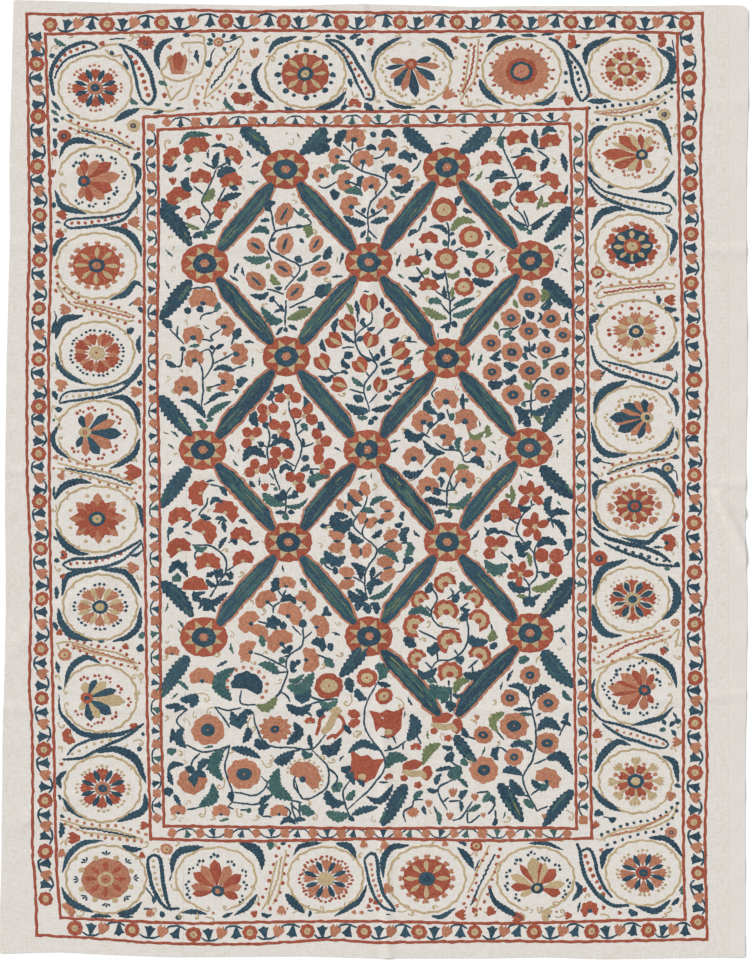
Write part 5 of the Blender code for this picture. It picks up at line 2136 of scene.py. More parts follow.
            (299, 626, 302, 624, 304, 619, 8), (283, 657, 282, 660, 280, 664, 6),
            (288, 645, 290, 649, 292, 645, 7), (281, 652, 285, 651, 290, 652, 5),
            (258, 664, 270, 668, 279, 674, 9), (292, 660, 292, 666, 291, 670, 6),
            (290, 670, 294, 671, 297, 670, 4), (296, 660, 298, 662, 300, 660, 5),
            (287, 686, 302, 689, 314, 672, 12), (288, 680, 295, 680, 304, 674, 6),
            (294, 694, 304, 698, 310, 689, 8), (273, 615, 276, 622, 280, 619, 9),
            (279, 624, 284, 626, 287, 625, 7), (270, 590, 275, 588, 277, 577, 10),
            (281, 602, 289, 598, 296, 604, 7), (268, 617, 270, 624, 277, 630, 7),
            (265, 626, 268, 626, 271, 625, 5), (299, 579, 304, 581, 307, 588, 6),
            (262, 634, 262, 640, 263, 647, 7), (265, 630, 266, 634, 268, 636, 4),
            (311, 643, 321, 643, 322, 652, 9), (327, 606, 326, 612, 332, 615, 6),
            (321, 615, 325, 613, 328, 613, 4), (325, 658, 330, 664, 334, 667, 9),
            (328, 643, 331, 647, 330, 651, 7),
        ),
        curls=(
            (253, 604, 80, 6, 1), (262, 615, 30, 8, 1), (304, 612, 60, 10, -1), (263, 654, 60, 6, -1),
            (251, 661, -60, 7, 1), (240, 662, 0, 6, 1), (320, 669, 10, 8, 1), (305, 589, 0, 7, -1),
        ),
    ),
    # Sixth row, right opening
    Spray(
        heads=(
            (Head.HORSESHOE, M, (
                (445, 583, 125, 1.05), (420, 600, 140, 0.9), (474, 599, 50, 0.92), (446, 611, 90, 1.15),
                (414, 626, 160, 1.12), (479, 620, 45, 1.05), (449, 641, 125, 1.2), (417, 659, 150, 0.95),
                (480, 655, 60, 1.05), (450, 673, 90, 1.15),
            )),
        ),
        stems=(
            (432, 668, 438, 661, 455, 658, 468, 640, 466, 612), (438, 661, 436, 650, 434, 645),
            (458, 655, 454, 650), (432, 668, 425, 662), (430, 674, 437, 683), (437, 640, 419, 630),
            (459, 629, 440, 626, 431, 614, 437, 598, 430, 586), (426, 606, 431, 611),
            (450, 588, 453, 594, 447, 599), (455, 595, 464, 588), (460, 609, 468, 603),
            (470, 645, 475, 641), (478, 660, 468, 668), (472, 666, 473, 673), (449, 686, 449, 680),
            (491, 624, 493, 631), (451, 704, 451, 690),
        ),
        leaves=(
            (459, 618, 464, 619, 468, 612, 9), (427, 647, 433, 650, 436, 642, 9),
            (456, 657, 460, 661, 463, 656, 8), (417, 669, 425, 676, 437, 668, 8),
            (426, 679, 431, 681, 436, 680, 5), (425, 588, 429, 590, 431, 582, 8),
            (408, 614, 420, 610, 431, 617, 8), (453, 595, 457, 598, 460, 598, 9),
            (462, 581, 464, 590, 473, 586, 8), (460, 607, 465, 610, 470, 609, 5),
            (472, 635, 474, 643, 488, 641, 10), (463, 674, 475, 677, 485, 669, 8),
            (472, 674, 475, 678, 476, 681, 6), (466, 673, 467, 677, 466, 680, 5),
            (429, 685, 440, 695, 452, 688, 13), (452, 694, 459, 696, 466, 693, 5),
            (441, 703, 445, 697, 450, 696, 7), (446, 702, 452, 706, 456, 703, 10),
            (404, 637, 409, 643, 416, 647, 10), (490, 649, 494, 645, 497, 643, 7),
        ),
        olive=(
            (470, 680, 459, 683, 454, 694, 8), (487, 637, 492, 637, 493, 629, 8),
        ),
        curls=(
            (427, 628, 40, 9, 1), (459, 624, 70, 7, 1), (442, 626, 80, 5, 1), (419, 640, 40, 8, -1),
            (408, 660, 0, 5, 1),
        ),
    ),
)

# The low field's scrolls, placed in the same way
LOW_SPRAYS = (
    # Low field, left third
    Spray(
        heads=(
            (Head.DAISY, S, ((208, 730, 0, 1.55), (244, 774, 0, 1.55))),
            (Head.STAR, S, ((275, 729, 0, 1.3),)),
            (Head.FAN, S, (
                (202, 678, 90, 1.1), (172, 652, 90, 0.65), (178, 811, 90, 0.72), (221, 812, 90, 0.8),
                (279, 812, 90, 0.8),
            )),
            (Head.FRINGED, B, ((247, 685, 75, 1),)),
        ),
        stems=(
            (241, 690, 241, 703, 256, 705), (276, 697, 282, 691), (187, 709, 177, 720, 182, 729),
            (186, 745, 205, 752, 230, 746), (215, 707, 228, 710, 241, 708), (215, 707, 230, 727),
            (254, 714, 256, 726, 268, 745, 300, 748), (230, 746, 225, 768, 232, 790, 233, 800, 228, 807),
            (230, 745, 222, 752), (261, 776, 267, 784, 256, 795, 234, 792),
            (267, 787, 272, 794, 256, 804, 232, 802), (292, 751, 300, 750),
            (191, 770, 192, 762, 200, 753), (206, 769, 214, 769), (200, 807, 187, 810),
            (228, 807, 234, 809), (262, 816, 272, 817), (240, 810, 249, 810),
            (285, 807, 290, 811, 289, 820), (292, 800, 293, 812, 298, 824),
            (297, 770, 294, 785, 303, 799), (292, 800, 302, 803),
        ),
        leaves=(
            (235, 667, 216, 682, 231, 701, 13), (180, 700, 190, 699, 197, 694, 8),
            (197, 694, 194, 701, 190, 707, 8), (165, 706, 172, 706, 180, 704, 5.5),
            (174, 712, 181, 708, 188, 710, 5), (183, 727, 178, 738, 186, 748, 9),
            (172, 728, 172, 735, 170, 743, 5), (167, 749, 171, 751, 176, 749, 7),
            (231, 711, 238, 722, 245, 710, 11), (244, 709, 249, 713, 254, 713, 6),
            (258, 738, 258, 745, 270, 748, 11), (248, 727, 248, 735, 243, 743, 8),
            (294, 722, 300, 733, 287, 745, 10), (222, 748, 212, 765, 222, 781, 12),
            (232, 791, 231, 796, 233, 801, 6), (231, 748, 246, 752, 261, 758, 8),
            (260, 806, 264, 801, 272, 795, 6), (279, 768, 276, 786, 292, 800, 13),
            (274, 762, 283, 758, 294, 751, 11), (167, 771, 173, 764, 184, 764, 6),
            (168, 770, 170, 778, 173, 785, 5.5), (163, 790, 168, 791, 173, 789, 9),
            (174, 794, 177, 799, 181, 806, 5), (198, 770, 203, 762, 210, 761, 8),
            (213, 783, 214, 798, 199, 807, 11), (262, 816, 263, 809, 269, 804, 6),
            (246, 809, 249, 812, 251, 809, 5), (280, 824, 288, 819, 296, 824, 6),
            (188, 690, 180, 682, 175, 684, 4),
        ),
        olive=(
            (256, 705, 266, 706, 277, 697, 9),
        ),
        curls=(
            (197, 694, 10, 17, -1), (194, 706, 40, 10, 1), (217, 708, 170, 14, 1),
            (251, 717, -120, 18, 1), (178, 750, -20, 8, -1), (229, 753, 0, 7, 1), (262, 760, -70, 14, 1),
            (270, 755, -40, 9, -1), (223, 777, -70, 16, -1), (205, 808, -80, 12, -1), (170, 820, 0, 9, 1),
            (210, 820, 0, 7, 1), (237, 808, -100, 12, 1), (253, 820, 0, 9, 1), (162, 660, 0, 8, 1),
            (213, 655, -30, 9, 1), (165, 721, 30, 7, 1),
        ),
    ),
    # Low field, middle
    Spray(
        heads=(
            (Head.COIN, M, ((329, 686, 0, 1.45), (367, 678, 0, 1.08), (384, 696, 0, 0.93))),
            (Head.FRINGED, S, ((305, 776, 55, 1.05),)),
            (Head.BELL, M, ((364, 769, 75, 1.2), (388, 724, 95, 1.2))),
            (Head.CARNATION, M, ((310, 721, 90, 0.5), (389, 777, 100, 0.42), (416, 747, 90, 0.5))),
        ),
        stems=(
            (379, 680, 366, 705, 366, 730, 385, 760, 375, 783, 347, 810), (310, 697, 320, 700, 338, 699),
            (311, 704, 322, 701), (303, 709, 312, 716), (290, 747, 311, 749, 326, 735),
            (309, 736, 312, 747), (311, 749, 328, 768, 325, 789, 303, 799, 295, 780),
            (328, 768, 337, 776, 336, 783), (350, 779, 343, 795, 351, 820),
            (290, 803, 299, 812, 300, 820), (300, 802, 299, 813), (392, 733, 396, 743),
            (384, 751, 395, 748, 406, 741), (415, 733, 421, 744), (379, 782, 388, 782),
            (403, 744, 403, 750),
        ),
        leaves=(
            (349, 677, 348, 685, 352, 693, 10), (357, 688, 360, 696, 367, 699, 8),
            (375, 665, 383, 671, 379, 680, 10), (377, 682, 384, 684, 391, 686, 5.5),
            (294, 696, 303, 698, 310, 690, 8), (320, 701, 328, 706, 338, 700, 8),
            (286, 704, 299, 711, 312, 704, 9), (316, 711, 319, 713, 320, 718, 7),
            (318, 712, 323, 710, 328, 709, 5), (343, 725, 347, 729, 351, 734, 6),
            (309, 734, 311, 741, 312, 749, 5), (302, 750, 307, 755, 313, 754, 7),
            (320, 746, 331, 751, 341, 738, 11), (331, 787, 336, 787, 342, 783, 10),
            (334, 783, 337, 787, 337, 791, 7), (327, 790, 333, 801, 345, 803, 10),
            (327, 756, 329, 756, 331, 754, 4), (345, 799, 350, 797, 355, 790, 7),
            (348, 820, 351, 817, 354, 821, 6), (326, 812, 338, 818, 350, 814, 10),
            (351, 815, 364, 811, 378, 807, 7), (301, 806, 308, 812, 315, 812, 10),
            (293, 821, 299, 818, 306, 820, 5), (341, 767, 346, 770, 352, 767, 8),
            (345, 775, 350, 776, 353, 772, 7), (352, 775, 353, 780, 355, 785, 5),
            (357, 780, 361, 783, 364, 787, 6), (348, 753, 362, 743, 380, 750, 8),
            (407, 741, 416, 728, 411, 714, 12), (386, 768, 393, 756, 408, 759, 11),
            (389, 745, 390, 748, 391, 750, 4), (366, 796, 380, 800, 393, 784, 7),
        ),
        curls=(
            (351, 694, -80, 16, -1), (395, 697, -20, 16, -1), (355, 732, 20, 8, -1),
            (353, 733, -70, 8, 1), (318, 757, 20, 9, -1), (328, 762, -20, 9, 1), (305, 800, 0, 9, -1),
            (312, 811, -30, 12, -1), (336, 655, -30, 9, 1),
        ),
    ),
    # Low field, right third
    Spray(
        heads=(
            (Head.DAISY, S, (
                (484, 770, 0, 1.35), (483, 735, 0, 0.92), (510, 698, 0, 0.9), (530, 675, 0, 0.98),
                (548, 703, 0, 1.02), (514, 726, 0, 1.35), (547, 743, 0, 1.1), (514, 757, 0, 0.92),
            )),
            (Head.FAN, S, ((548, 779, 60, 1.15),)),
            (Head.STAR, S, ((413, 812, 0, 0.5),)),
            (Head.BUD, S, (
                (429, 807, 90, 0.85), (453, 797, 90, 1), (450, 820, 90, 0.9), (475, 801, 90, 0.85),
                (483, 818, 90, 0.6), (544, 819, 90, 0.6), (477, 720, 90, 0.6),
            )),
        ),
        stems=(
            (537, 811, 523, 780, 533, 758, 536, 732, 529, 697, 530, 686), (537, 811, 548, 806),
            (523, 775, 503, 772), (530, 796, 524, 795), (541, 788, 531, 795), (534, 764, 546, 759),
            (500, 747, 508, 753), (559, 736, 566, 722, 568, 715), (536, 716, 541, 713),
            (531, 706, 536, 699), (468, 736, 475, 739), (497, 732, 504, 740),
            (405, 822, 404, 812, 412, 806, 414, 800, 423, 800), (434, 806, 440, 822),
            (424, 806, 425, 812), (452, 748, 451, 753), (450, 761, 460, 768), (436, 770, 455, 768),
            (457, 778, 438, 789, 447, 810), (443, 802, 449, 797), (449, 801, 461, 801),
            (453, 820, 462, 817, 472, 801), (468, 810, 468, 823, 480, 815), (477, 793, 488, 791),
            (488, 814, 495, 805, 492, 799), (495, 810, 496, 822),
        ),
        leaves=(
            (502, 772, 512, 770, 522, 774, 6.5), (510, 779, 515, 790, 525, 795, 10),
            (524, 799, 529, 805, 534, 808, 7), (546, 759, 561, 756, 573, 775, 10),
            (498, 760, 495, 753, 500, 747, 7), (510, 746, 521, 743, 533, 752, 7),
            (525, 740, 529, 742, 533, 744, 4.5), (537, 731, 547, 721, 561, 730, 10),
            (560, 722, 566, 723, 571, 726, 5), (566, 720, 565, 716, 569, 713, 5),
            (513, 710, 522, 709, 531, 709, 4.5), (519, 713, 527, 714, 534, 715, 4),
            (508, 686, 520, 687, 529, 697, 7), (533, 699, 540, 690, 551, 689, 10),
            (520, 664, 523, 658, 530, 659, 8), (563, 690, 565, 697, 572, 701, 5.5),
            (531, 780, 537, 784, 542, 789, 7), (539, 789, 545, 788, 549, 784, 8),
            (413, 799, 417, 794, 423, 791, 6), (437, 811, 440, 817, 440, 825, 5.5),
            (424, 806, 424, 811, 426, 815, 4.5), (442, 746, 447, 749, 453, 747, 5.5),
            (444, 758, 449, 758, 453, 752, 9), (460, 760, 464, 762, 467, 766, 7),
            (447, 775, 455, 772, 460, 765, 12), (435, 771, 445, 769, 455, 768, 4.5),
            (436, 785, 436, 779, 441, 773, 6), (427, 789, 433, 792, 439, 790, 5),
            (457, 779, 462, 780, 468, 787, 5), (461, 800, 463, 795, 468, 790, 6.5),
            (460, 801, 461, 806, 461, 812, 4.5), (468, 811, 474, 809, 481, 805, 6),
            (488, 791, 488, 797, 482, 802, 6.5), (487, 800, 492, 797, 495, 804, 6),
            (494, 818, 496, 822, 492, 825, 5), (463, 727, 465, 733, 469, 737, 6.5),
        ),
        olive=(
            (423, 765, 430, 751, 441, 744, 9), (504, 712, 493, 721, 498, 733, 8),
        ),
        curls=(
            (536, 663, 80, 10, -1), (493, 705, 30, 7, 1), (546, 757, 0, 6, 1), (497, 746, 30, 6, 1),
            (504, 822, 0, 10, 1), (566, 810, -20, 14, -1), (470, 720, -10, 10, 1), (476, 725, 80, 6, 1),
            (488, 718, 0, 6, 1), (470, 765, 60, 5, 1),
        ),
    ),
)


class Part(Enum):
    """The kinds of shape that are worked round a flower's centre."""

    DISC = "disc"
    FAN = "fan"
    PETAL = "petal"
    HEART = "heart"
    KNOB = "knob"
    TRIO = "trio"
    CROWN = "crown"
    TRIDENT = "trident"


# The parts that spread towards their end: lobes, neck's share of the width, notches' depth
LOBED_PARTS = {
    Part.FAN: (3, 0.16, 0.16),
    Part.HEART: (2, 0.5, 0.22),
    Part.CROWN: (3, 0.28, 0.40),
}

# How much a roundel's flower is drawn in along the cloth, as its ring is
RING_SQUEEZE = 0.86
# How deep a ring's waves are and how far it is out of round, as shares of its size
RING_WAVE = 0.014
RING_SWAY = 0.010
# How many points a ring's line has
RING_POINTS = 96
# The curls at an open ring's ends and along a closed one, in squares
OPEN_CURL = 9
CLOSED_CURL = 3.6
# What a ring keeps free of fillers: steps from its middle, and a share of its height
KEPT_STEPS = (-0.42, 0.0, 0.42)
KEPT_SHARE = 0.86
# A half flower's petals: how far towards their tips they are fullest, and how they overlap
HALF_PETAL_FULLNESS = 1.9
HALF_PETAL_TIER = 0.7
# The knots beyond its petals: gap, middle knot's rise and the outer knots' spread, in squares
KNOT_GAP = 2.6
KNOT_RISE = 2.0
KNOT_SPREAD = 3.3
# Its root: half its width and height, and the size of the root's heart, in squares
ROOT_ACROSS = 6.4
ROOT_ALONG = 5.6
ROOT_HEART = 3.0
# A trident's side prongs lean by this, in degrees
TRIDENT_LEAN = 42
# A disc is worked in two rings of stitches from this size, in squares
LARGE_DISC = 12
# How far an open ring stops short of its opening's middle on either side, in degrees
RING_OPENING = 20
# Where a closed ring's small curls spring from it, as shares of its length
RING_CURLS = (0.12, 0.40, 0.68)
# A tooth's length on a roundel's leaves and on a divider's edges, in squares
CRESCENT_TOOTH = 4.2
EDGE_TOOTH = 3.6
# The length of one slanting stitch of a divider's twist, in squares
TWIST_STEP = 2.6


@dataclass(frozen=True)
class Whorl:
    """One kind of shape worked round a flower's centre.

    Attributes:
        part: the shape.
        thread: its thread.
        root: how far from the centre it starts, in squares; a disc's size.
        length: how far it reaches from there; a knob's size.
        width: how wide it is; how far three knobs stand apart.
        turn: how far the shapes are turned, as a share of the gap between two.
        count: how many there are; a disc's scallops.
        tier: how many layers of thread they lie on.
    """

    part: Part
    thread: Thread
    root: float
    length: float = 0.0
    width: float = 0.0
    turn: float = 0.0
    count: int = 8
    tier: float = 0.0

    def outlines(self) -> list[Line]:
        """Return the shape's edges, which point to the right from its root."""
        if self.part in LOBED_PARTS:
            lobes, neck, depth = LOBED_PARTS[self.part]
            return [fan_outline(self.length, self.width, lobes, neck, depth)]
        if self.part is Part.KNOB:
            return [disc_outline(self.length, self.length * 0.95, 8)]
        if self.part is Part.TRIO:
            return [
                disc_outline(self.length, self.length, 7) + 1j * side * self.width - 0.9 * abs(side)
                for side in (-1, 0, 1)
            ]
        if self.part is Part.TRIDENT:
            prong = petal_outline(self.length, self.width)
            return [prong * turned(side * TRIDENT_LEAN) for side in (-1, 0, 1)]
        return [petal_outline(self.length, self.width, 1.35)]

    def stitch(self, needle: Needle, centre: complex, squeeze: float) -> None:
        """Work the shapes, drawn in along the cloth like their ring."""
        if self.part is Part.DISC:
            rings = 2 if self.root > LARGE_DISC else 1
            needle.disc(self.thread, centre, self.root, self.root * squeeze, lobes=self.count,
                        depth=0.02, tier=self.tier, rings=rings)
            return
        for i in range(self.count):
            angle = (i + self.turn) * 360 / self.count + needle.between(-3, 3)
            swell = needle.between(0.93, 1.07)
            for outline in self.outlines():
                placed = squeezed((self.root + outline * swell) * turned(angle), squeeze)
                needle.pad(self.thread, placed, centre, 0.0, self.tier, grain=angle)


@dataclass(frozen=True)
class Roundel:
    """A wavy gold ring on the border with a flower in it.

    Attributes:
        across: the ring's middle on the chart.
        down: the same, downwards.
        half_across: half the ring's width, in squares.
        half_along: half its height.
        whorls: a round flower's shapes, from the outside in.
        petals: a half flower's petals, red or light by turns: each tip's place and the width.
        root: where the half flower springs from.
        first: the thread of its first petal and of every other one.
        second: the thread of those between.
        base: the thread of its root.
        tips: the thread of the knots beyond its petals.
        open_at: the direction in which its ring opens, in degrees.
        waves: how many waves the ring has.
        line_half: half the width of its gold line.
    """

    across: float
    down: float
    half_across: float
    half_along: float
    whorls: tuple[Whorl, ...] = ()
    petals: tuple[tuple[float, float, float], ...] = ()
    root: tuple[float, float] = (0.0, 0.0)
    first: Thread = M
    second: Thread = S
    base: Thread = B
    tips: Thread = B
    open_at: float = 0.0
    waves: int = 19
    line_half: float = 1.25

    def stitch(self, needle: Needle) -> None:
        """Work the ring and the flower in it."""
        centre = spot(self.across, self.down)
        self.stitch_ring(needle, centre)
        for whorl in self.whorls:
            whorl.stitch(needle, centre, RING_SQUEEZE)
        if self.petals:
            self.stitch_petals(needle)

    def stitch_ring(self, needle: Needle, centre: complex) -> None:
        """Work the gold ring, open where a half flower springs from it."""
        gap = RING_OPENING if self.petals else 0
        angles = np.linspace(self.open_at + gap, self.open_at + 360 - gap, RING_POINTS, endpoint=bool(gap))
        swell = 1 + RING_WAVE * np.cos(np.radians(angles * self.waves))
        swell = swell + RING_SWAY * np.sin(np.radians(angles * 3))
        line = centre + swell * (
            self.half_across * np.cos(np.radians(angles)) + 1j * self.half_along * np.sin(np.radians(angles))
        )
        width = self.line_half * needle.chance.uniform(0.8, 1.15, len(line))
        needle.basket.layer(needle.region, G).band(line, width, closed=not gap)
        needle.basket.claims.claim(line, self.line_half + 0.6)
        if gap:
            needle.curl(line[0], self.open_at - 60, OPEN_CURL, -1, half=0.75)
            needle.curl(line[-1], self.open_at + 60, OPEN_CURL, 1, half=0.75)
        else:
            for share in RING_CURLS:
                place = line[int(share * len(line))]
                inward = math.degrees(cmath.phase(centre - place))
                needle.curl(place, inward + 70, CLOSED_CURL, -1, half=0.6)
        for step in KEPT_STEPS:
            needle.basket.claims.claim(centre + step * self.half_across, self.half_along * KEPT_SHARE)

    def stitch_petals(self, needle: Needle) -> None:
        """Work a half flower: its petals from the sides inwards, then its root."""
        root = spot(*self.root)
        last = len(self.petals) - 1
        for i in sorted(range(last + 1), key=lambda i: -abs(i - last / 2)):
            across, down, width = self.petals[i]
            reach = spot(across, down) - root
            angle = math.degrees(cmath.phase(reach))
            tier = HALF_PETAL_TIER * (1 - abs(2 * i / last - 1))
            thread = self.first if i % 2 == 0 else self.second
            needle.petal(thread, root, angle, abs(reach), width, tier, HALF_PETAL_FULLNESS)
            tip = root + (abs(reach) + KNOT_GAP) * turned(angle)
            for side in (-1, 0, 1):
                place = tip + (KNOT_RISE * (side == 0) + 1j * side * KNOT_SPREAD) * turned(angle)
                needle.dot(self.tips, place, needle.between(1.5, 2.1))
        heart = self.second if self.base is not self.second else self.first
        needle.disc(self.base, root, ROOT_ACROSS, ROOT_ALONG, tier=2)
        needle.disc(heart, root, ROOT_HEART, tier=3)


def fans(outer: Thread, between: Thread, tips: Thread, ring: Thread, eye: Thread,
         turn: float = 0.0) -> tuple[Whorl, ...]:
    """Return a flower of eight fans with slim petals between and knots at the tips."""
    return (
        Whorl(Part.FAN, outer, 8.5, 16.0, 11.4, turn),
        Whorl(Part.PETAL, between, 7.0, 16.0, 6.0, turn + 0.5, tier=0.5),
        Whorl(Part.TRIO, tips, 26.4, 1.9, 4.6, turn),
        Whorl(Part.DISC, ring, 8.0, count=8, tier=2),
        Whorl(Part.DISC, eye, 4.8, count=6, tier=3),
        Whorl(Part.KNOB, ring, 0.0, 1.1, count=1, tier=4),
    )


def rayed(disc: Thread, rays: Thread, ring: Thread, eye: Thread, tips: Thread,
          knob: Part = Part.CROWN) -> tuple[Whorl, ...]:
    """Return a full disc with eight rays and sixteen knobs on its rim."""
    size = 6.6 if knob is Part.CROWN else 2.4
    return (
        Whorl(knob, tips, 23.0 if knob is Part.CROWN else 27.5, size, 7.0, count=16),
        Whorl(Part.DISC, disc, 24.0, count=16),
        Whorl(Part.PETAL, rays, 7.0, 15.5, 5.4, tier=1),
        Whorl(Part.DISC, ring, 8.4, count=8, tier=2),
        Whorl(Part.DISC, eye, 4.6, count=6, tier=3),
        Whorl(Part.KNOB, ring, 0.0, 1.2, count=1, tier=4),
    )


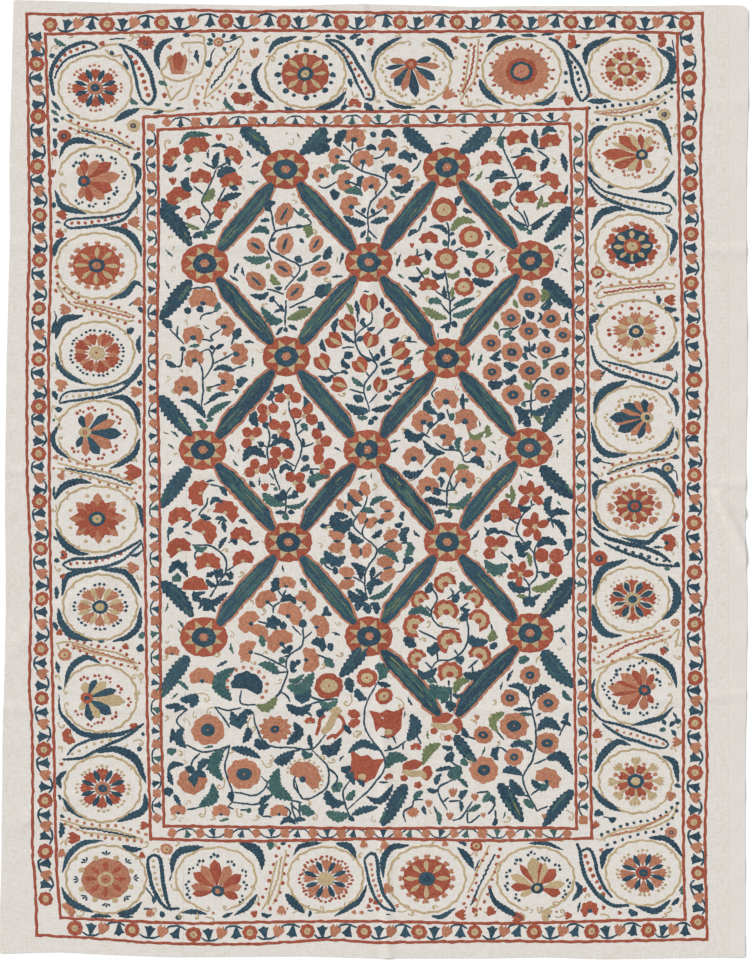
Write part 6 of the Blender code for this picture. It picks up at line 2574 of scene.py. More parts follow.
# The border's rings and their flowers, from the upper left corner round to the left
ROUNDELS = (
    Roundel(95.2, 88, 36.6, 32.6, fans(M, B, S, S, B)),
    Roundel(305.3, 74, 40, 33.4, rayed(M, G, B, G, B, Part.KNOB) + (Whorl(Part.KNOB, B, 27.6, 3.5),)),
    Roundel(413, 72.5, 38, 31.6, petals=(
        (431.9, 57.5, 7), (440.5, 66.5, 7), (436, 80.5, 9), (429.5, 91, 9), (415.5, 97.5, 10),
        (403, 91.5, 9), (394, 86.5, 10), (390, 78.5, 7.5), (385, 68.5, 5), (389.5, 59.5, 7),
    ), root=(411, 64), first=B, second=S, base=M, tips=G, open_at=84),
    Roundel(521.5, 71.5, 39, 33, (
        Whorl(Part.PETAL, M, 28.0, 6.0, 3.4, 0.25, 16),
        Whorl(Part.FAN, S, 6.0, 25.0, 23.5, 0.1),
        Whorl(Part.DISC, S, 20.0, count=16, tier=0.3),
        Whorl(Part.DISC, M, 16.0, count=8, tier=1),
        Whorl(Part.DISC, B, 11.6, count=8, tier=2),
        Whorl(Part.DISC, S, 8.2, count=8, tier=3),
        Whorl(Part.KNOB, M, 0.0, 1.2, count=1, tier=4),
    )),
    Roundel(625.4, 69.3, 36.4, 31, (
        Whorl(Part.FAN, M, 10.5, 11.5, 12.6, 0.5),
        Whorl(Part.PETAL, G, 7.0, 12.5, 6.4, tier=0.5),
        Whorl(Part.TRIO, S, 24.5, 2.0, 5.0, 0.5),
        Whorl(Part.DISC, M, 8.2, count=8, tier=2),
        Whorl(Part.DISC, G, 5.0, count=6, tier=3),
    )),
    Roundel(629.5, 155, 39.3, 33, petals=(
        (654, 146.5, 6), (650.9, 135.5, 9), (640.5, 133.5, 7), (628.4, 133.5, 9), (618.5, 136, 12),
        (610.5, 142.5, 5), (601.5, 154, 12), (611, 161.5, 5), (613.5, 167, 12), (627.5, 171.5, 9),
        (636.5, 173, 7), (650.5, 168.5, 8),
    ), root=(642, 154.8), first=M, second=G, base=B, tips=S, open_at=2),
    Roundel(632, 246.5, 36.6, 32.2, (
        Whorl(Part.HEART, M, 15.5, 12.5, 15.5, 0.5),
        Whorl(Part.CROWN, S, 23.0, 7.0, 6.4),
        Whorl(Part.DISC, B, 20.5, count=8, tier=0.5),
        Whorl(Part.PETAL, G, 7.5, 11.0, 6.0, tier=1.5),
        Whorl(Part.DISC, M, 9.2, count=8, tier=2),
        Whorl(Part.DISC, G, 5.8, count=6, tier=3),
        Whorl(Part.KNOB, B, 0.0, 1.3, count=1, tier=4),
    )),
    Roundel(636, 331.5, 39.5, 31.6, (
        Whorl(Part.CROWN, S, 9.0, 15.5, 11.5),
        Whorl(Part.PETAL, G, 6.5, 14.5, 6.6, 0.5, tier=0.5),
        Whorl(Part.KNOB, M, 27.0, 2.6, turn=0.18),
        Whorl(Part.KNOB, M, 27.4, 2.3, turn=-0.14),
        Whorl(Part.DISC, B, 7.6, count=4, tier=2),
        Whorl(Part.DISC, G, 3.8, count=4, tier=3),
        Whorl(Part.KNOB, M, 0.0, 1.2, count=1, tier=4),
    )),
    Roundel(634, 419.5, 38.5, 33.4, petals=(
        (652, 402, 8), (643.7, 398.5, 9), (633.5, 400.5, 8), (623, 404, 11), (620, 410.5, 8),
        (609.5, 417.5, 12), (614, 424, 6), (617.5, 431.5, 12), (631, 436, 8), (638.5, 438.5, 9),
        (649, 434.5, 7),
    ), root=(646.9, 417.4), first=S, second=B, base=G, tips=G, open_at=4),
    Roundel(634.8, 506, 39, 30.4, (
        Whorl(Part.CROWN, S, 20.0, 9.0, 10.5),
        Whorl(Part.PETAL, G, 20.5, 6.0, 4.2, 0.5),
        Whorl(Part.HEART, M, 6.0, 15.5, 14.5, 0.5),
        Whorl(Part.PETAL, G, 6.5, 12.5, 4.8, tier=1),
        Whorl(Part.DISC, B, 7.6, count=8, tier=2),
        Whorl(Part.DISC, M, 4.5, count=6, tier=3),
        Whorl(Part.KNOB, B, 0.0, 1.2, count=1, tier=4),
    )),
    Roundel(632.4, 599.4, 36.6, 32.4, (
        Whorl(Part.FAN, M, 8.0, 17.0, 15.5),
        Whorl(Part.PETAL, Thread.COTTON, 7.0, 17.0, 9.6, 0.5, tier=0.4),
        Whorl(Part.PETAL, B, 7.0, 15.5, 6.6, 0.5, tier=1),
        Whorl(Part.TRIO, G, 26.6, 1.4, 5.0),
        Whorl(Part.DISC, G, 8.0, count=8, tier=2),
        Whorl(Part.DISC, B, 4.6, count=4, tier=3),
    )),
    Roundel(634.6, 690.5, 37.6, 33.4, petals=(
        (656, 684, 7), (653.5, 673.5, 8), (643, 665.5, 8), (632.5, 670, 9), (620.5, 673.5, 11),
        (615.5, 681.5, 6), (607, 687, 11), (611.5, 694.5, 6), (617.5, 703.5, 11), (627.5, 709.5, 8),
        (643.5, 710.5, 10), (653.5, 703.5, 7),
    ), root=(644.5, 690.3), first=S, second=M, base=B, tips=B, open_at=2),
    Roundel(635.6, 781, 36.6, 31.8, (
        Whorl(Part.PETAL, G, 8.0, 15.0, 4.0),
        Whorl(Part.CROWN, G, 18.5, 11.5, 11.5),
        Whorl(Part.CROWN, S, 18.5, 5.5, 5.5, 0.5),
        Whorl(Part.HEART, M, 8.5, 11.0, 10.5, 0.5),
        Whorl(Part.DISC, B, 8.6, count=8, tier=2),
        Whorl(Part.DISC, G, 5.0, count=4, tier=3),
    )),
    Roundel(643.4, 872.6, 37.6, 32.6, fans(S, B, G, M, B, 0.06)),
    Roundel(535.6, 878.5, 38.4, 32, petals=(
        (561, 893.5, 11), (565.5, 883.5, 9), (556, 869, 12), (545, 862, 11), (541, 862, 6),
        (532, 857, 14), (519.5, 864, 7), (510.5, 874.5, 9), (510, 886.5, 9), (520, 896, 7),
    ), root=(537.2, 888), first=M, second=G, base=B, tips=B, open_at=-92),
    Roundel(426.8, 878.8, 38.4, 33.4, rayed(M, G, B, B, S)),
    Roundel(325.6, 879, 37.6, 32.4, fans(S, B, M, G, G, 0.0) + (Whorl(Part.TRIO, M, 24.5, 1.7, 3.8, 0.5),)),
    Roundel(215.8, 878.8, 40, 31.6, petals=(
        (238.7, 898, 9), (242, 886, 9), (242, 874.5, 11), (230, 865.5, 11), (214.4, 859, 12),
        (201.5, 865, 10), (193, 872, 11), (190.4, 885.5, 9), (192, 894, 8),
    ), root=(217.8, 890.9), first=M, second=S, base=B, tips=B, open_at=-88, waves=13),
    Roundel(106, 879, 40, 34, (
        Whorl(Part.PETAL, G, 22.0, 8.0, 6.4, 0.5, 8),
        Whorl(Part.DISC, S, 24.6, count=12),
        Whorl(Part.PETAL, M, 7.5, 13.5, 6.2, tier=1),
        Whorl(Part.TRIDENT, B, 27.0, 6.6, 2.6),
        Whorl(Part.DISC, G, 8.4, count=8, tier=2),
        Whorl(Part.DISC, S, 5.4, count=6, tier=3),
        Whorl(Part.KNOB, M, 0.0, 2.0, count=1, tier=4),
    )),
    Roundel(102.8, 788.5, 38, 33, fans(M, B, G, S, B)),
    Roundel(100, 698, 37, 33.6, petals=(
        (80, 710.5, 7), (91, 721.5, 10), (99.5, 718.5, 9), (112, 714, 12), (126, 701.5, 12),
        (116.5, 690, 9), (106.5, 681.5, 10), (96.5, 679.5, 9), (84.5, 681.5, 9),
    ), root=(86.7, 698), first=G, second=B, base=M, tips=M, open_at=180),
    Roundel(100.2, 606.8, 37, 32.6, fans(S, G, B, B, G)),
    Roundel(97, 518.8, 40, 33, (
        Whorl(Part.KNOB, G, 28.6, 2.4, turn=0.5),
        Whorl(Part.PETAL, S, 8.0, 21.0, 9.5),
        Whorl(Part.HEART, M, 6.5, 16.5, 14.0, 0.5, tier=0.4),
        Whorl(Part.DISC, B, 8.6, count=8, tier=2),
        Whorl(Part.DISC, G, 5.0, count=6, tier=3),
        Whorl(Part.KNOB, B, 0.0, 1.3, count=1, tier=4),
    )),
    Roundel(97, 433, 40, 32.6, petals=(
        (76.5, 447.5, 7), (85.9, 456.5, 9), (99.6, 454.5, 11), (112.5, 447.5, 12), (122, 434, 12),
        (116, 421, 10), (108.5, 413.5, 9), (91, 412, 9), (81, 415, 9),
    ), root=(85.1, 432.3), first=B, second=S, base=G, tips=M, open_at=180),
    Roundel(97, 353, 37, 31.6, (
        Whorl(Part.FAN, M, 9.0, 15.5, 13.5, 0.35),
        Whorl(Part.PETAL, S, 8.0, 14.0, 6.0, 0.85, tier=0.4),
        Whorl(Part.TRIO, B, 27.0, 1.8, 4.2, 0.35),
        Whorl(Part.KNOB, B, 26.0, 1.6, turn=0.85),
        Whorl(Part.DISC, G, 8.0, count=8, tier=2),
        Whorl(Part.KNOB, M, 0.0, 1.8, count=1, tier=3),
    )),
    Roundel(96.6, 265.5, 39.8, 32.8, rayed(M, G, B, S, S)),
    Roundel(96, 179.5, 37.6, 33, petals=(
        (80, 199, 8), (91.5, 202.5, 9), (104.8, 199.5, 11), (113, 190, 13), (120.5, 175.5, 12),
        (111.5, 162, 12), (98.5, 160, 11), (84.3, 158.5, 9), (78, 167, 8),
    ), root=(84.3, 181.3), first=S, second=M, base=B, tips=B, open_at=180),
)

# The toothed leaves that hug the rings: three to six places on their middle line, the greatest width
CRESCENTS = (
    (113.9, 121.6, 126.3, 114, 140, 108.5, 8), (174.5, 37.6, 162.8, 43.8, 156.6, 54.8, 159.6, 70, 8),
    (268.6, 53.5, 276.2, 42.4, 297, 36.9, 7.5), (346, 91, 335.4, 103, 315, 109.9, 8),
    (262.4, 62.5, 254.5, 74.1, 258.3, 89.3, 274, 103, 8.5), (372, 72, 374.7, 56.2, 385.7, 45.2, 402, 36.9,
    6.5),
    (427, 38.6, 442.9, 45.2, 454.7, 60, 8), (385.5, 100, 396.1, 105.8, 416, 108.1, 5),
    (425.5, 109.2, 433, 107, 440.5, 108.9, 4), (486, 52, 497.2, 40.5, 517, 36.3, 7),
    (479.1, 79, 486.6, 93.3, 503, 104.8, 8), (557, 91.5, 548.4, 101.6, 533, 104, 7),
    (585.5, 65, 588, 49, 611.5, 37, 9), (635.8, 35.3, 644.8, 37.5, 651, 42.5, 5.5),
    (656.5, 47.5, 671.9, 60.1, 668.9, 78.2, 653, 90.5, 9), (586.8, 101.4, 599, 101.2, 611.5, 101.6, 6.5),
    (588, 142.5, 595.3, 130.6, 608, 126.5, 8), (645, 119.6, 663, 126.5, 671.9, 155.5, 7.5),
    (588, 161, 593.7, 172.5, 603, 179, 5.5), (675, 170, 661.4, 187, 638, 191.9, 8),
    (591, 230.5, 600.1, 214.5, 614.6, 208.8, 625.5, 210.4, 8.5), (664.3, 224.5, 675.1, 235.4, 670, 255.5, 7),
    (678.4, 341.6, 671.1, 354.5, 653, 361.8, 9), (593.5, 414.5, 601.7, 393.2, 627.5, 380.3, 10),
    (667.9, 391.6, 676.5, 404.5, 675.9, 417, 5.5), (591.3, 421.5, 596, 443.2, 608.2, 454.5, 628, 454.3, 8),
    (674, 426, 667.9, 443.2, 651, 452, 6.5), (641.5, 473, 653.4, 469.5, 669.5, 480.3, 679, 499, 8),
    (607.6, 481.9, 596, 484, 594.5, 500, 7.5), (592.9, 511, 597.7, 523.9, 609, 531, 6),
    (621, 537.6, 646.9, 542.4, 659.8, 531.9, 679, 525.5, 6), (592.7, 596, 601.7, 570.6, 627, 559.4, 9),
    (667.9, 576, 677, 591.7, 674.3, 607.9, 662, 620.5, 10), (592.7, 604, 596, 622.4, 606.6, 634, 622.5,
    635.5, 9.5),
    (637.5, 653.8, 658.2, 658.7, 672, 670.8, 676.5, 688, 8), (595.5, 678, 591.5, 691.7, 600.5, 708.5, 5.5),
    (673.5, 706, 661.4, 717.5, 631, 725.6, 6.5), (594.5, 772.5, 601.7, 756.3, 616.3, 742.5, 631, 745, 9),
    (662, 756, 674.3, 762.7, 678, 782, 7.5), (592, 786.5, 601.7, 799.8, 621, 812, 8),
    (601.8, 869.5, 603.8, 855.2, 614, 847.8, 7.5), (648.5, 837.7, 664.4, 838.4, 675.2, 845.8, 683, 857.5, 7),
    (634.5, 905.5, 652.3, 911, 661.7, 907.7, 670.5, 899.5, 7.5), (528.5, 843.8, 544.6, 843.1, 564, 850, 5),
    (575.5, 881.5, 580, 890.5, 572.5, 900.5, 7.5), (490, 885.5, 493.5, 899.6, 506.9, 910.4, 524, 919, 7.5),
    (383.5, 878.5, 383, 861.5, 390.9, 848.2, 409.5, 845, 8.5), (457, 847, 466.1, 855.6, 473.8, 868.5, 8.5),
    (431, 915.8, 441, 916.8, 455.5, 908.2, 6), (293.3, 855.3, 301, 846, 322.5, 842.6, 6),
    (335.5, 843.6, 349.6, 846.7, 355.8, 858.8, 8), (285, 893.5, 295.1, 904.2, 304.5, 913, 10),
    (367, 885, 358.5, 901.3, 346.7, 908.7, 334, 916.5, 6.5), (171.5, 874.5, 173.8, 859.2, 182.7, 850.4, 204,
    846.7, 9),
    (239.5, 842.6, 254.9, 848.9, 261, 857.8, 262, 870.5, 10), (180, 912.3, 193, 911.6, 207, 913.8, 6),
    (222, 917.5, 228, 914.5, 233, 912.5, 4.5), (234, 915.5, 247.6, 906.4, 257.5, 894, 6.5),
    (62.5, 872.5, 69.2, 854.8, 83.9, 843, 104, 840.8, 7), (121.5, 845.6, 132, 849.4, 142.7, 849, 7),
    (61.5, 886.5, 70.6, 902, 93.5, 912, 8), (117, 914, 132.6, 910.8, 142, 901.5, 7.5),
    (96.4, 752.8, 115.7, 749.3, 135.1, 759, 146, 783.5, 9.5), (66.8, 770.5, 58.5, 779.2, 61, 789, 6.5),
    (62.2, 797, 70.6, 809.8, 85.6, 819, 5.5), (144.8, 793, 143.2, 809.8, 116.5, 822, 8.5),
    (64.1, 687, 72.2, 666.3, 86.7, 657.4, 101, 663.4, 7.5),
    (59.3, 694, 60.9, 713, 80.3, 732.4, 101.2, 735.6, 125.4, 732.4, 144, 723, 6.5),
    (58.2, 607.5, 61.7, 622.7, 72.2, 635, 92.5, 640.8, 9), (140.7, 606.5, 138.3, 625.9, 127, 637.2, 112.5,
    641.5, 7.5),
    (62, 596, 66.5, 577.5, 80.3, 571.8, 100, 569.6, 7), (100, 569.4, 119, 570.6, 130, 576.5, 142, 598, 7.5),
    (55.2, 499.7, 62.5, 487.1, 78.6, 481.2, 91.5, 483.1, 8), (135.5, 501.8, 141, 511.3, 142.5, 528, 6),
    (55, 527.5, 64.1, 543.5, 77, 552.4, 89.3, 554, 8), (107, 398.4, 122.2, 397.5, 135.1, 408.1, 140.3,
    428.5, 8),
    (60.1, 423.4, 52.6, 437.1, 57.7, 450, 69.8, 459.4, 6), (140.3, 438.7, 131.9, 456.5, 110, 468.8, 7.5),
    (55.2, 339.5, 62.5, 320.8, 83.5, 315.8, 9), (140.2, 334.6, 138.4, 344, 139.4, 354, 6),
    (55, 352.4, 62.5, 371, 86.6, 385, 7), (141.8, 363.6, 135.1, 375.8, 122.8, 385.2, 7.5),
    (102, 227.1, 125.4, 231.6, 138.3, 245, 141, 257, 8), (53.3, 257, 57.7, 243.4, 67.3, 237.6, 7),
    (109.3, 299.9, 125.4, 293.8, 135.9, 282.4, 143.4, 288, 7.5), (59, 158.5, 65.7, 145, 80.3, 140.2, 97.2,
    144.4, 7.5),
    (130.5, 163, 138.8, 170.8, 135.8, 188, 6.5), (55, 189.5, 62.5, 206.3, 86.8, 213.8, 7.5),
    (135.9, 190.5, 138.5, 199, 128, 213, 7),
)


@dataclass(frozen=True)
class Divider:
    """A long slim leaf between two roundels: toothed blue edges, or gold lines round a twist.

    Attributes:
        blue: whether its edges are blue and toothed.
        thread: the thread of its knots.
        lines: for each edge half its width, then the places that it passes.
        knots: for each row of knots their count and size, then the places that the row passes.
        twist: the places that the knotted middle line passes.
        twisted: that line's thread.
    """

    blue: bool
    thread: Thread
    lines: tuple[tuple[float, ...], ...]
    knots: tuple[tuple[float, ...], ...]
    twist: tuple[float, ...] = ()
    twisted: Thread = B

    def stitch(self, needle: Needle) -> None:
        """Work the edges, the twist and the knots."""
        for half, *places in self.lines:
            if self.blue:
                self.stitch_edge(needle, path(places), half)
            else:
                needle.line(G, path(places), half, taper=0.1)
        for count, size, *places in self.knots:
            row = paced(smooth_line(path(places), 1.0), np.linspace(0, 1, int(count)))
            for place in row:
                needle.dot(self.thread, place, size * needle.between(0.85, 1.15))
        if self.twist:
            self.stitch_twist(needle)

    def stitch_edge(self, needle: Needle, places: Line, half: float) -> None:
        """Work one toothed edge."""
        curve = smooth_line(places, 1.0)
        shares, peaks = toothed_shares(round(len(curve) / EDGE_TOOTH))
        edge = paced(curve, shares)
        ends = 0.55 + 0.45 * np.sin(math.pi * np.clip(shares, 0, 1)) ** 0.5
        widths = half * ends * np.where(peaks, 1.15, 0.85)
        needle.basket.layer(needle.region, B).band(edge, widths, widths * 0.9)
        needle.basket.claims.claim(edge, half + 0.4)

    def stitch_twist(self, needle: Needle) -> None:
        """Work the slanting stitches of the middle line."""
        curve = smooth_line(path(self.twist), 1.0)
        heading = math.degrees(cmath.phase(curve[-1] - curve[0]))
        for i, place in enumerate(paced(curve, np.linspace(0, 1, round(len(curve) / TWIST_STEP)))):
            slant = heading + (34 if i % 2 else -18)
            needle.pad(self.twisted, disc_outline(2.1, 1.15, 7), place, slant, tier=0.5)


# The long leaves between the roundels, from the upper left corner round to the left
DIVIDERS = (
    Divider(True, M, (
        (2.4, 54.6, 96, 51.4, 82.4, 51.8, 70, 58, 57.6, 70, 47, 83.6, 42.8, 93, 43.6, 97.6, 48),
        (1.5, 97, 48, 86.3, 51.4, 72.6, 56.2, 62.9, 62.4, 58, 70, 54.5, 79),
    ), ((6, 2.0, 57, 66.5, 63, 57, 72, 51, 83.8, 47),)),
    Divider(True, M, (
        (1.9, 121.5, 45.5, 131.1, 61.7, 135.3, 76.9, 138.7, 92, 141.5, 101),
        (2.5, 118.5, 44.5, 134.6, 50.7, 142.9, 60.3, 149.7, 72.7, 153.2, 85.1, 154.6, 96.2, 149.1, 104, 141,
        99.5),
    ), ((7, 2.5, 131.2, 56.8, 139, 67.5, 143.7, 80.7, 148, 95),)),
    Divider(False, S, (
        (1.1, 235.9, 46.5, 224.2, 58.9, 213.1, 71.3, 207.6, 86.5, 203.5, 98.9),
        (1.1, 239.3, 46.5, 237.9, 60.3, 229.7, 74.1, 217.3, 87.9, 203.5, 98.9),
        (1.1, 239.3, 48, 243.5, 41, 239, 37, 233, 38),
    ), ((8, 1.9, 231, 46.5, 216.6, 66.5, 205, 84, 198, 94.1),
        (9, 1.9, 243.5, 52, 237.9, 67.2, 223.5, 87.9, 197.3, 108.6)),
        (237.9, 49.3, 233.8, 57.6, 226.9, 64.5, 222.8, 72.7, 215.9, 81, 211.8, 87.2)),
    Divider(True, M, (
        (1.8, 325.1, 39.6, 339.6, 50.7, 349.2, 65.8, 356.1, 81, 364.4, 98),
        (2.2, 325.1, 39.6, 338.2, 42.4, 349.2, 50.7, 358.9, 65.8, 367.1, 79.6, 373.3, 90.6, 372.5, 99.5,
        365, 98.5),
    ), ((8, 2.0, 343.7, 50.4, 355.4, 69.6, 363, 82.8, 368.8, 94.8),)),
    Divider(False, M, (
        (1.1, 468.6, 52.6, 467, 69.2, 464.2, 84.2, 459.5, 94.8),
        (1.1, 478.4, 39, 477.6, 57.1, 476, 72.2, 472.3, 82.7, 464, 94.8, 459.5, 100.8),
        (1.1, 455, 36.6, 468, 38, 482, 36.4), (1.1, 463, 105, 475, 107, 485, 104.6, 500, 107.5),
    ), ((10, 1.8, 471, 45, 465, 62, 463, 80, 456, 96), (9, 1.8, 482, 45, 479, 66, 474, 85, 462, 103)),
        (474.6, 47, 472.3, 64.6, 470.8, 73.7, 463.3, 91.8), M),
    Divider(True, B, (
        (2.4, 548.4, 38.3, 559, 43.6, 566.5, 55.6, 571, 72.2, 574, 87.2, 581, 101),
        (2.1, 566.5, 49.6, 575.5, 60.1, 583, 72.2, 587.6, 85.7, 589, 94.8, 581.5, 101.6),
    ), ((6, 2.0, 571.5, 62, 577.3, 73, 581.2, 92), (2, 2.4, 565.7, 73, 566, 82))),
    Divider(False, B, (
        (1.1, 593.6, 111.8, 614.7, 109.8, 635.8, 106.8, 655.4, 100.8, 670.4, 90.3),
        (1.1, 593.6, 112.4, 617.7, 116.2, 635.8, 113.6, 650.8, 108.3, 665.4, 99.3),
    ), ((12, 2.0, 589.5, 108.3, 615.9, 105.3, 641.8, 102, 661.4, 95.5, 672, 88.8),
        (10, 2.0, 597.4, 119.9, 622.2, 118.9, 644.8, 113.6, 659.1, 107.6, 671.2, 97)),
        (603, 113.2, 625, 111.4, 655.4, 103.8), S),
    Divider(True, G, (
        (1.5, 587.2, 176.5, 603.4, 190.6, 625.9, 197.3, 648.5, 201.5, 667.9, 204.8, 671.5, 209, 668.7, 213),
        (2.1, 586.8, 178, 598.5, 193.5, 616.3, 203.2, 637.2, 209.6, 656.6, 213.6, 668.7, 212.8),
    ), ((9, 1.8, 606.3, 195.5, 632.4, 203.2, 662.5, 208.6),)),
    Divider(False, S, (
        (1.1, 596, 298.3, 601.7, 288.6, 632.4, 284.6, 656.6, 283, 674.3, 283.8, 673.5, 288.5),
        (1.1, 597.7, 298.3, 616.3, 293.5, 637.2, 291, 656.6, 289.5, 673.5, 288.5),
    ), ((9, 1.9, 602.5, 287.5, 625, 282, 648.5, 281.5, 676, 276), (8, 1.9, 594.5, 293, 608.2, 308, 630,
    302.5, 665, 288)),
        (605, 292.7, 632, 288, 664, 285.4), M),
    Divider(True, S, (
        (1.6, 601.7, 361, 619.5, 365, 640.5, 371.5, 656.6, 374.7, 671.9, 379.5, 672, 383),
        (2.1, 591.3, 345, 596, 361, 611.4, 372.3, 632.4, 378.7, 651.7, 385.2, 666.3, 388.4, 672, 382.7),
    ), ((9, 1.9, 609.5, 366, 634.8, 373.5, 663.8, 382.4),)),
    Divider(False, M, (
        (1.1, 608.2, 472.3, 616.3, 465, 635.6, 460.2, 655, 455.3, 672.7, 452.9, 679.5, 440, 677, 428),
        (1.1, 608.2, 473.9, 622.7, 469.8, 642, 463.4, 658.2, 461.8, 671, 457.7),
    ), ((9, 1.9, 604, 467.5, 629.6, 459.7, 661.9, 453.7, 675.1, 449.4), (9, 1.9, 611.7, 478.7, 633.7, 471.1,
    671, 457.7)),
        (608.2, 473.5, 630.5, 465, 663, 458.5)),
    Divider(True, B, (
        (2.5, 592.9, 527.9, 605, 536.8, 624.3, 543.2, 645.3, 548, 659.8, 554.5, 671, 562),
        (1.9, 604, 543, 621, 551.3, 640.5, 557.7, 655, 564.2, 669.5, 565.8, 680, 566),
    ), ((7, 2.2, 617.9, 547.3, 639.6, 554.5, 664.6, 561),)),
    Divider(False, S, (
        (1.1, 596.9, 653, 609.8, 647.4, 632.4, 638.5, 653.4, 634.5, 669.5, 630.5),
        (1.1, 595.3, 670.8, 611.4, 662.7, 630.8, 654.6, 651.7, 643.4, 667.9, 638.5, 679, 629, 675, 647),
    ), ((10, 2.0, 594.5, 648, 618.7, 643.4, 641.3, 635.3, 663, 628.8), (10, 2.0, 594, 660, 613.8, 661.1,
    637.2, 650.6, 670.3, 637)),
        (608.2, 657, 621, 648.2, 635.6, 642.5, 661.4, 635.3), M),
    Divider(True, S, (
        (1.7, 591.3, 709.5, 603.4, 720.8, 622.7, 725.6, 643.7, 732.9, 661.4, 738.5, 667.9, 743.4, 664.6,
        748.2),
        (1.9, 602, 723, 608.2, 728, 622.7, 736.9, 640.5, 742.5, 655, 747.4, 664.6, 748.2),
    ), ((8, 1.9, 617.5, 730.5, 640, 736.5, 663, 743.4),)),
    Divider(False, B, (
        (1.1, 606.5, 836.3, 617.3, 830.3, 638.8, 826.3, 659, 820.2, 673.8, 808.1),
        (1.1, 604, 841, 606.5, 837, 628.1, 832.3, 652.3, 826.9, 671.2, 817.5, 677.9, 804),
    ), ((13, 2.0, 601.8, 834.7, 627.4, 824.2, 656, 818.2, 677.2, 803.4), (11, 2.0, 607.2, 845, 637.8, 834.3,
    663, 828.3, 676.8, 810.8)),
        (612, 835, 638, 829, 667, 815), S),
    Divider(True, M, (
        (2.5, 577, 843, 580.3, 853.8, 582.3, 867.3, 587.7, 880.8, 598.5, 895.6, 611.9, 905, 629.4, 905.7),
        (2.1, 581.5, 851, 587, 848.8, 591.4, 851.5, 594.4, 859, 597.1, 871.3, 602.5, 884.8, 611.9, 897.5),
    ), ((7, 2.5, 585.7, 855.9, 590.7, 870.4, 603.6, 894),)),
    Divider(False, M, (
        (1.1, 500, 861.5, 489.7, 879.2, 479.3, 896.9, 474.9, 914.6),
        (1.1, 489.7, 845.3, 484, 856, 475, 876, 468, 893),
    ), ((8, 2.0, 486.7, 853.4, 477, 870, 475.7, 883.6, 463.9, 903.5), (10, 2.0, 500, 849, 494.8, 870.3, 486,
    898.3, 476, 915)),
        (494.1, 855.6, 483.8, 876.2, 471.2, 904.2)),
    Divider(True, S, (
        (1.8, 364.4, 858.5, 367.3, 874.8, 373.2, 893.9, 383.5, 907.2, 396, 911.6),
        (2.1, 364.4, 859, 370.3, 853.4, 376.5, 857.5, 378.4, 874.8, 383.5, 893.9, 395.3, 910.5),
    ), ((8, 1.9, 370.8, 864.1, 373.2, 878.9, 381, 900.5),)),
    Divider(False, M, (
        (1.1, 277, 860.7, 272.6, 876.9, 268.2, 897.6, 262.3, 909.4),
        (1.1, 286.2, 849.7, 283.3, 867.4, 278.8, 891, 272.9, 904.2),
    ), ((8, 2.0, 279, 848, 271, 871, 267, 888, 258.5, 904.3), (8, 2.0, 289.5, 846, 284.5, 871, 281, 889.5,
    270.5, 908.5)),
        (281, 858, 277, 880, 268, 903), G),
    Divider(True, G, (
        (2.2, 179.7, 908.6, 166.5, 907.5, 156.1, 894.6, 150.3, 878.4, 148, 860, 153.2, 854.4),
        (2.4, 153.2, 854.2, 160.2, 859.2, 162, 874, 165, 893.1, 169.4, 907),
    ), ((7, 1.9, 153.2, 860.7, 155.5, 878, 161.6, 895.4),)),
    Divider(False, S, (
        (1.1, 60.3, 819.4, 85.4, 826.8, 116.3, 830.5, 142.9, 839.3),
        (1.1, 66.2, 823.8, 85.4, 832, 116.3, 835.6, 142.9, 839.3),
    ), ((11, 1.9, 69.2, 819.1, 96.4, 825.3, 117, 826, 145.8, 834.2), (12, 1.9, 64.7, 823.8, 92.8, 835.6,
    123.7, 839.3, 141.4, 841.5)),
        (81, 827.5, 101.6, 830.5, 134, 837.1)),
    Divider(True, G, (
        (1.8, 67.4, 755, 77, 745.3, 94.8, 738.8, 117, 734.5),
        (1.9, 62.5, 759.4, 80.3, 758.2, 96.4, 750.9, 112.5, 742.9, 128.6, 735.6, 143.8, 723.8),
    ), ((6, 1.9, 72.2, 754.2, 94.8, 743.7, 110.1, 739.6),)),
    Divider(False, M, (
        (1.1, 56, 643.7, 70.6, 642.1, 96.4, 649.3, 115.7, 652.5, 136.7, 663),
        (1.1, 70.6, 646.9, 93.2, 653.4, 112.5, 657.4, 135.1, 664.6),
    ), ((11, 1.9, 69.8, 638.8, 97.2, 646.1, 117, 649, 139.1, 663), (11, 1.9, 67.4, 645, 91.5, 655.8, 115,
    663, 135.1, 667.9)),
        (73, 645, 96, 652, 133, 662), S),
    Divider(True, M, (
        (2.0, 141.5, 539.5, 128.6, 547.6, 112.5, 554.8, 96.4, 558.1, 75.4, 558.9, 64.1, 562.9, 63.3, 565.8),
        (1.9, 141.5, 542.5, 125.4, 558.1, 112.5, 564.5, 93.2, 568.5, 72.2, 569.4, 63.3, 565.3),
    ), ((9, 1.9, 70.6, 563.7, 94, 562.1, 120.6, 554),)),
    Divider(False, S, (
        (1.1, 57.7, 462.9, 80, 468.5, 106, 472.5, 137, 484),
        (1.1, 57.7, 468, 80, 473.5, 104, 481, 133, 489),
    ), ((12, 1.9, 53.6, 457.3, 86.7, 465.3, 113.3, 472.6, 139.9, 487.1), (10, 1.9, 53.6, 468.5, 82.7, 477,
    114.9, 486.3, 135.9, 492.7)),
        (66.5, 468.5, 88.3, 472.6, 109.3, 477.4, 130.3, 484.7)),
    Divider(True, G, (
        (1.6, 135.1, 375.8, 117.4, 384.7, 96.4, 389.5, 72.2, 391.1, 62.5, 395.2, 59.3, 402),
        (1.8, 139.9, 371, 125.4, 387.1, 112.5, 393.5, 93.2, 397.6, 72.2, 400.8, 59.3, 403.2),
    ), ((8, 1.9, 66.5, 396.8, 85.9, 394.8, 112.5, 390.3),)),
    Divider(False, M, (
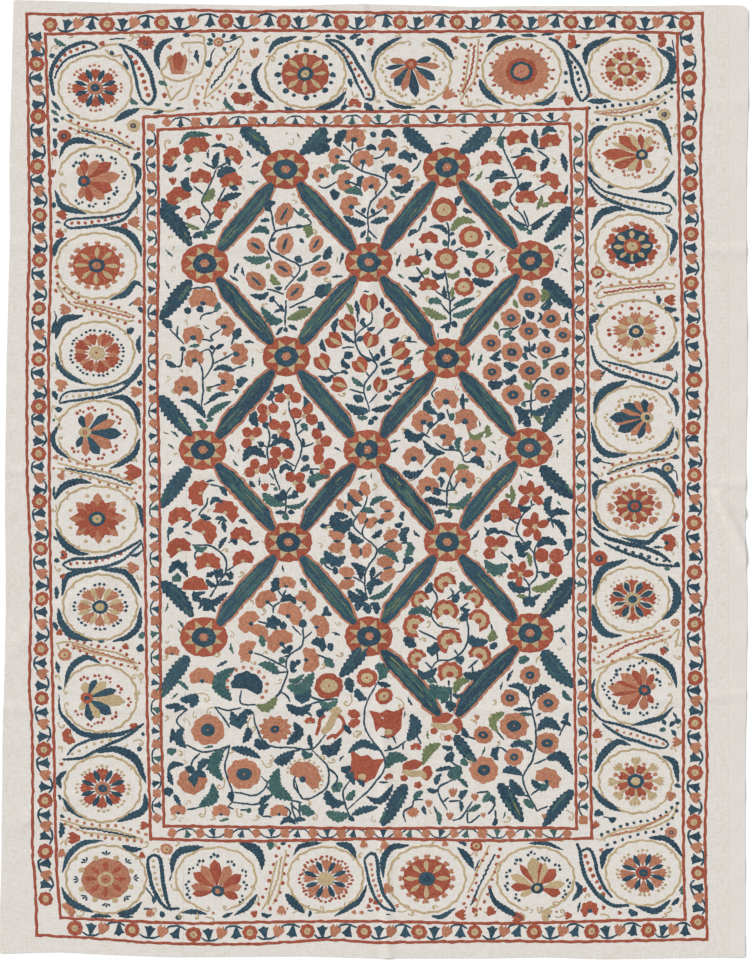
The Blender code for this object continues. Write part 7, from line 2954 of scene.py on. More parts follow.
        (1.1, 57.7, 285.4, 80.3, 301.5, 109.3, 307.9, 135.1, 316),
        (1.1, 57.7, 287, 72.2, 304.7, 96.4, 311.2, 125.4, 320.8, 134, 320),
    ), ((12, 1.9, 57.7, 283.7, 85.1, 300.7, 110.9, 303.9, 139.9, 321.6), (10, 1.9, 56, 291, 78.6, 308.7,
    103.6, 316, 125.4, 323.3)),
        (75, 302.5, 100, 309, 129, 317), S),
    Divider(True, M, (
        (1.6, 135.9, 203.5, 125.4, 212.5, 104.5, 216.8, 80.3, 218.4, 67.4, 220, 64.1, 224.5),
        (1.9, 136.9, 202, 125.4, 217.6, 109.3, 224.1, 88.3, 226.5, 72.2, 228.1, 64.1, 224.1),
    ), ((8, 1.9, 72.2, 223.3, 92.8, 222, 118.2, 217.1),)),
    Divider(False, M, (
        (1.1, 62.5, 119, 88.3, 129.5, 112.5, 134.5, 135.1, 149.9),
        (1.1, 69, 127.3, 93.2, 137, 115.7, 143.4, 135.1, 149.9),
    ), ((10, 2.0, 70.6, 120.8, 97.2, 128.1, 122.2, 133.7, 138.5, 149), (8, 2.0, 70.6, 128.5, 96.4, 138.6,
    114, 146.8, 127.5, 153)),
        (82.7, 130.5, 104.5, 136.2, 130.3, 147.5)),
)


@dataclass
class RoundelBorder:
    """The broad border: roundels, the slim leaves between them, and the small sprigs in the gaps."""

    needle: Needle

    def stitch(self) -> None:
        """Work the whole border."""
        for divider in DIVIDERS:
            divider.stitch(self.needle)
        for *places, width in CRESCENTS:
            line = path(places)
            teeth = round(float(np.abs(np.diff(line)).sum()) / CRESCENT_TOOTH)
            self.needle.leaf(B, line, width, teeth, bite=0.20, fullness=self.needle.between(0.85, 1.15),
                             blunt=0.62)
        for roundel in ROUNDELS:
            roundel.stitch(self.needle)
        self.stitch_vase()
        for spray in BORDER_SPRAYS:
            spray.stitch(self.needle)

    def stitch_vase(self) -> None:
        """Work the one open ring at the top left, with a vase in it and loose gold ends below."""
        needle = self.needle
        for row in VASE_LINES:
            needle.line(G, path(row), 1.15, taper=0.1)
        needle.pad(S, fan_outline(23, 20, 4, 0.66, 0.22), spot(178, 74.5), 90, rings=2)
        needle.pad(M, disc_outline(5.4, 9.2, 24, 5, 0.06), spot(178, 61), 0, tier=1)


# The gold lines of the open ring at the top left
VASE_LINES = (
    (183.5, 47.9, 181.4, 43.8, 189.7, 42.4, 203.5, 43.8, 205.6, 53.4, 203.5, 64.5, 200.7, 72.7, 191.1, 77.5,
    177.3, 81,
     166.3, 77.5, 160.8, 71.3, 166.3, 65.8, 167.7, 57.6, 170.4, 56.2),
    (191.1, 35.5, 198, 35.5, 203.5, 37.6, 203.5, 43.8), (163.5, 76.9, 166.3, 87.9, 171.1, 100.3),
    (171.1, 100.3, 177.3, 93.4, 183.5, 87.9), (178, 101, 187, 96.2, 191.1, 85.1, 194.5, 77.5, 202, 73),
    (140, 108.5, 152.5, 109.2, 166.3, 111.3, 180, 109.2), (98, 49.3, 107, 45.2, 118, 43.8),
    (105, 50, 113, 56, 122, 55, 121, 59),
)

# The sprigs, buds and loose leaves in the border's gaps
BORDER_SPRAYS = (
    # Top
    Spray(
        heads=(
            (Head.BUD, M, (
                (99, 44, 0, 0.7), (164.5, 98, 90, 0.6), (257, 103.5, -95, 0.8), (268, 107, 168, 1.2),
                (367, 41, -10, 0.8), (451, 40, 0, 0.9), (447, 106.5, 180, 0.5), (567.5, 106, 80, 1.15),
            )),
            (Head.BUD, S, (
                (195, 106, 75, 0.8), (190, 64, 0, 0.4), (171, 49.5, 120, 0.6), (255, 58, 95, 1.1),
                (444, 99, 50, 1.4), (558, 41, 90, 0.7), (593, 94, -160, 0.5),
            )),
            (Head.CARNATION, M, ((242, 97, -90, 0.95), (355, 104, 80, 0.62))),
            (Head.STAR, M, ((145.6, 43.1, 0, 0.72),)),
            (Head.COIN, S, ((218.7, 42.4, 0, 0.55),)),
            (Head.CARNATION, M, ((571, 42, 0, 0.66), (661, 40.5, 0, 0.62))),
        ),
        stems=(
            (109.8, 39.3, 117, 38.8, 125.6, 39), (215.2, 48, 211.5, 54, 210, 63), (223, 42, 231, 41, 242, 36),
            (303, 39, 311, 37), (346.5, 98, 344, 105), (672, 40, 674, 50, 675.5, 58.6), (345, 107, 349, 106),
        ),
        leaves=(
            (54, 38.3, 60, 43, 66, 46, 6), (49, 57, 52, 56, 55.5, 54.5, 5), (51.5, 100, 56, 105, 61, 110.5,
            5),
            (51, 110.3, 55, 113, 59, 115.8, 5), (66.5, 114.4, 70, 116.5, 74, 118.6, 3.5), (60, 118, 62, 118,
            64, 117, 4),
            (53, 118, 56, 120, 59, 122, 5), (110, 51, 112, 53, 114.5, 54.5, 5), (122.5, 61, 125.5, 65,
            128.8, 70, 5),
            (130, 97, 133, 101.5, 138.5, 104, 6), (182.5, 35.5, 186, 35.3, 190.5, 35.6, 5), (158, 83, 163,
            82.5, 167, 86, 6),
            (164.5, 103.5, 168, 105, 171, 103.5, 4), (152.5, 113.5, 158, 112.5, 164, 111.5, 4.5), (175.5,
            109, 179, 108.8, 184, 108.5, 3),
            (214.5, 38, 213, 35, 211.5, 33, 4), (222, 38, 223.5, 35, 224.5, 33, 4), (213.5, 41, 210, 39.5,
            207, 39, 4.5),
            (213.5, 44, 210, 44, 206.5, 43.5, 4), (223, 47, 224.5, 50, 225, 52, 4), (230, 38.5, 233, 36.5,
            237, 36.5, 6),
            (210, 60, 210, 63.5, 210, 68, 8), (225.3, 96.5, 226, 104.4, 235, 111.5, 6.5), (238, 89, 242, 86,
            246.5, 88, 7),
            (252, 39, 255, 40, 259, 39.5, 5), (303, 36.5, 306, 37.5, 312.5, 37.6, 6), (325, 36, 328, 36.5,
            331, 36, 4),
            (335, 35.8, 340, 38, 345.5, 38, 6.5), (349, 39, 354, 36, 361, 34, 6), (356, 46, 360, 43, 364,
            39, 9),
            (361, 54.5, 363, 58.3, 365, 62.5, 3.5), (348, 79, 350, 83, 351, 88, 6), (364.5, 103, 369, 107,
            373, 112, 9),
            (341, 110, 344.5, 107, 348, 105, 5), (378, 108.8, 381, 107.6, 384, 107.4, 4), (284.5, 106.5,
            289.5, 109, 296, 110.8, 6),
            (459, 44.5, 463, 46, 467, 49, 6), (486, 36.8, 491, 36, 497.5, 35.6, 4.5), (521, 35, 529, 35.5,
            537.5, 36, 4.5),
            (541, 35, 547, 34.6, 554, 34, 4), (569, 46.5, 575, 46.5, 581, 44.5, 5), (666, 48, 670, 49.5,
            674, 52, 5),
            (668.5, 82, 673, 82, 677.5, 82.5, 5),
        ),
        curls=(
            (50.5, 52, 80, 11, -1), (69, 38, 10, 6, 1), (128, 41, 20, 10, 1), (134, 37.5, 0, 8, 1), (242,
            83.7, 95, 7, 1),
            (212, 107, 120, 10, 1), (222, 110, 30, 12, -1), (247, 105.8, 50, 9, 1), (250, 98, 80, 8, -1),
            (270.7, 35.5, 200, 12, 1),
            (265.2, 57, 20, 12, -1), (352, 92, -80, 9, 1), (343, 94, 100, 8, -1), (376, 96, -100, 9, 1),
            (385, 96, 100, 7, 1),
            (468, 98, -100, 9, 1), (560, 92.5, 10, 9, -1), (558, 97, -40, 7, 1), (583, 38, -10, 9, 1), (594,
            96, -30, 9, -1),
            (452, 62, 80, 9, -1), (311, 37.6, 0, 14, 1), (395, 36, -20, 7, 1), (300, 44, 200, 6, 1), (600,
            39, -30, 6, 1),
        ),
        stem_half=0.9,
        leaf_swell=1.0,
    ),
    # Right
    Spray(
        heads=(
            (Head.BUD, M, (
                (586, 206, 30, 1.3), (606, 275, 5, 0.6), (587, 283, 10, 0.6), (664, 300, 0, 1.25), (593,
                737, 35, 1.1),
                (590, 640, 10, 0.9), (660, 648, -40, 0.9), (593, 827, 40, 0.8), (678, 489, -90, 0.9),
            )),
            (Head.BUD, S, (
                (672, 264, 80, 0.8), (676, 388, -95, 0.9), (590, 375, 0, 1.4), (666, 371, 45, 0.9), (682,
                742, 180, 1.1),
                (590, 305, 20, 0.4), (676, 795, 190, 1.1),
            )),
            (Head.COIN, M, ((597.7, 272.6, 0, 0.72),)),
            (Head.COIN, S, ((675, 622.4, 0, 0.46),)),
            (Head.DAISY, M, ((599.3, 558.5, 0, 0.80),)),
            (Head.DAISY, S, ((671.2, 832.3, 0, 0.58),)),
            (Head.POPPY, M, ((668, 542.4, 10, 0.82), (675.5, 517.4, 0, 0.46))),
            (Head.DAISY, G, ((664.2, 114.5, 0, 0.62),)),
            (Head.COIN, B, ((667.5, 468.2, 0, 0.64),)),
        ),
        stems=(
            (670, 469, 676, 472, 677.5, 482), (601, 461, 608, 463, 613, 463.5), (675.9, 370.6, 677, 377,
            676.7, 383),
            (603, 817, 608, 817.5, 612, 818.8), (663, 194, 668, 192.8, 674, 200, 676, 206),
        ),
        leaves=(
            (607, 187.5, 610.5, 187, 614.5, 187.5, 5), (662, 196, 666, 193.5, 669, 193, 5), (671, 196,
            674.5, 200, 676.5, 206, 4.5),
            (597, 305.5, 601, 304.8, 605, 306.5, 4), (589, 323, 594, 318, 599, 313.5, 9), (589.5, 322,
            591.5, 329, 591, 335, 5.5),
            (656.5, 295, 658.5, 300, 659, 305, 6), (664.5, 307.5, 670, 309.5, 677, 309, 7), (673, 317,
            676.5, 318.5, 680, 320, 6),
            (676, 356, 678, 354, 679.5, 351, 4), (672, 382, 675.5, 379, 677, 372, 4.5), (592, 460, 597,
            460.5, 602, 460, 8),
            (590.5, 471, 594.5, 475, 599, 480, 4), (672, 459, 676, 457.5, 680, 458, 5), (598, 380, 600.5,
            375, 605, 371, 5),
            (591, 538, 594, 543, 600, 547.5, 4.5), (673.5, 564, 676.5, 565, 680, 566, 6), (664, 569, 667,
            569, 670, 569.5, 5),
            (653.5, 547, 658, 547, 663, 547.5, 3.5), (675.5, 430, 677.5, 436, 678.5, 440, 4), (674, 720,
            677.5, 720, 681, 720.5, 6.5),
            (669, 727, 672, 724, 676, 722, 5), (671, 730, 674, 734, 676, 737, 5), (666, 730, 662, 730, 659,
            731, 5.5),
            (665, 725, 664, 722, 662, 719.5, 4.5), (594, 815, 599, 814, 604, 814.5, 9), (608, 818, 612,
            818.8, 616, 818.5, 6.5),
            (591, 828, 594, 826, 596, 823, 4), (674, 785, 677.5, 786, 681, 787, 5), (673, 712, 675, 716,
            677, 719, 3),
            (669, 651, 665, 650, 663.5, 646, 5),
        ),
        curls=(
            (672, 214, 200, 12, 1), (600, 204.8, 0, 12, 1), (668, 176, 200, 8, 1), (596, 381, 150, 12, -1),
            (597.7, 268, 120, 9, -1),
            (590, 250, 80, 10, -1), (592, 305, -30, 9, -1), (664, 310, 60, 8, 1), (668, 262, -60, 8, 1),
            (590, 388, -90, 11, 1),
            (596, 474, -40, 9, 1), (677, 548, 80, 10, 1), (675, 640, -70, 11, 1), (677, 612, 120, 8, -1),
            (593, 660, -60, 9, 1),
            (595.5, 748, -80, 14, 1), (605, 740, 30, 8, -1), (594, 722, 60, 9, 1), (677, 728, 30, 9, 1),
            (676, 752, 100, 9, 1),
            (596, 838, -30, 9, 1), (594, 800, 100, 8, 1), (666, 648, 60, 8, 1), (598, 575, -80, 8, 1), (674,
            655, -60, 9, 1),
            (678, 140, 90, 9, 1), (676, 130, 100, 8, -1), (589, 120, -80, 8, 1),
        ),
        stem_half=0.9,
        leaf_swell=1.0,
    ),
    # Bottom
    Spray(
        heads=(
            (Head.BUD, M, (
                (142, 852, -90, 0.75), (255, 917.5, 100, 0.8), (370, 903, 70, 0.6), (371, 907, 160, 0.55),
                (375, 908, -20, 0.5),
                (373, 904, 30, 0.6), (487, 915, 45, 1.1), (572, 916, 180, 0.85), (606, 907, 190, 0.5), (622,
                912.5, 180, 0.5),
                (524, 918, 175, 1.3), (455, 914.6, 0, 1.25), (581.5, 889.9, 0, 0.6), (473, 913, 60, 0.7),
                (473, 902, 60, 0.6),
            )),
            (Head.BUD, S, (
                (149, 908, -80, 1.0), (281.5, 905.5, -90, 1.05), (363, 840, -80, 0.9), (384, 840, -85, 1.1),
                (351.5, 912.3, 0, 0.5),
                (359, 912.3, 0, 0.5), (394.5, 905.7, 0, 0.5), (445, 840, -90, 0.75), (386, 883, -70, 1.2),
                (62, 849, -90, 0.95),
                (599, 849.8, 0, 0.5),
            )),
            (Head.COIN, S, ((166.5, 849, 0, 0.66),)),
            (Head.CARNATION, S, ((68.5, 909.5, 40, 0.72),)),
            (Head.COIN, M, ((476.4, 846, 0, 0.66),)),
            (Head.POPPY, M, ((589.7, 909.5, 100, 0.86),)),
            (Head.FAN, G, ((547.3, 915.8, 160, 0.62),)),
        ),
        stems=(
            (145.8, 887, 152, 896, 156, 902), (171.5, 874.5, 171, 878, 169.5, 881), (386, 914, 391, 914.3),
            (479.5, 860, 474.5, 871),
        ),
        leaves=(
            (90, 917, 100, 916, 112, 916.4, 6), (118.5, 916, 126, 917, 134, 916.7, 5), (143.5, 909, 148,
            908.5, 153, 909, 3),
            (160, 911.5, 162.3, 914.5, 162.5, 918, 6), (175, 918, 178.3, 917.6, 182, 917.6, 5.5), (152, 896,
            153.5, 900, 154, 904, 5),
            (261.5, 913, 266, 915, 272, 914.5, 5.5), (266.5, 843, 269.7, 845.5, 270, 850, 7.5), (280, 843.5,
            284, 843, 286, 842.5, 4),
            (309, 910, 310.5, 913, 309, 917, 4), (458, 842, 463, 843.5, 466, 846, 5.5), (488, 887, 490, 890,
            489, 894, 4),
            (629, 909, 632, 912.5, 638, 913.5, 8), (671, 905, 675, 901, 679, 897.5, 6), (679, 891, 681.5,
            889, 683, 886, 5),
            (680, 893, 683, 894, 684.5, 895, 4), (598, 896, 601, 895, 605, 899, 4),
        ),
        curls=(
            (143, 848, 20, 10, 1), (153, 851, 40, 8, -1), (175, 846, 20, 8, 1), (168, 858, -60, 7, 1), (147,
            912, -20, 12, 1),
            (184, 911, 200, 10, 1), (205, 917, 0, 14, -1), (197, 913, -60, 8, -1), (170.9, 884, -80, 11, 1),
            (292, 913, 10, 8, 1),
            (298, 909, -40, 9, 1), (315, 913, 0, 13, 1), (345, 902, -100, 8, 1), (362, 853, 200, 7, 1),
            (376, 850, 20, 7, -1),
            (398, 911, -10, 14, 1), (408, 914, -30, 7, 1), (438, 907, 150, 7, 1), (470, 857, 60, 10, -1),
            (484, 912, 0, 9, 1),
            (474, 917, 30, 7, 1), (503, 905, -80, 12, 1), (520, 912, -30, 11, -1), (538, 906, -100, 9, 1),
            (560, 903, 150, 9, 1),
            (585, 899, 80, 8, -1), (555, 917, 0, 14, 1), (600, 914, 0, 14, -1), (667, 913, 20, 9, 1), (680,
            908, 80, 9, -1),
            (662, 917, 0, 7, 1), (255, 890, 100, 7, 1), (258, 895, -80, 11, -1), (60, 845, 60, 9, -1), (76,
            916, 0, 12, 1),
            (278, 842, 200, 7, 1), (430, 845, 20, 8, 1), (560, 841, 0, 8, 1),
        ),
        stem_half=0.9,
        leaf_swell=1.0,
    ),
    # Left
    Spray(
        heads=(
            (Head.BUD, M, (
                (51, 153, 0, 0.8), (52.5, 177, 90, 0.9), (56.5, 214.4, 0, 1.15), (64, 236, 160, 1.0), (60,
                576.6, 0, 0.75),
                (56, 634, 20, 0.8), (137, 724, 215, 0.9), (149, 825.3, 180, 1.0), (80, 838.5, 175, 1.35),
                (54, 268, 20, 0.6),
                (55, 276, 0, 0.6), (121, 226, 0, 0.8), (142, 472.6, 180, 1.9), (59, 764, 0, 0.5), (122, 648,
                20, 0.8),
            )),
            (Head.BUD, S, (
                (128, 222, 0, 1.35), (71, 309.5, 180, 1.25), (133, 303, 10, 1.05), (56, 380.6, -40, 1.4),
                (142, 391, 185, 1.3),
                (139, 568, 180, 1.35), (137, 401, -60, 0.7), (57, 476, 0, 0.9), (53, 457, 0, 0.6), (136,
                500, 150, 0.5),
            )),
            (Head.DAISY, M, ((64.1, 136.2, 0, 0.66),)),
            (Head.DAISY, G, ((133.5, 125.7, 0, 0.66),)),
            (Head.POPPY, M, ((63.3, 554.8, 0, 0.46),)),
            (Head.COIN, S, ((64.9, 655, 0, 0.70),)),
            (Head.CARNATION, M, ((69, 736.4, 200, 0.76),)),
        ),
        stems=(
            (54.5, 311, 56, 318, 53, 326, 52, 334), (129, 306, 132, 303, 135, 301), (141.5, 541, 143, 549,
            139, 553, 132, 555),
            (55, 487, 53.5, 493, 55, 499),
        ),
        leaves=(
            (54, 138, 54.5, 143, 55.5, 149, 6), (132.5, 160, 136.7, 157, 140, 152, 7.5), (53, 128, 55, 130,
            57, 128, 4),
            (53.5, 202, 53.6, 205.5, 54, 209, 5), (54, 222.5, 57.5, 222, 61.5, 222.8, 3), (51.5, 334, 54.5,
            327, 56, 319, 6),
            (127, 334, 131, 331, 134, 328, 8), (138, 307, 140, 310, 142, 313, 5), (52.5, 391, 55.3, 394.4,
            57, 400, 7),
            (55, 409.5, 58.5, 408.8, 62.5, 408, 6), (52, 420, 53.6, 420.2, 55.5, 420.5, 3.5), (137, 382,
            140, 382.5, 143, 384, 6.5),
            (54, 487, 53.2, 493, 54.8, 500, 4), (130, 555, 136, 556.5, 141, 553, 3), (54, 561, 57, 561.3,
            60, 561.5, 5),
            (56, 586, 57, 592, 57, 599, 6), (53.5, 622, 55.5, 627, 57, 631, 5.5), (136, 648, 140, 649.5,
            144.5, 650, 9),
            (138.5, 638, 142, 636, 145, 632, 7.5), (98, 641, 101.2, 641.3, 105, 641.4, 4), (56.5, 661, 57.5,
            667, 58.5, 673, 6),
            (57, 688, 59, 688, 62, 688.5, 4.5), (137, 748, 139.5, 748.2, 142.5, 748.5, 5.5), (141, 734, 143,
            734.5, 145, 735, 4),
            (60, 822, 61.5, 829, 60, 838, 7), (60, 815, 62.5, 816, 65, 817, 4), (53, 536, 55.5, 539, 58,
            541, 4),
            (141, 807, 143.5, 808, 146, 811, 5), (58.5, 794, 59.5, 797, 60, 800, 3.5),
        ),
        curls=(
            (75, 134, 10, 12, 1), (52, 160, 80, 8, 1), (60, 188, 60, 8, -1), (136, 228, -40, 9, 1), (60,
            228, -60, 9, 1),
            (136, 214, 60, 8, 1), (56, 370, 80, 10, 1), (52, 412, 100, 8, -1), (55, 415, -80, 8, 1), (137,
            462, 100, 9, 1),
            (128, 462, 60, 10, -1), (65, 498, 30, 9, 1), (56, 505, -80, 9, -1), (128, 568, 160, 12, 1),
            (137, 575, -80, 9, 1),
            (58, 645, -80, 11, 1), (130, 668, 30, 11, -1), (141, 683, 100, 14, 1), (136, 700, 110, 12, -1),
            (128, 745, 200, 10, 1),
            (133, 741, 20, 13, -1), (62, 752, 80, 8, 1), (58, 722, -80, 10, 1), (55, 566, -80, 9, 1), (60,
            680, 100, 8, 1),
            (66, 846, 100, 11, -1), (63, 806, -80, 8, 1), (140, 680, 40, 9, 1), (139, 760, -80, 9, -1),
            (138, 620, 90, 7, 1),
        ),
        stem_half=0.9,
        leaf_swell=1.0,
    ),
)


@dataclass
class LowField:
    """The field below the lattice: large flowers on long scrolling stems."""

    needle: Needle

    def stitch(self) -> None:
        """Work the scrolls and the flowers that are not alike."""
        for spray in LOW_SPRAYS:
            spray.stitch(self.needle)
        self.open_flower(spot(331, 725))
        self.gold_flower(spot(415, 772), 1.0)
        self.gold_flower(spot(445, 725), 1.05)
        self.three_leaves(spot(195, 775))
        for down in (714, 723):
            self.needle.pad(M, disc_outline(6.4, 4.6, 24, 7, 0.10), spot(354, down),
            20 if down > 720 else -20)

    def open_flower(self, at: complex) -> None:
        """Work a flower that is a red outline with a gold band through it."""
        needle = self.needle
        for side in (-1, 1):
            line = at + np.array([3 - 13j, 12 - 4j, 12 + 5j, 7 + 10j]) * side
            if side < 0:
                line = at + np.array([-15 - 10j, -12 - 2j, -11 + 5j, -6 + 10j])
            needle.line(M, line, 1.9, taper=0.1)
        needle.line(M, at + np.array([-4 - 14j, 2 - 10j, 6 - 11j]), 1.8)
        needle.line(G, at + np.array([-9 - 8j, -3 - 2j, 2 + 7j, 6 + 13j]), 3.6, tier=1)
        needle.disc(G, at + 5 + 14j, 6.0, 4.6, lobes=6, depth=0.06, tier=0.5)

    def gold_flower(self, at: complex, size: float) -> None:
        """Work a flower of unlike red petals round a wide gold band."""
        needle = self.needle
        needle.pad(M, disc_outline(10.5, 5.2, 28, 5, 0.05) * size, at - 3 + 7j, 12, rings=2)
        needle.pad(M, disc_outline(5.4, 7.6, 24, 5, 0.06) * size, at + 12 - 1j, -10)
        needle.disc(M, at - 11 - 6j, 3.8, 3.4, lobes=5, depth=0.08)
        needle.disc(M, at + 3 - 13j, 4.2, 3.6, lobes=5, depth=0.12)
        needle.line(G, at + np.array([-13 + 1j, -2 - 2j, 6 - 1j, 11 - 6j]) * size, 3.3, tier=1, taper=0.5)

    def three_leaves(self, at: complex) -> None:
        """Work a large round flower with three dark leaves that hang into it."""
        needle = self.needle
        BLOOMS[Head.POPPY].stitch(needle, S, at + complex(-3, -6), -100, 1.36)
        for angle, length in ((-95, 16), (-25, 13), (160, 11)):
            needle.petal(B, at + 4j, angle, length, 8.0, tier=2, fullness=0.9)


@dataclass
class Fillers:
    """Small leaves, buds and tendrils worked wherever a stitcher would see bare cloth."""

    needle: Needle

    def fill(self, corner: tuple[float, float], other: tuple[float, float], tries: int,
             leaf_share: float, curl_share: float, size: float) -> None:
        """Fill a box of the chart.

        Args:
            corner: its upper left corner.
            other: its lower right corner.
            tries: how many places are looked at.
            leaf_share: the share of them that get a leaf.
            curl_share: the share that get a tendril; the rest get a knot.
            size: how long a leaf is, in squares.
        """
        needle = self.needle
        for _ in range(tries):
            at = spot(needle.between(corner[0], other[0]), needle.between(corner[1], other[1]))
            angle = needle.between(0, 360)
            pick = needle.between(0, 1)
            if pick < leaf_share:
                self.try_leaf(at, angle, size * needle.between(0.75, 1.25))
            elif pick < leaf_share + curl_share:
                self.try_curl(at, angle, size * needle.between(0.7, 1.0))
            elif needle.basket.claims.is_free(at, 2.6):
                needle.dot(G if pick > 0.97 else S, at, 1.5)

    def try_leaf(self, at: complex, angle: float, length: float) -> None:
        """Work a leaf with its bit of stem where there is room."""
        needle = self.needle
        bend = needle.between(-35, 35)
        reach = at + length * np.array([0, 0.33, 0.66]) * turned(angle)
        reach = np.append(reach, reach[-1] + 0.4 * length * turned(angle + bend))
        if not needle.basket.claims.is_free(reach, 1.2 + 0.17 * length):
            return
        share = needle.between(0, 1)
        thread = B if share < 0.62 else T if share < 0.94 else O
        width = length * needle.between(0.36, 0.46)
        needle.leaf(thread, reach, width, 3, bite=0.42, fullness=needle.between(0.8, 1.5))

    def try_curl(self, at: complex, angle: float, size: float) -> None:
        """Work a gold tendril where there is room."""
        needle = self.needle
        side = 1 if needle.between(0, 1) < 0.5 else -1
        middle = at + size * 0.8 * turned(angle + side * 40)
        if needle.basket.claims.is_free(np.array([at, at + size * 0.5 * turned(angle), middle]), 2.6):
            needle.curl(at, angle, size, side)

    def stitch(self) -> None:
        """Fill the field, then the broad border."""
        for box, tries, leaf_share, curl_share, size in FILLED_BOXES:
            self.fill(box[:2], box[2:], tries, leaf_share, curl_share, size)


# What is filled: box, tries, share of leaves, share of tendrils and leaf length
FILLED_BOXES = (
    ((163, 130, 568, 665), 2200, 0.75, 0.25, 10.5),
    ((163, 130, 568, 665), 1800, 0.70, 0.28, 7.0),
    ((166, 665, 572, 822), 700, 0.6, 0.4, 12.0),
    ((166, 665, 572, 822), 700, 0.6, 0.4, 8.0),
    ((54, 40, 674, 104), 900, 0.8, 0.2, 12.0),
    ((592, 104, 676, 846), 900, 0.8, 0.2, 12.0),
    ((56, 104, 139, 846), 900, 0.8, 0.2, 12.0),
    ((62, 846, 680, 914), 900, 0.8, 0.2, 12.0),
    ((54, 40, 674, 104), 1200, 0.50, 0.40, 8.0),
    ((592, 104, 676, 846), 1500, 0.50, 0.40, 8.0),
    ((56, 104, 139, 846), 1500, 0.50, 0.40, 8.0),
    ((62, 846, 680, 914), 1200, 0.50, 0.40, 8.0),
)


@dataclass
class Sewing:
    """The plain sewing: the seam's whip stitches and the hem's running stitches."""

    cloth: GroundCloth
    seam_pitch: float = 0.011
    hem_pitch: float = 0.009

    def run(self, needle: Needle, line: UnevenLine, off: float, pitch: float, slant: float,
            length: float) -> None:
        """Work a row of stitches from the head to the foot.

        Args:
            needle: the needle.
            line: the line that they follow.
            off: how far beside it they lie, in metres.
            pitch: from one stitch to the next, in metres.
            slant: their direction, in degrees.
            length: their length, in squares.
        """
        count = int((self.cloth.length - 0.04) / pitch)
        for i in range(count):
            share = (0.02 + i * pitch) / self.cloth.length
            y = self.cloth.length * (0.5 - share)
            at = complex((float(line.at(share)) + off) / SQUARE, y / SQUARE)
            stitch = np.array([-0.5, -0.17, 0.17, 0.5]) * length * turned(slant)
            needle.basket.layer(needle.region, Thread.COTTON).band(
                at + stitch, 0.16, height=0.0005, tier=0.0
            )

    def stitch(self, needle: Needle) -> None:
        """Work the seam and the hem."""
        self.run(needle, SEAM, 0.0, self.seam_pitch, 60, 1.3)
        self.run(needle, HEM_LINE, 0.0012, self.hem_pitch, 90, 2.2)


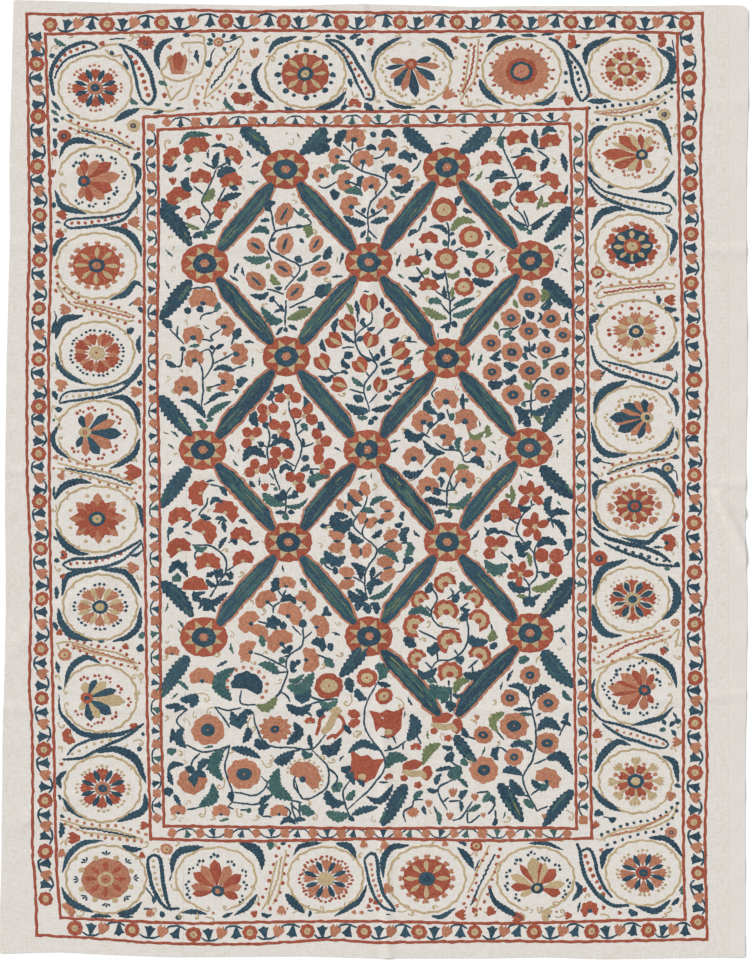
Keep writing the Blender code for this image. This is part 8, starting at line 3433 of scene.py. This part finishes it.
@dataclass
class Studio:
    """The floor, the light and the camera straight above the cloth."""

    floor_size: float = 14.0
    floor_colour: Colour = (0.95, 0.95, 0.95, 1.0)
    camera_height: float = 5.867
    camera_x: float = 0.0022
    camera_y: float = -0.0011
    lens: float = 100.0
    sensor: float = 36.0
    key_strength: float = 2.6
    key_spread: float = 22.0
    key_place: tuple[float, float, float] = (-2.6, 2.4, 2.9)
    world_strength: float = 0.56

    def build(self) -> None:
        """Make all of it."""
        self.build_floor()
        self.build_lights()
        self.build_camera()

    def build_floor(self) -> None:
        """Make the plain pale floor."""
        mesh = bmesh.new()
        bmesh.ops.create_grid(mesh, x_segments=2, y_segments=2, size=self.floor_size / 2)
        data = bpy.data.meshes.new("floor")
        mesh.to_mesh(data)
        mesh.free()
        wiring = Wiring("floor_paper")
        wiring.shader.inputs["Base Color"].default_value = self.floor_colour
        wiring.shader.inputs["Roughness"].default_value = 0.95
        wiring.shader.inputs["Specular IOR Level"].default_value = 0.0
        data.materials.append(wiring.material)
        floor = bpy.data.objects.new("floor", data)
        bpy.context.scene.collection.objects.link(floor)

    def build_lights(self) -> None:
        """Make the soft surrounding light and the large lamp at the upper left."""
        world = bpy.data.worlds.new("studio")
        world.use_nodes = True
        sky = world.node_tree.nodes["Background"]
        sky.inputs["Color"].default_value = (1.0, 1.0, 1.0, 1.0)
        sky.inputs["Strength"].default_value = self.world_strength
        bpy.context.scene.world = world
        bpy.context.scene.view_settings.view_transform = "Standard"
        lamp = bpy.data.lights.new("key", "SUN")
        lamp.energy = self.key_strength
        lamp.angle = math.radians(self.key_spread)
        key = bpy.data.objects.new("key", lamp)
        bpy.context.scene.collection.objects.link(key)
        key.location = self.key_place
        key.rotation_euler = (-key.location).to_track_quat("-Z", "Y").to_euler()

    def build_camera(self) -> None:
        """Make the camera, square above the cloth."""
        lens = bpy.data.cameras.new("camera")
        lens.lens = self.lens
        lens.sensor_width = self.sensor
        lens.sensor_fit = "AUTO"
        lens.clip_end = 50.0
        camera = bpy.data.objects.new("camera", lens)
        bpy.context.scene.collection.objects.link(camera)
        camera.location = (self.camera_x, self.camera_y, self.camera_height)
        bpy.context.scene.camera = camera


def report(piece: bpy.types.Object) -> None:
    """Log a piece's name and how many faces it has."""
    LOG.info("%s: %d faces", piece.name, len(piece.data.polygons))


def main() -> None:
    """Build the cloth, work the embroidery and set up the studio."""
    logging.basicConfig(level=logging.INFO, format="%(name)s: %(message)s")
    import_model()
    cloth = GroundCloth()
    for piece in cloth.build(CottonFinish().make()):
        report(piece)
    basket = Basket()
    RedFrames(Needle(basket, "frame", 1)).stitch()
    OuterVine(Needle(basket, "outer_vine", 2)).stitch()
    InnerVine(Needle(basket, "inner_vine", 3)).stitch()
    RoundelBorder(Needle(basket, "border", 4)).stitch()
    Lattice(Needle(basket, "lattice", 5)).stitch()
    sprigs = Needle(basket, "sprays", 6)
    for spray in SPRAYS:
        spray.stitch(sprigs)
    LowField(Needle(basket, "low_field", 7)).stitch()
    Fillers(Needle(basket, "fillers", 8)).stitch()
    Sewing(cloth).stitch(Needle(basket, "sewing", 9))
    materials = {thread: THREAD_FINISHES[thread].make(f"{thread.value}_thread") for thread in Thread}
    for layer in basket.layers.values():
        piece = layer.raise_stitches(cloth, materials[layer.thread])
        if piece:
            report(piece)
    Studio().build()
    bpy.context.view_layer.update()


if __name__ == "__main__":
    main()
